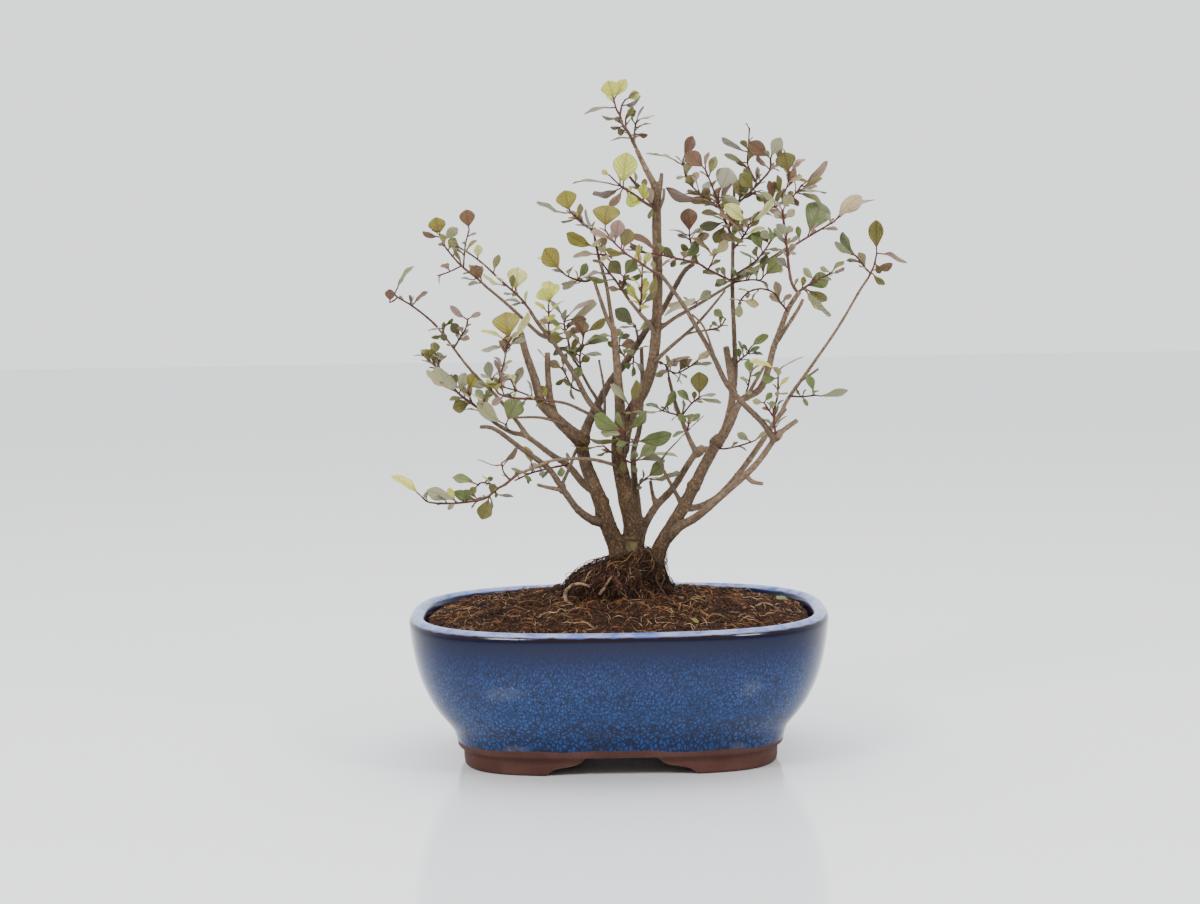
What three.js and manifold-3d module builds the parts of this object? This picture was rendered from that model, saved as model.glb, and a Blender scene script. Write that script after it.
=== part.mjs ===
// A New Zealand myrtle bonsai in its glazed pot, in millimetres, +Z up.
// The pot, the soil, the root ball and the wood are one solid each. Every leafy spray is one solid too.
import * as THREE from 'three';
import { mergeVertices } from 'three/addons/utils/BufferGeometryUtils.js';
import Module from 'manifold-3d';

const wasm = await Module();
wasm.setup();

// Driving dimensions
const rimHalfLength = 100;
const depthInset = 25;
const potHeight = 71;
const lipWidth = 7.5;
const floorTop = 14;
const recessTop = 7.5;
const footWall = 10;
const gap = 0.3;
const potSides = 32;
const soilEdgeHeight = 69;
const soilDome = 9.5;
const bladeThickness = 1.2;
const petioleWidth = 0.9;
const rootReach = 0.8;

// The tree is drawn as it is seen from the front, on the plane through its middle: across, up and away.
// A point that lies nearer or further is moved along the line of sight from this eye.
const eyeAcross = -7.7;
const eyeDistance = 1100;
const eyeHeight = 259.3;

function place([across, up, away]) {
  const scale = (eyeDistance + away) / eyeDistance;
  const x = eyeAcross + (across - eyeAcross) * scale;
  const z = eyeHeight + (up - eyeHeight) * scale;
  return new THREE.Vector3(x, away, z);
}

// Drops the points of a route that lie on the straight line between their neighbours, near enough.
function straightened(route, slack) {
  const kept = [route[0]];
  let from = 0;
  for (let step = 2; step < route.length; step += 1) {
    const line = new THREE.Line3(new THREE.Vector3(...route[from]), new THREE.Vector3(...route[step]));
    const strays = route.slice(from + 1, step).some((spot) => {
      const point = new THREE.Vector3(...spot);
      return line.closestPointToPoint(point, true, new THREE.Vector3()).distanceTo(point) > slack;
    });
    if (strays) {
      from = step - 1;
      kept.push(route[from]);
    }
  }
  kept.push(route.at(-1));
  return kept;
}

// Closed bodies from rings of points. An end is flat, or runs out to a point where a tip or a heel is given.
function loft(rings, tip, heel) {
  const positions = [];
  const triangles = [];
  const sides = rings[0].length;
  rings.forEach((ring) => ring.forEach((point) => positions.push(point.x, point.y, point.z)));
  for (let row = 0; row + 1 < rings.length; row += 1) {
    for (let side = 0; side < sides; side += 1) {
      const next = (side + 1) % sides;
      const low = row * sides;
      const high = low + sides;
      triangles.push(low + side, low + next, high + next);
      triangles.push(low + side, high + next, high + side);
    }
  }
  if (heel) {
    const point = positions.length / 3;
    positions.push(heel.x, heel.y, heel.z);
    for (let side = 0; side < sides; side += 1) {
      triangles.push(point, (side + 1) % sides, side);
    }
  } else {
    for (let side = 1; side + 1 < sides; side += 1) {
      triangles.push(0, side + 1, side);
    }
  }
  const last = (rings.length - 1) * sides;
  if (tip) {
    const point = positions.length / 3;
    positions.push(tip.x, tip.y, tip.z);
    for (let side = 0; side < sides; side += 1) {
      triangles.push(last + side, last + ((side + 1) % sides), point);
    }
  } else {
    for (let side = 1; side + 1 < sides; side += 1) {
      triangles.push(last, last + side, last + side + 1);
    }
  }
  const geometry = new THREE.BufferGeometry();
  geometry.setAttribute('position', new THREE.Float32BufferAttribute(positions, 3));
  geometry.setIndex(triangles);
  return geometry;
}

function solid(geometry) {
  const bare = geometry.clone();
  bare.deleteAttribute('normal');
  bare.deleteAttribute('uv');
  const merged = mergeVertices(bare, 1e-4);
  const mesh = new wasm.Mesh({
    numProp: 3,
    vertProperties: new Float32Array(merged.attributes.position.array),
    triVerts: new Uint32Array(merged.index.array),
  });
  return new wasm.Manifold(mesh);
}

function geometryOf(body) {
  const { vertProperties, triVerts } = body.getMesh();
  const geometry = new THREE.BufferGeometry();
  geometry.setAttribute('position', new THREE.BufferAttribute(new Float32Array(vertProperties), 3));
  geometry.setIndex(new THREE.BufferAttribute(new Uint32Array(triVerts), 1));
  geometry.computeVertexNormals();
  return geometry;
}

function joined(bodies) {
  return bodies.reduce((sum, body) => sum.add(body));
}

// A limb or twig: a tube that follows its route and tapers through the diameters it is given
function taperedTube(route, diameters, sides, { swell = 0, heel } = {}) {
  const lengths = [0];
  for (let step = 1; step < route.length; step += 1) {
    lengths.push(lengths[step - 1] + route[step].distanceTo(route[step - 1]));
  }
  const total = lengths.at(-1);
  let across = new THREE.Vector3(0.31, -0.92, 0.24);
  const rings = route.map((point, step) => {
    const before = route[Math.max(step - 1, 0)];
    const after = route[Math.min(step + 1, route.length - 1)];
    const along = after.clone().sub(before).normalize();
    across = across.clone().addScaledVector(along, -across.dot(along)).normalize();
    const aside = along.clone().cross(across);
    const place01 = (lengths[step] / total) * (diameters.length - 1);
    const span = Math.min(Math.floor(place01), diameters.length - 2);
    const diameter = THREE.MathUtils.lerp(diameters[span], diameters[span + 1], place01 - span);
    return Array.from({ length: sides }, (_, side) => {
      const turn = (2 * Math.PI * side) / sides;
      const radius = diameter / 2 + swell;
      return point.clone()
        .addScaledVector(across, radius * Math.cos(turn))
        .addScaledVector(aside, radius * Math.sin(turn));
    });
  });
  return loft(rings, undefined, heel);
}

// Pot: a rounded oblong, bellied towards the rim, on a foot ring
function potSection(halfLength, height, roundness) {
  return Array.from({ length: potSides }, (_, side) => {
    const turn = (2 * Math.PI * side) / potSides;
    const power = 2 / roundness;
    const cosine = Math.cos(turn);
    const sine = Math.sin(turn);
    const x = halfLength * Math.sign(cosine) * Math.abs(cosine) ** power;
    const y = (halfLength - depthInset) * Math.sign(sine) * Math.abs(sine) ** power;
    return new THREE.Vector3(x, y, height);
  });
}

function roundnessAt(height) {
  return 3.6 - 0.83 * THREE.MathUtils.clamp(height / potHeight, 0, 1);
}

function potLoft(profile) {
  return loft(profile.map(([halfLength, height]) => potSection(halfLength, height, roundnessAt(height))));
}

const potOutside = [
  [74.6, 0], [75.4, 8.4], [77.8, 9.6], [83, 21], [90.2, 31], [94.9, 41], [98.6, 56],
  [rimHalfLength, 66], [rimHalfLength - 0.9, 69.6], [rimHalfLength - 3.4, potHeight],
];
const potInside = [
  [72, floorTop], [83, 31], [89, 46], [rimHalfLength - lipWidth, 69], [rimHalfLength - 4.4, 72],
];
const footRecess = [[74 - footWall, -1], [74 - footWall, recessTop]];

const bracket = new THREE.Shape();
bracket.moveTo(-36, -1);
bracket.lineTo(-35.3, 0);
bracket.lineTo(-30.4, 3.3);
bracket.lineTo(-20.4, 5.3);
bracket.quadraticCurveTo(-17.4, 6.2, -16.3, recessTop);
bracket.lineTo(16.3, recessTop);
bracket.quadraticCurveTo(17.4, 6.2, 20.4, 5.3);
bracket.lineTo(30.4, 3.3);
bracket.lineTo(35.3, 0);
bracket.lineTo(36, -1);
bracket.closePath();

const drainRadius = 5;
const drainSpacing = 34;

function makePot() {
  const bracketCut = new THREE.ExtrudeGeometry(bracket, { depth: 160, bevelEnabled: false, curveSegments: 3 });
  bracketCut.rotateX(Math.PI / 2);
  bracketCut.translate(0, 80, 0);
  let body = solid(potLoft(potOutside))
    .subtract(solid(potLoft(potInside)))
    .subtract(solid(potLoft(footRecess)))
    .subtract(solid(bracketCut));
  for (const x of [-drainSpacing, drainSpacing]) {
    const drain = new THREE.CylinderGeometry(drainRadius, drainRadius, 20, 12);
    drain.rotateX(Math.PI / 2);
    drain.translate(x, 0, floorTop - 5);
    body = body.subtract(solid(drain));
  }
  return body;
}

// Soil: fills the pot with a hair of clearance and rises in a low dome round the root ball
const soilRingCount = 4;

function soilHeight(x, y) {
  const reach = Math.min(1, Math.hypot(x / 94, y / 69));
  const dome = soilDome * (1 - reach ** 2) ** 1.3;
  const bumps = 0.7 * Math.sin(x * 0.21 + 1) * Math.cos(y * 0.27) + 0.5 * Math.sin(x * 0.09 - y * 0.31);
  return soilEdgeHeight + dome + bumps * (1 - reach ** 4);
}

function makeSoil() {
  const wall = potInside.slice(0, 3).map(([halfLength, height], row) => {
    return potSection(halfLength - gap * 1.6, row ? height : height + gap, roundnessAt(height));
  });
  const edgeHalf = rimHalfLength - lipWidth - gap * 1.8;
  const edge = potSection(edgeHalf, soilEdgeHeight - 1.2, roundnessAt(soilEdgeHeight));
  const top = Array.from({ length: soilRingCount }, (_, row) => {
    const share = 1 - (row + 0.35) / soilRingCount;
    return edge.map((point) => {
      const x = point.x * share;
      const y = point.y * share;
      return new THREE.Vector3(x, y, soilHeight(x, y));
    });
  });
  const peak = new THREE.Vector3(0, 0, soilHeight(0, 0));
  return solid(loft([...wall, edge, ...top], peak));
}

// Root ball: a lump of roots, steep on its right and trailing to the left
const rootBallRings = [
  [0, 25, 21, 64], [-0.5, 25, 21, 80], [-0.2, 22.6, 18.5, 85.5], [4, 18, 14.5, 90], [12, 8.5, 7.5, 97],
];
const rootBallSides = 14;

function rootBallRing([centre, halfLength, halfDepth, height], row, swell = 0) {
  return Array.from({ length: rootBallSides }, (_, side) => {
    const turn = (2 * Math.PI * side) / rootBallSides;
    const uneven = 1 + 0.055 * Math.sin(5 * turn + row * 1.9) + 0.035 * Math.sin(9 * turn - row * 2.6);
    const x = centre + (halfLength * uneven + swell) * Math.cos(turn);
    const y = (halfDepth * uneven + swell) * Math.sin(turn);
    return new THREE.Vector3(x, y, height);
  });
}

function rootBallLoft(swell) {
  const rings = rootBallRings.map((ring, row) => rootBallRing(ring, row, swell));
  rings[0].forEach((point) => { point.z -= swell; });
  return solid(loft(rings, new THREE.Vector3(13, 0, 98.5 + swell)));
}

// Wood: each limb is [name, route, diameters, sides], and starts inside the limb that it grew from.
const limbs = [
  ['stump', [[8, 72, 0], [8, 78, 0], [9, 85, 0]], [17, 20, 19], 7],
  ['trunk_a', [[4, 78, -2], [1, 88, -3], [-0.4, 100, -3], [-4.4, 110, -4], [-7.1, 120, -5], [-11, 130, -6],
    [-14.4, 140, -7], [-17, 153, -8]], [10, 8.6, 8, 7.2, 6.4, 6], 7],
  ['a_left', [[-16.6, 151, -8], [-24, 158, -11], [-31, 165, -13], [-35.4, 170, -14], [-37.9, 180, -16],
    [-42.6, 195, -18], [-44.5, 204, -20]], [6, 5, 4, 3.2], 5],
  ['a_left_rod', [[-29, 163, -12], [-31, 172, -10], [-31.9, 183, -9], [-32, 194, -8]], [3.6, 2.8], 5],
  ['a_behind', [[-16, 152, -7], [-12, 162, -1], [-7.9, 169.4, 5], [-2.3, 179.4, 9], [4, 187, 11],
    [10.3, 196.3, 12], [17, 206.3, 13], [22.8, 212.5, 14], [27, 220, 15], [33.4, 231, 17], [38.4, 235, 18]],
  [4.6, 4, 3.6, 3, 2.4], 5],
  ['a_low_left', [[-7, 112, -4], [-11.6, 113, -8], [-18.5, 118, -12], [-24, 125.6, -16], [-27.5, 131, -18],
    [-33, 138.8, -21], [-44.5, 147.5, -25], [-57.6, 157.5, -29], [-65, 158.8, -31]], [4.4, 3.4, 3, 2.6, 2], 5],
  ['a_low_stub', [[-25.6, 127.8, -17], [-33, 129.2, -20], [-38, 130.6, -22]], [2.2, 1.4], 5],
  ['a_mid_left', [[-9, 126, -5], [-16, 131, -2], [-22.9, 139.4, 2], [-31, 145, 6], [-42.6, 153.8, 12],
    [-50, 156, 15], [-57.6, 160.6, 18], [-62, 165, 21]], [4, 3.2, 2.6, 2], 5],
  ['a_mid_left_rise', [[-42, 153.4, 11.6], [-47, 161, 13], [-57, 173.8, 13], [-68.3, 185.6, 15],
    [-79.5, 200.6, 17], [-84, 206.6, 18]], [2.4, 2, 1.6, 1.3], 5],
  ['trunk_b', [[8, 78, -1], [8, 90, -2], [7.8, 100, -2], [7.4, 110, -3], [6.2, 117, -3], [4.9, 123, -3],
    [3, 132, -3], [1.6, 141, -3], [1.4, 152, -4], [2.2, 165, -5], [1.5, 180, -6], [0.9, 190, -6],
    [-0.6, 206, -6]], [12, 10.4, 9.4, 8.6, 7.6, 7, 5.4, 4.4, 3.8, 3.2], 7],
  ['b_fork_left', [[-0.4, 204, -6], [-3.5, 210, -7], [-9.3, 228, -8]], [2.2, 1.6], 5],
  ['b_fork_up', [[-0.6, 204.5, -6], [-1.7, 213, -5], [-3.5, 226, -4], [-6.2, 236, -4]], [2.2, 1.5], 5],
  ['leader', [[2, 146, -3], [5, 158, -2], [8, 165, -1], [13.4, 175, 0], [16.3, 182, 1], [18.6, 191, 2],
    [20, 206, 2], [20.9, 220, 2], [20.9, 245, 1], [20.9, 268, 0]], [6.4, 6, 5.4, 5, 4.8, 4.4], 7],
  ['leader_tip', [[20.7, 266, 0], [20, 272, 0], [16, 280, -1], [11.6, 289.5, -3]], [3.6, 3, 2.2], 5],
  ['leader_stub', [[21.5, 266, 0], [23, 273, -1], [23.6, 278, -1]], [2.8, 2], 5],
  ['leader_spur', [[22, 261, 0], [24.2, 266, -2], [24.5, 270.5, -2]], [1.8, 1.2], 4],
  ['b_left', [[1.5, 152, -4], [-5, 161, -8], [-12.9, 170.6, -11], [-19, 182.5, -14], [-24.8, 192, -16],
    [-30, 200, -19], [-36, 207.5, -22], [-40.4, 214.8, -24]], [3.6, 3, 2.6, 2.2, 1.8], 5],
  ['b_left_low', [[-31, 201, -19.5], [-35.8, 202.8, -18], [-45.8, 212.5, -14], [-53.3, 219.4, -11],
    [-59.4, 224.6, -9]], [1.9, 1.3], 5],
  ['b_thin', [[-5.5, 162, -8], [-9, 171.5, -5], [-12.3, 177, -4], [-17.4, 187, -4]], [1.8, 1.3], 5],
  ['behind_rod', [[11.2, 107, 6], [9.5, 125, 9], [8.4, 135, 10], [8.4, 146, 11], [11.5, 158, 14],
    [13, 178, 18], [12.8, 196, 20]], [3.6, 3.2, 2.6, 2], 5],
  ['trunk_e', [[13, 80, -2], [18, 91, -5], [21, 100, -6], [26.5, 110, -6], [32.5, 120, -6], [37.8, 130, -6],
    [43, 140, -5], [49, 150, -4]], [9.6, 8, 7, 6.4, 6, 5.6, 5.2], 7],
  ['e_rod', [[48.4, 148.6, -4], [52.4, 156, -2], [55, 166, 0], [56, 174, 1], [54.6, 185, 2], [53, 195.5, 2]],
    [4.4, 3.8, 3.6, 3.2], 5],
  ['e_right', [[48.6, 148.8, -4], [54, 157, -7], [59.8, 169, -8], [68.8, 174.5, -10], [73, 184, -12],
    [75.6, 194, -13], [79.4, 204, -15], [83, 213, -17], [88.4, 221, -19]], [4.2, 3.6, 3.4, 3, 2.4], 5],
  ['e_right_fork', [[77.6, 198, -14], [83, 205.6, -10], [87.8, 213, -6], [90, 217.5, -5]], [2.4, 1.8], 5],
  ['e_inner_stub', [[62.5, 170, -9], [65.5, 176, -5], [68.5, 181, -3], [72, 187, -1]], [2, 1.3], 5],
  ['e_centre', [[56, 172.5, 1], [57.4, 182, 3], [57.2, 195, 4], [56.7, 210, 5], [56.4, 224, 6],
    [57, 248, 8], [57.8, 271.5, 10]], [2.8, 2.5, 2.2, 1.9, 1.5], 5],
  ['e_low_right', [[24, 104, -6], [30.3, 109.4, -10], [39, 114.4, -14], [51.5, 125, -18], [61.9, 133.8, -21],
    [68.8, 141, -22], [77.5, 152.5, -24], [86.9, 159.7, -28]], [4.6, 4, 3.4, 3, 2.4], 5],
  ['e_low_stub', [[62, 133.4, -21], [65, 130.4, -23], [70, 129.3, -26]], [2.2, 1.7], 5],
  ['e_crossing', [[75.5, 150.6, -24], [70, 158.8, -24], [61, 168, -25], [53, 178, -26], [47, 190.6, -27],
    [39, 205, -29], [32, 217, -30], [24, 228, -31], [22.6, 230, -31]], [3, 2.8, 2.4, 2], 5],
  ['e_crossing_twig', [[48, 188.5, -27], [46.5, 194, -29], [42.4, 205, -32], [37, 211, -34]], [1.3, 0.9], 4],
  ['e_back_right', [[32, 118, -6], [37.8, 118.4, -1], [44, 120.6, 3], [50.9, 125.6, 6], [60.6, 136.9, 10],
    [70, 150, 13], [77.5, 161, 15], [81.3, 165.5, 16]], [3.4, 3.2, 3, 2.6], 5],
  ['far_right', [[79.3, 163.2, 15.5], [82.5, 170, 17], [93.8, 185.6, 20], [106.6, 203.8, 23],
    [116.3, 220, 25], [120.6, 226.4, 25]], [1.9, 1.6, 1.3, 1.2], 5],
  ['far_right_stub', [[88.6, 178.5, 18.6], [93, 181.2, 16], [97, 184, 15]], [1.4, 1.1], 4],
  ['behind_right', [[9, 92, 0], [10.6, 99, 4], [12.4, 108, 6], [18.4, 118.8, 10], [27, 128, 13],
    [35.5, 141, 16], [39.5, 145.6, 17], [46, 146.6, 18]], [4.4, 4, 3.8, 3.4, 3], 5],
  ['behind_right_rise', [[38.4, 144.6, 16.8], [35.3, 151, 17], [32, 159.4, 17], [28.4, 169.4, 18],
    [25.5, 181.6, 18]], [2.8, 2.2, 1.9], 5],
  ['behind_right_spur', [[18.8, 118.6, 10], [17, 126, 12], [16.2, 132, 13]], [2.4, 1.8], 5],
  ['e_spur', [[31.8, 118.6, -6], [27, 128, -11], [23.4, 135, -14], [22, 142, -16], [33.4, 154.4, -19],
    [42.4, 162.8, -21]], [2.6, 1.8, 1, 0.9], 5],
  ['leader_right', [[20.4, 203.6, 2], [26, 207.4, 4], [30, 210, 6], [40, 215.5, 9], [57, 225.5, 15],
    [70, 233, 16], [81.4, 240, 17]], [2.3, 1.9, 1.6, 1.3], 5],
  ['leader_front', [[19, 188.6, 0], [26, 195, -3], [40, 207, -8], [53, 222, -13]], [2, 1.5, 1], 5],
  ['leader_front_twig', [[33, 201, -5.5], [38, 202.4, -7.5], [43.4, 203.1, -9]], [1.1, 0.9], 4],
  ['leader_left', [[19, 202.6, 1], [16, 207.4, -4], [12.3, 211.7, -7], [7.4, 218, -9.5]], [2.2, 1.6], 5],
  ['twig_left', [[-7, 161.2, -8.5], [-15.4, 165.6, -12], [-23, 169.2, -14], [-29.4, 170.5, -15.6]],
    [1.7, 1.3], 4],
  ['twig_low_left', [[-17, 155.4, -8.6], [-26.6, 160, -15], [-36, 162.8, -19], [-48, 163, -24]], [1.7, 1.1], 4],
  ['b_low_left', [[2, 138.5, -3], [-9.8, 142, -12], [-19.8, 142.8, -17], [-31, 142, -22], [-40.8, 138.2, -27],
    [-47, 135.9, -30]], [1.7, 1.5, 1.3], 5],
  ['twig_bridge', [[-26.6, 129.6, -17.4], [-24, 135, -14], [-21.6, 140.6, -11], [-19, 147, -8.6],
    [-16, 150, -8]], [1.6, 1.6], 4],
  ['needle', [[-5.3, 161.4, -8.2], [-5.2, 175, -7.4], [-7.5, 190, -7]], [1.5, 1], 4],
  ['e_fan_long', [[57.5, 226, 8], [70, 234, 2], [82.6, 242, -3]], [1.3, 0.9], 4],
  ['e_fan_short', [[57.3, 227, 7], [66, 233.6, 9], [74.4, 239.6, 11]], [1.2, 0.9], 4],
];

// Leafy sprays: twigs are [route, thick end, thin end], and the first begins at the wood.
// A leaf is [across and up where it leaves the twig, across and up at its tip, width seen, tone].
const tones = {
  lime: 0xc9d65a, cream: 0xdcd98c, gold: 0xa59a45, olive: 0x75763a, green: 0x6b8a45, dark: 0x465236,
  sage: 0x93a07c, bronze: 0x7d6a4c, brown: 0x72503c, pink: 0xb08f86, tan: 0xa69b7c, grey: 0x8d8f80,
};

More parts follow.
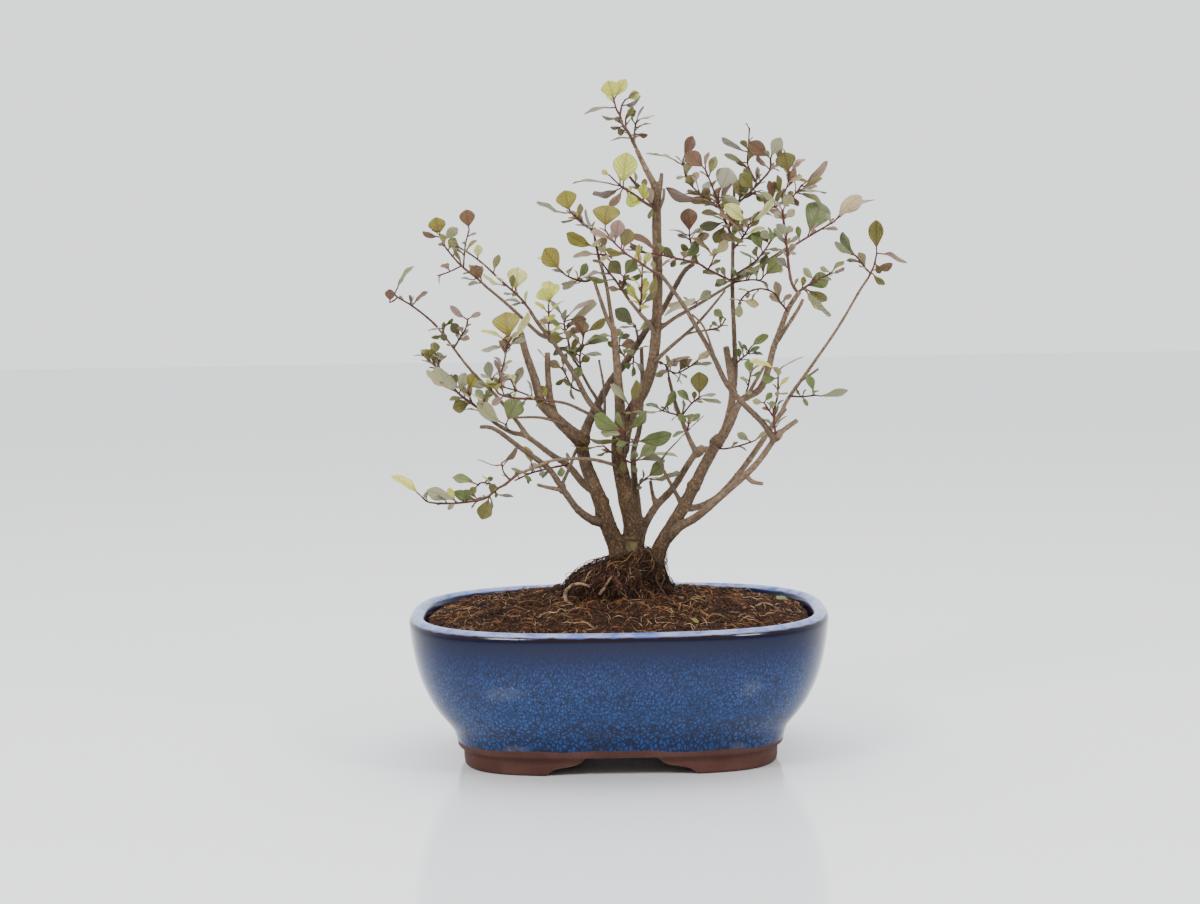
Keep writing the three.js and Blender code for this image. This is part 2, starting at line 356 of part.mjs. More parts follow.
const sprays = {
  spray_top: {
    twigs: [
      [[[11.4, 290.1, -3], [9.6, 294, -3], [7.8, 297.5, -4], [5.3, 301, -5], [4.3, 305, -5], [2.6, 308, -6],
        [1.5, 312.5, -7]], 1.9, 0.8],
      [[[4.3, 305, -5], [4.8, 308, -4], [5.3, 310, -3], [6.9, 312.4, -2]], 1, 0.8],
      [[[10.4, 292, -3], [10.9, 296, -1], [11.2, 299, 0], [11.9, 301.7, 1]], 1.1, 0.8],
      [[[7, 298.6, -4], [6.9, 303, -2], [7.5, 305.5, -1]], 1, 0.8],
    ],
    leaves: [
      [1.4, 312.5, -1.2, 321.3, 9, 'lime'], [1.6, 312.5, 7.4, 322, 5.5, 'lime'],
      [6.9, 312.3, 13.5, 315.6, 4.5, 'lime'], [5.2, 309.6, 14, 313.6, 2.2, 'brown'],
      [2, 308.5, -12.7, 306, 2.6, 'bronze'], [4.3, 303.5, -4.5, 305.2, 1.2, 'olive'],
      [6.6, 304.5, 11.8, 307.4, 2.6, 'dark'], [7, 303, 10.5, 309, 3.2, 'olive'],
      [11.8, 301.5, 20.5, 305, 1.4, 'tan'], [11.2, 299, 19, 301, 1.5, 'olive'],
      [11, 296.5, 17.4, 295.7, 1.8, 'brown'], [7.6, 298.5, 3, 296.6, 4, 'dark'],
      [9.4, 294.3, -0.4, 293.4, 1.9, 'dark'], [6, 300, -0.5, 299.4, 1.2, 'brown'],
      [11.2, 300.5, 9.4, 307, 1.4, 'dark'], [11.9, 301.5, 15.8, 309.2, 0.8, 'pink'],
    ],
  },
  spray_upper_middle: {
    twigs: [
      [[[18.9, 262, -2.5], [15.5, 264, -8], [11, 267.5, -12], [5.5, 271, -16]], 1.6, 1],
      [[[5.5, 271, -16], [2, 274, -18], [-1, 277, -20]], 0.9, 0.7],
    ],
    leaves: [
      [5.4, 271.3, 7.5, 287.8, 11.5, 'lime'], [4.6, 271.5, -18.7, 273.4, 3.2, 'olive'],
      [5, 270.8, -1.5, 262, 3.5, 'pink'], [4.6, 271, -9.3, 268, 3, 'brown'],
      [6.4, 270.2, 10.5, 262.3, 6, 'lime'], [14.5, 264.6, 16.8, 269.4, 3, 'lime'],
      [-1, 277, -4.8, 279.6, 2.6, 'lime'],
    ],
  },
  spray_dark_stub: {
    twigs: [[[[19.5, 262.5, 3], [13, 270.5, 7], [8, 276.8, 9]], 1.7, 1.3]],
    leaves: [[8.6, 276.3, 18.4, 268.5, 1.6, 'olive'], [12, 272, 24, 280, 0.9, 'tan']],
  },
  spray_upper_left: {
    twigs: [
      [[[-6.4, 236.8, -4], [-8, 244, -6], [-9.5, 251, -8], [-15, 255.5, -12], [-19.8, 260, -14]], 1.4, 0.8],
      [[[-7, 240, -5], [-3, 239.6, -7], [-0.5, 238, -9]], 0.9, 0.8],
    ],
    leaves: [
      [-19.8, 260, -22.5, 270.4, 10, 'gold'], [-19.5, 259.6, -36, 264.8, 1.4, 'grey'],
      [-17, 257.3, -24.6, 255.8, 1, 'olive'], [-17, 257.2, -16, 261, 2, 'lime'],
      [-10, 251.6, -19.5, 261, 2, 'tan'], [-9.6, 251.4, -12.2, 260.2, 1.4, 'grey'],
      [-7.9, 243.4, -22, 250.4, 6.5, 'gold'], [-6, 240, -19.2, 239, 4, 'bronze'],
      [-3, 239.6, -6.6, 244.6, 4, 'sage'],
    ],
  },
  spray_middle: {
    twigs: [
      [[[22.2, 230.4, -31], [18, 232, -31], [13, 235.6, -31], [8, 238.8, -30], [5, 241.2, -30],
        [0.5, 245.6, -29], [-3.6, 251.5, -28]], 1.4, 0.8],
    ],
    leaves: [
      [-3.6, 251.5, -2, 263, 13, 'gold'], [0.5, 245.4, -10.6, 250.5, 3.6, 'pink'],
      [0.9, 245.2, 3, 256.2, 7, 'pink'], [4.6, 241.6, 8, 251.8, 7.5, 'olive'],
      [6.5, 239.8, -3.6, 242.4, 3.5, 'olive'], [20.5, 231, 17.5, 221, 3.5, 'olive'],
      [-2, 248.6, -10.5, 243.6, 2.4, 'sage'],
    ],
  },
  spray_over_fork: {
    twigs: [
      [[[7.2, 218.2, -9.6], [4, 223, -11], [1, 227.5, -12], [-2.5, 232, -13], [-5.5, 236.3, -14]], 1.5, 0.9],
      [[[4, 223, -11], [4.7, 226, -14], [4.8, 229.3, -16]], 1, 0.8],
    ],
    leaves: [
      [4.8, 229.2, -1.5, 236.8, 6.5, 'dark'], [4.8, 229.3, 10.5, 237.2, 6.5, 'green'],
      [4.7, 227.5, 13.6, 230.4, 2.6, 'green'], [-1.5, 231, -19, 227, 3.6, 'brown'],
      [0.6, 228, -12.4, 229, 2.2, 'olive'], [3.8, 223, -2.4, 224.4, 2.4, 'bronze'],
    ],
  },
  spray_red_stalk: {
    twigs: [[[[12.5, 212, -7], [12.9, 218, -12], [13.4, 226, -16], [13.8, 234, -19]], 1, 0.8]],
    leaves: [
      [13.8, 234, 10.8, 240.2, 3.8, 'cream'], [13.8, 234, 17.6, 240.6, 3.8, 'cream'],
      [12.7, 216, 6.6, 226.6, 4, 'lime'], [12.9, 218, 16.6, 226.9, 4, 'lime'],
      [12.7, 215, 20.6, 225.5, 4, 'bronze'],
    ],
  },
  spray_behind_trunk: {
    twigs: [[[[11, 197.6, 12], [10.7, 202, 6], [10.1, 206, 0]], 1, 0.8]],
    leaves: [
      [10.1, 206, 0.4, 213.9, 7, 'dark'], [10.3, 205, 2.4, 205.2, 1, 'grey'],
      [10.6, 203, 17.5, 208.6, 3, 'sage'],
    ],
  },
  spray_fork_left: {
    twigs: [
      [[[-9.6, 228.6, -8], [-13, 227.3, -10], [-17, 228, -12], [-22, 230, -15], [-24.6, 232.4, -17]], 1.1, 0.8],
    ],
    leaves: [
      [-24.6, 232.4, -32.6, 243.2, 9.5, 'gold'], [-23.5, 231.2, -36, 239, 4, 'cream'],
      [-17, 228, -12.6, 236, 4, 'green'], [-15, 227.5, -25, 226.2, 1.1, 'grey'],
    ],
  },
  spray_lime_pair: {
    twigs: [[[[-31, 201.6, -20], [-31.2, 207, -23], [-31, 212, -25], [-31, 217, -27]], 1, 0.8]],
    leaves: [[-31, 217, -34.4, 224.4, 8, 'lime'], [-31, 217, -30.2, 227.7, 8, 'lime']],
  },
  spray_left_middle: {
    twigs: [
      [[[-17.8, 187.8, -4], [-20.4, 192, -4], [-22, 199, -3], [-23.5, 205, -2], [-23.9, 211.4, -1]], 1.3, 0.8],
    ],
    leaves: [
      [-23.9, 211.4, -30, 218.9, 3, 'grey'], [-23.6, 209, -9, 218.5, 1.4, 'pink'],
      [-23.6, 207, -36, 208.6, 3.6, 'brown'], [-23.5, 206, -13, 209.6, 4.4, 'bronze'],
      [-23.1, 203.4, -34.6, 202, 4.4, 'sage'], [-22.3, 200.4, -32, 199.6, 5, 'olive'],
      [-21.6, 197, -29.4, 192.6, 3.4, 'dark'], [-23.7, 208.4, -8, 216.6, 4.6, 'tan'],
      [-20.6, 193, -14, 197.4, 2.6, 'green'],
    ],
  },
  spray_thin_stalk: {
    twigs: [[[[-16, 184.4, -4.4], [-16.6, 191, -8], [-15.4, 197, -11], [-14.3, 203, -13]], 1, 0.8]],
    leaves: [
      [-14.3, 203, -21, 205, 3, 'bronze'], [-14.3, 203, -4.2, 209.7, 3.6, 'olive'],
      [-14.4, 202.4, -18.4, 208.8, 3, 'brown'], [-15.6, 196.4, -2.6, 199.6, 3.2, 'green'],
      [-16.6, 193.4, -6, 192.4, 1.2, 'grey'], [-17.4, 188.6, -11.6, 191.2, 3.2, 'olive'],
      [-17, 191.8, -23.4, 196, 1.3, 'green'],
    ],
  },
  spray_inner_left: {
    twigs: [[[[-15.2, 174.4, -12.5], [-20.4, 177, -9], [-22.9, 182, -8], [-24.9, 186, -8]], 1.1, 0.8]],
    leaves: [
      [-24.9, 186, -31, 189.8, 4, 'bronze'], [-24.9, 186, -36, 195.4, 3, 'green'],
      [-23, 182.2, -28.4, 178.4, 2, 'olive'], [-21, 178, -19.4, 171, 1.6, 'olive'],
    ],
  },
  spray_left_shoot: {
    twigs: [
      [[[-40.9, 215.4, -24.2], [-45, 220.6, -26], [-53.9, 228.8, -29], [-60.8, 235.6, -31], [-67, 240.6, -33],
        [-74, 245, -34.5]], 1.3, 0.8],
    ],
    leaves: [
      [-47, 222.4, -45.4, 234.6, 9.4, 'cream'], [-50.5, 225.6, -62, 231.6, 2, 'cream'],
      [-42.5, 217.4, -49, 216.4, 1.6, 'grey'], [-47, 222.4, -52.4, 222, 1.1, 'grey'],
      [-72, 243.8, -78, 247, 2.2, 'olive'], [-70, 242.4, -64.4, 247.6, 1.7, 'olive'],
    ],
  },
  spray_left_tip: {
    twigs: [
      [[[-59.9, 225, -8.8], [-65.8, 230.6, -6], [-71.4, 235, -4], [-76.4, 240.6, -2], [-80, 245.6, 0],
        [-81.5, 250, 1]], 1.3, 0.8],
      [[[-71, 234.7, -4], [-70.6, 240, -8], [-69.8, 246, -11], [-68, 252.4, -13]], 0.9, 0.7],
      [[[-72, 235.6, -4], [-78, 232.8, 0], [-83.4, 231.1, 2]], 0.8, 0.7],
    ],
    leaves: [
      [-68, 252.4, -69, 262.2, 7.6, 'brown'], [-81.5, 250, -83.6, 258.8, 8.6, 'gold'],
      [-81.3, 249.2, -90.2, 252, 2.2, 'brown'], [-80.4, 247, -73.4, 253.6, 5, 'sage'],
      [-78, 243, -74.6, 249, 4.6, 'green'], [-64, 229, -65.4, 236, 7, 'brown'],
      [-64.6, 229.6, -72.6, 229.8, 1, 'grey'], [-70.6, 241, -75.6, 246, 1.6, 'olive'],
    ],
  },
  spray_far_left: {
    twigs: [
      [[[-84.7, 207.4, 17.9], [-88.3, 211, 17], [-95.8, 217, 15], [-102.6, 221.2, 13], [-103.9, 223, 13]], 1.2, 0.8],
      [[[-102.6, 221.2, 13], [-104.6, 219.6, 12], [-106.4, 218.8, 11]], 0.8, 0.7],
    ],
    leaves: [
      [-103.8, 223, -94.4, 236, 3.6, 'green'], [-106.4, 218.8, -106.2, 225.2, 5, 'brown'],
      [-95.8, 217.2, -88, 223.6, 2.8, 'brown'], [-96.6, 217.8, -97, 222.4, 1.2, 'pink'],
      [-98.4, 219, -102, 222, 1.4, 'grey'],
    ],
  },
  spray_pink_left: {
    twigs: [[[[-76.2, 196.8, 16.4], [-73.5, 201.5, 11], [-70.6, 206, 7], [-69.5, 210.4, 5]], 0.9, 0.8]],
    leaves: [
      [-69.5, 210, -77.8, 216.9, 3.6, 'pink'], [-69.5, 210.4, -63.2, 213.2, 3, 'pink'],
      [-73, 202.4, -77.4, 208.4, 5, 'dark'],
    ],
  },
  spray_dark_left: {
    twigs: [[[[-80.4, 202.4, 16.6], [-81.6, 205.4, 12], [-80.4, 208, 9]], 0.9, 0.8]],
    leaves: [
      [-80.9, 203.6, -87.2, 201.8, 2.4, 'green'], [-81.4, 205.4, -80.6, 200, 3.6, 'dark'],
      [-81.6, 206, -88.6, 205, 1.1, 'grey'], [-80.6, 207.6, -76.4, 210.6, 1.8, 'green'],
    ],
  },
  spray_cut_left: {
    twigs: [
      [[[-62.4, 165.3, 21.1], [-68.3, 170, 23], [-74.5, 174.8, 25], [-80, 181, 26],
        [-85, 187.5, 27], [-92, 194.5, 29]], 1.5, 0.9],
      [[[-85, 187.5, 27], [-88.4, 195.2, 25]], 1.1, 0.9],
      [[[-82, 183.5, 26.4], [-83.5, 187, 24], [-83.8, 191, 22]], 0.9, 0.7],
      [[[-67.6, 169.6, 23], [-69.5, 172.6, 20], [-70.3, 175.3, 18]], 0.9, 0.8],
    ],
    leaves: [
      [-75, 175.6, -89.8, 186.4, 6, 'tan'], [-75.4, 176, -82.4, 187, 5.5, 'sage'],
      [-74.4, 174.8, -71.4, 185, 6, 'sage'], [-70.3, 175.3, -66.6, 184.8, 6.6, 'gold'],
      [-68.5, 170.2, -77.7, 168, 7, 'olive'], [-83.8, 191, -88, 196.4, 3.4, 'olive'],
      [-83.8, 190.6, -79.8, 193.2, 1, 'grey'],
    ],
  },
  spray_green_pair: {
    twigs: [[[[-51.6, 157.6, 14.6], [-52.3, 158.8, 10], [-52.3, 160, 7]], 1.1, 0.9]],
    leaves: [[-52.3, 159.6, -66, 170.6, 7, 'sage'], [-52.3, 160, -46, 172, 10.6, 'green']],
  },
  spray_long_stalk: {
    twigs: [
      [[[-30, 170.6, -16], [-38, 171.6, -18], [-48.9, 172.5, -22], [-56, 175, -25], [-55.4, 180, -27],
        [-52.6, 190, -30], [-50.5, 199.5, -33]], 1.3, 0.8],
      [[[-37, 171.4, -17.6], [-42, 173.8, -20], [-47.6, 176, -22], [-54.4, 178, -20]], 0.9, 0.8],
      [[[-47.6, 176, -22], [-49.6, 181.3, -24]], 0.8, 0.7],
    ],
    leaves: [
      [-50.5, 199.4, -51.6, 213.4, 13, 'gold'], [-50.7, 199, -41, 213.2, 4, 'cream'],
      [-51, 196.4, -63.6, 195.2, 3.4, 'grey'], [-50.9, 197, -42, 200, 2, 'grey'],
      [-50.6, 199, -63.6, 204.8, 2, 'lime'], [-54.4, 178, -57.4, 179.6, 2.4, 'green'],
      [-49.6, 181.3, -54.2, 181.6, 2.2, 'olive'], [-49.6, 181.3, -46, 183.6, 2, 'brown'],
      [-51, 196, -44.8, 204.8, 1.6, 'pink'],
    ],
  },
  spray_grey_left: {
    twigs: [[[[-58.9, 176.6, 12.6], [-58.8, 179, 9], [-58.4, 182, 6]], 0.9, 0.8]],
    leaves: [
      [-58.4, 182, -50.8, 187.8, 2.2, 'grey'], [-58.6, 181, -64.2, 184.2, 1.4, 'grey'],
      [-58.8, 179.6, -68, 178.4, 3, 'sage'],
    ],
  },
  spray_inner_green: {
    twigs: [[[[-59.8, 162.9, 18.6], [-62, 168, 15], [-62.6, 172, 12]], 1, 0.8]],
    leaves: [
      [-62.6, 172, -59.2, 176, 4.4, 'green'], [-62.6, 171, -66.4, 176.8, 4, 'sage'],
      [-62.6, 168.6, -68.2, 174.6, 2.2, 'cream'],
    ],
  },
  spray_low_left: {
    twigs: [
      [[[-47.6, 135.6, -30.2], [-53.3, 131, -32], [-57, 129, -33], [-62, 125, -35], [-67, 123.4, -37],
        [-78.3, 122.2, -40], [-89.5, 122.8, -43], [-93, 125.2, -44]], 1.4, 0.8],
      [[[-57, 129, -33], [-60, 131, -31], [-64.6, 132, -29], [-66.6, 130.6, -28]], 0.9, 0.8],
      [[[-51, 132.8, -31.2], [-54, 137, -33], [-54.8, 141.4, -35]], 0.9, 0.7],
    ],
    leaves: [
      [-93, 125.2, -107.8, 136.2, 5.2, 'lime'], [-76, 122.4, -91.2, 128.6, 5, 'sage'],
      [-66, 123.6, -78, 128, 4.6, 'green'], [-66.4, 131, -78.6, 134.8, 4.6, 'green'],
      [-66.4, 130.6, -70, 126.8, 3.6, 'olive'], [-63.6, 131.8, -59, 134.4, 2.4, 'green'],
      [-60.8, 126, -58.6, 131.4, 4.4, 'dark'], [-59, 127.4, -49.4, 124.8, 1.6, 'grey'],
      [-61, 125.8, -65, 114.2, 7.4, 'olive'], [-61, 125.8, -60.4, 115.8, 2.4, 'sage'],
      [-54.8, 141.4, -47.2, 148.5, 3, 'bronze'], [-54.6, 140.4, -66.8, 143.2, 1.4, 'grey'],
    ],
  },
  spray_low_left_inner: {
    twigs: [
      [[[-23.8, 139.9, 1.2], [-32, 138.4, -4], [-40.8, 136.2, -9], [-48.6, 132.8, -14]], 1.1, 0.8],
      [[[-40.4, 136.3, -9], [-40.2, 139, -12]], 0.9, 0.8],
    ],
    leaves: [
      [-40.2, 139, -43.9, 149.2, 4, 'gold'], [-40.2, 138.4, -31.4, 142, 2.6, 'sage'],
      [-41, 136.2, -50.6, 138.6, 1.5, 'grey'], [-43.6, 135, -42, 131, 1.4, 'green'],
    ],
  },
  spray_centre_low: {
    twigs: [[[[9.6, 128.6, 8], [12, 131, 3], [14, 132.8, -2]], 1.1, 0.9]],
    leaves: [
      [14, 132.8, 22.6, 140, 7, 'green'], [14, 132.8, 30.6, 134.8, 4, 'sage'],
      [12.4, 131.4, 12.6, 137.2, 1.4, 'green'],
    ],
  },
  spray_centre_front: {
    twigs: [
      [[[3.4, 146, -6.6], [4.2, 150, -14], [4.6, 155.4, -20]], 1.3, 1],
      [[[4.2, 150, -14], [6, 150.2, -18], [8, 150.4, -22]], 1, 0.8],
    ],
    leaves: [
      [4.6, 155.2, -10.2, 163.6, 7, 'green'], [4.6, 155.4, 14.8, 165.4, 5, 'green'],
      [4.4, 153.4, -7.2, 155.6, 4, 'sage'], [4.3, 152.4, -12.5, 152.2, 2.8, 'olive'],
      [4.6, 155, 1, 164.8, 3, 'green'], [8, 150.4, 26.8, 154.2, 7.5, 'green'],
      [7, 150.3, 0, 148.8, 2.6, 'green'],
    ],
  },
  spray_front_twig: {
    twigs: [[[[1.4, 143.2, -6.8], [-2.4, 145.6, -12], [-6, 148.8, -15]], 1.1, 0.8]],
    leaves: [[-6, 148.8, -21.6, 149.6, 1.9, 'olive'], [-3.6, 146.6, -9.6, 144.2, 1.4, 'olive']],
  },
  spray_front_right: {
    twigs: [[[[4.6, 141.4, -6.4], [7, 140.6, -12], [9.6, 141.4, -17]], 1.1, 0.9]],
    leaves: [
      [9.6, 141.4, 23.4, 141.4, 5, 'dark'], [9.6, 141.4, 19.6, 150, 6, 'green'],
      [8.6, 141, 27.4, 144.8, 1.8, 'sage'],
    ],
  },
  spray_leader_low: {
    twigs: [[[[6.4, 161, -4.6], [6.8, 164, -9], [7, 166.8, -12]], 1, 0.8]],
    leaves: [
      [7, 166.6, -2.4, 178.3, 3.6, 'sage'], [7, 166.8, 10.2, 180.2, 4, 'olive'],
      [6.9, 165.4, 13.4, 164.6, 1.8, 'sage'],
    ],
  },
  spray_right_low: {
    twigs: [[[[30.4, 162.8, 16], [26, 164, 13], [22.4, 165.2, 11]], 1, 0.8]],
    leaves: [
      [22.4, 165.2, 13.4, 165.2, 1.7, 'cream'], [22.4, 165.4, 14.6, 168.6, 2.4, 'green'],
      [22.6, 165.2, 28.4, 174.8, 4, 'green'], [25.4, 164.2, 24.4, 167.6, 1.2, 'green'],
    ],
  },
  spray_on_cut_twig: {
    twigs: [[[[34.2, 155.6, -20], [34.8, 158, -22], [34.9, 159.4, -23]], 0.9, 0.8]],
    leaves: [
      [34.8, 158.6, 29.8, 163.2, 3.6, 'green'], [34.8, 159, 40.4, 163.4, 2.8, 'green'],
      [34.8, 158.4, 36.8, 162, 2, 'sage'],
    ],
  },
  spray_olive_single: {
    twigs: [[[[31.6, 162.6, 16], [36, 168, 12], [40, 171.2, 8]], 1, 0.8]],
    leaves: [
      [40, 171.2, 40, 183.5, 9, 'olive'], [36.4, 168.4, 29.4, 174.4, 3.8, 'green'],
      [39.6, 171, 48.2, 172.8, 1.2, 'grey'], [38.6, 170.2, 50.6, 168.6, 1.8, 'sage'],
    ],
  },
  spray_right_middle: {
    twigs: [
      [[[25.6, 182.4, 18], [25.2, 184.6, 15], [24.2, 187, 13]], 1.1, 0.9],
      [[[25.2, 184.6, 15], [29.4, 183, 12], [34, 185, 10], [38, 187.4, 9]], 0.9, 0.7],
    ],
    leaves: [
      [24.2, 187, 36.2, 190.4, 2.8, 'brown'], [24.8, 185.4, 19.4, 181.4, 3, 'sage'],
      [24.6, 186, 31.4, 190, 3, 'bronze'], [38, 187.4, 45.4, 193.2, 3.4, 'tan'],
      [35.6, 186, 31, 189.4, 2.4, 'sage'], [38, 187.4, 46.4, 187.6, 1.9, 'sage'],
      [31, 183.4, 29.8, 178.4, 1.4, 'tan'], [24.2, 187, 20.8, 188.8, 1.6, 'brown'],
    ],
  },
  spray_small_right: {
    twigs: [[[[44, 203.2, -9], [50, 204.6, -11], [53, 208.4, -12]], 0.9, 0.8]],
    leaves: [[53, 208.4, 47.6, 212.8, 4, 'green'], [50, 204.8, 46.4, 207.2, 2, 'green']],
  },
  spray_mint: {
    twigs: [[[[39.8, 214.8, 7.6], [39.4, 216.8, 3]], 1, 0.8]],
    leaves: [
      [39.4, 216.8, 46.2, 221.8, 4.8, 'sage'], [39.4, 216.6, 25.4, 215.2, 3.6, 'tan'],
      [39.5, 216.4, 28.4, 213, 1.8, 'grey'], [39.4, 216.8, 33, 219, 1.6, 'tan'],
    ],
  },
  spray_red_twig: {
    twigs: [
      [[[56.2, 226.4, 5], [45, 232, -4], [40, 235, -7], [30, 237.5, -11], [21, 239.6, -14], [12, 241, -16],
        [8, 243.5, -17]], 1.3, 0.8],
      [[[45, 232, -4], [46.6, 235, -7], [47.8, 238, -9]], 0.9, 0.7],
    ],
    leaves: [
      [21, 239.7, 8.5, 249.4, 4, 'brown'], [16, 240.4, 8, 245.4, 2.4, 'bronze'],
      [30, 237.6, 23, 242.6, 4, 'dark'], [32.6, 237, 40.6, 245.2, 4.6, 'green'],
      [30, 237.4, 27.4, 233.4, 3, 'dark'], [47.8, 238, 36.4, 247.2, 4, 'bronze'],
      [47.8, 238, 54.2, 245.6, 5, 'tan'], [41, 234.6, 38.4, 240, 2.2, 'olive'],
      [38, 235.6, 31.4, 234.4, 2.2, 'green'],
    ],
  },
  spray_upright_brown: {
    twigs: [[[[38.6, 235.4, 18.2], [37.5, 241, 16], [36.3, 248.4, 13]], 1.3, 0.9]],
    leaves: [
      [36.3, 248.4, 36, 261.2, 8.6, 'brown'], [36.4, 248, 26.4, 250.8, 1.9, 'pink'],
      [36.4, 248, 43.6, 252, 2.4, 'sage'], [36.8, 246, 30.6, 249, 3, 'grey'],
      [37, 244.4, 46, 248.6, 4, 'bronze'], [37.6, 240.6, 32, 244, 3, 'olive'],
    ],
  },
  spray_crown_left: {
    twigs: [
      [[[56.6, 246, 6.8], [54.5, 252, 2], [52, 258, -2], [50.3, 263, -5], [50.5, 268.4, -7]], 1.5, 0.9],
      [[[50.3, 263, -5], [47, 272, -9], [44.2, 279, -11]], 1, 0.8],
      [[[51, 260.8, -4], [44, 266, 1], [38.5, 270.6, 5], [35, 276, 7], [33.6, 283.6, 8]], 1.1, 0.8],
    ],
    leaves: [
      [50.5, 268.4, 55.4, 279.8, 11, 'grey'], [44.2, 279, 35, 287, 8, 'brown'],
      [44.2, 279, 46, 287.4, 2, 'pink'], [50.3, 263.6, 25.2, 271, 3.2, 'brown'],
      [51.2, 260.2, 36, 265.2, 4.6, 'olive'], [52.2, 257.6, 42, 258.6, 4, 'bronze'],
      [53.5, 254.6, 41, 252.6, 4, 'dark'], [53.8, 253.6, 48.4, 244.4, 6, 'olive'],
      [33.6, 283.6, 38.4, 295, 5.6, 'brown'], [33.8, 281, 16, 287.2, 2.6, 'gold'],
      [38.2, 270.8, 36.4, 276.8, 5.4, 'olive'], [35.2, 275.6, 30.2, 275.4, 1.8, 'sage'],
      [50.4, 266, 60.6, 262.4, 5, 'sage'], [52, 258, 60.4, 255.4, 5, 'brown'],
    ],
  },
  spray_cream_pair: {
    twigs: [[[[57.2, 242, 6.6], [60.5, 245.6, 2], [63.5, 250, -4], [64.5, 252.8, -6]], 1.2, 0.8]],
    leaves: [
      [64.4, 252.6, 53, 262.4, 6.6, 'cream'], [64.5, 252.8, 76.6, 265.6, 4.6, 'cream'],
      [61.4, 246.8, 50.6, 257, 5, 'brown'], [63, 249.2, 57, 253.4, 5, 'olive'],
      [60.8, 246, 71.8, 248.6, 5, 'green'], [60.4, 245.4, 51.6, 248.4, 4.4, 'bronze'],
      [63.6, 250.4, 69.6, 257.6, 4, 'olive'],
    ],
  },
  spray_crown_top: {
    twigs: [
      [[[58.5, 262.5, 9.6], [64, 267, 12], [70, 273, 14], [74.6, 278.4, 15], [75, 283.8, 15]], 1.3, 0.9],
      [[[74.6, 278.4, 15], [79.5, 282, 18]], 1, 0.8],
      [[[68.6, 271.7, 13.6], [66, 277, 16], [64.2, 281.4, 17], [64.5, 288, 17], [65.2, 298.3, 17]], 1, 0.7],
      [[[62, 265.3, 11.2], [65, 266.4, 7], [67.8, 268.4, 4]], 1, 0.8],
    ],
    leaves: [
      [75, 283.8, 64.4, 291.6, 7.6, 'brown'], [75, 283.8, 79.8, 293.6, 6, 'grey'],
      [74.7, 279.4, 79.4, 277.8, 1.2, 'olive'], [74.6, 278.8, 68.4, 285.4, 1.9, 'pink'],
      [67.8, 268.4, 60.4, 277, 7, 'olive'], [67.8, 268.4, 76, 264.8, 3.4, 'sage'],
      [67.4, 268.2, 71.6, 263.6, 4, 'olive'], [64.4, 287, 52, 294, 1.7, 'grey'],
      [64.3, 282, 53, 286.2, 2.4, 'sage'], [64.5, 288.4, 61.6, 291.8, 1.6, 'pink'],
      [65, 279.2, 59, 281.8, 1.8, 'dark'], [60.6, 264.4, 51.4, 264.6, 5, 'sage'],
      [60, 263.8, 57, 276.4, 5, 'tan'], [66, 266.9, 62.4, 279.6, 3.6, 'dark'],
    ],
  },
  spray_crown_right: {
    twigs: [
      [[[58.2, 251, 8.8], [64, 255, 13], [70.5, 259, 16], [78, 264.5, 17], [81, 268, 17], [82.8, 270.5, 17],
        [83.7, 276, 16]], 1.4, 0.8],
      [[[82.8, 270.5, 17], [88.6, 276, 19]], 1.1, 0.9],
      [[[70.5, 259, 16], [79, 262, 20], [86, 266.5, 23], [89.5, 271, 24]], 1, 0.8],
    ],
    leaves: [
      [83.7, 276, 81, 286.6, 10, 'olive'], [83.6, 275.6, 80.4, 288.8, 4.4, 'brown'],
      [83.7, 276, 91.4, 283.4, 2.2, 'pink'], [83, 271.6, 90, 275.6, 3, 'tan'],
      [80.5, 267.4, 76.4, 273.2, 1.2, 'olive'], [80.8, 267.8, 73.4, 268.6, 2.8, 'sage'],
      [89.5, 271, 102, 282.2, 3.6, 'pink'], [89.2, 270.6, 99, 274.6, 1.4, 'tan'],
      [87.6, 268.6, 97, 270.6, 3.6, 'pink'], [87.2, 268, 101.6, 267.4, 1.8, 'grey'],
      [86.8, 267.6, 99, 262.6, 4.2, 'olive'], [85.4, 266.2, 88, 261.2, 2.6, 'brown'],
    ],
  },
  spray_right_rod: {
    twigs: [
      [[[87.4, 220.4, -18.4], [84.6, 225, -17], [83.3, 232, -15], [82.5, 240, -14], [82, 246, -13],
        [81, 254, -12], [80.5, 259.4, -12]], 1.5, 1.1],
    ],
    leaves: [
      [81.6, 249, 85.4, 251.2, 3.6, 'tan'], [81, 254.6, 76.8, 258.8, 4, 'tan'],
      [80.9, 255, 86.2, 259.8, 4, 'tan'], [82.2, 243.6, 88, 247, 2, 'grey'],
      [82.1, 245, 76.2, 250.8, 3.4, 'sage'], [82.6, 239.6, 87, 238.8, 1.8, 'grey'],
    ],
  },
  spray_right_shoulder: {
    twigs: [[[[82, 240.4, 17], [92, 246.4, 19], [105, 253.8, 21]], 1.2, 0.9]],
    leaves: [
      [92, 246.6, 99, 262.6, 13, 'green'], [105, 253.8, 117.8, 265.6, 8, 'tan'],
      [105, 253.8, 124.2, 263.6, 2.8, 'pink'], [103.6, 253, 101.4, 257.6, 2.6, 'grey'],
    ],
  },
  spray_fan_green: {
    twigs: [[[[57.2, 229, 5.2], [66, 234.4, -1], [71, 239.5, -4], [75.3, 245.6, -6]], 1.1, 0.8]],
    leaves: [
      [71, 239.5, 66.4, 250, 5.6, 'green'], [75.2, 245.2, 70.2, 249.8, 4.4, 'sage'],
      [75.2, 245.6, 80.2, 251.4, 4.6, 'sage'], [74, 243.6, 71.6, 247.4, 3.4, 'dark'],
      [67.6, 236, 60, 240.6, 2.2, 'grey'],
    ],
  },
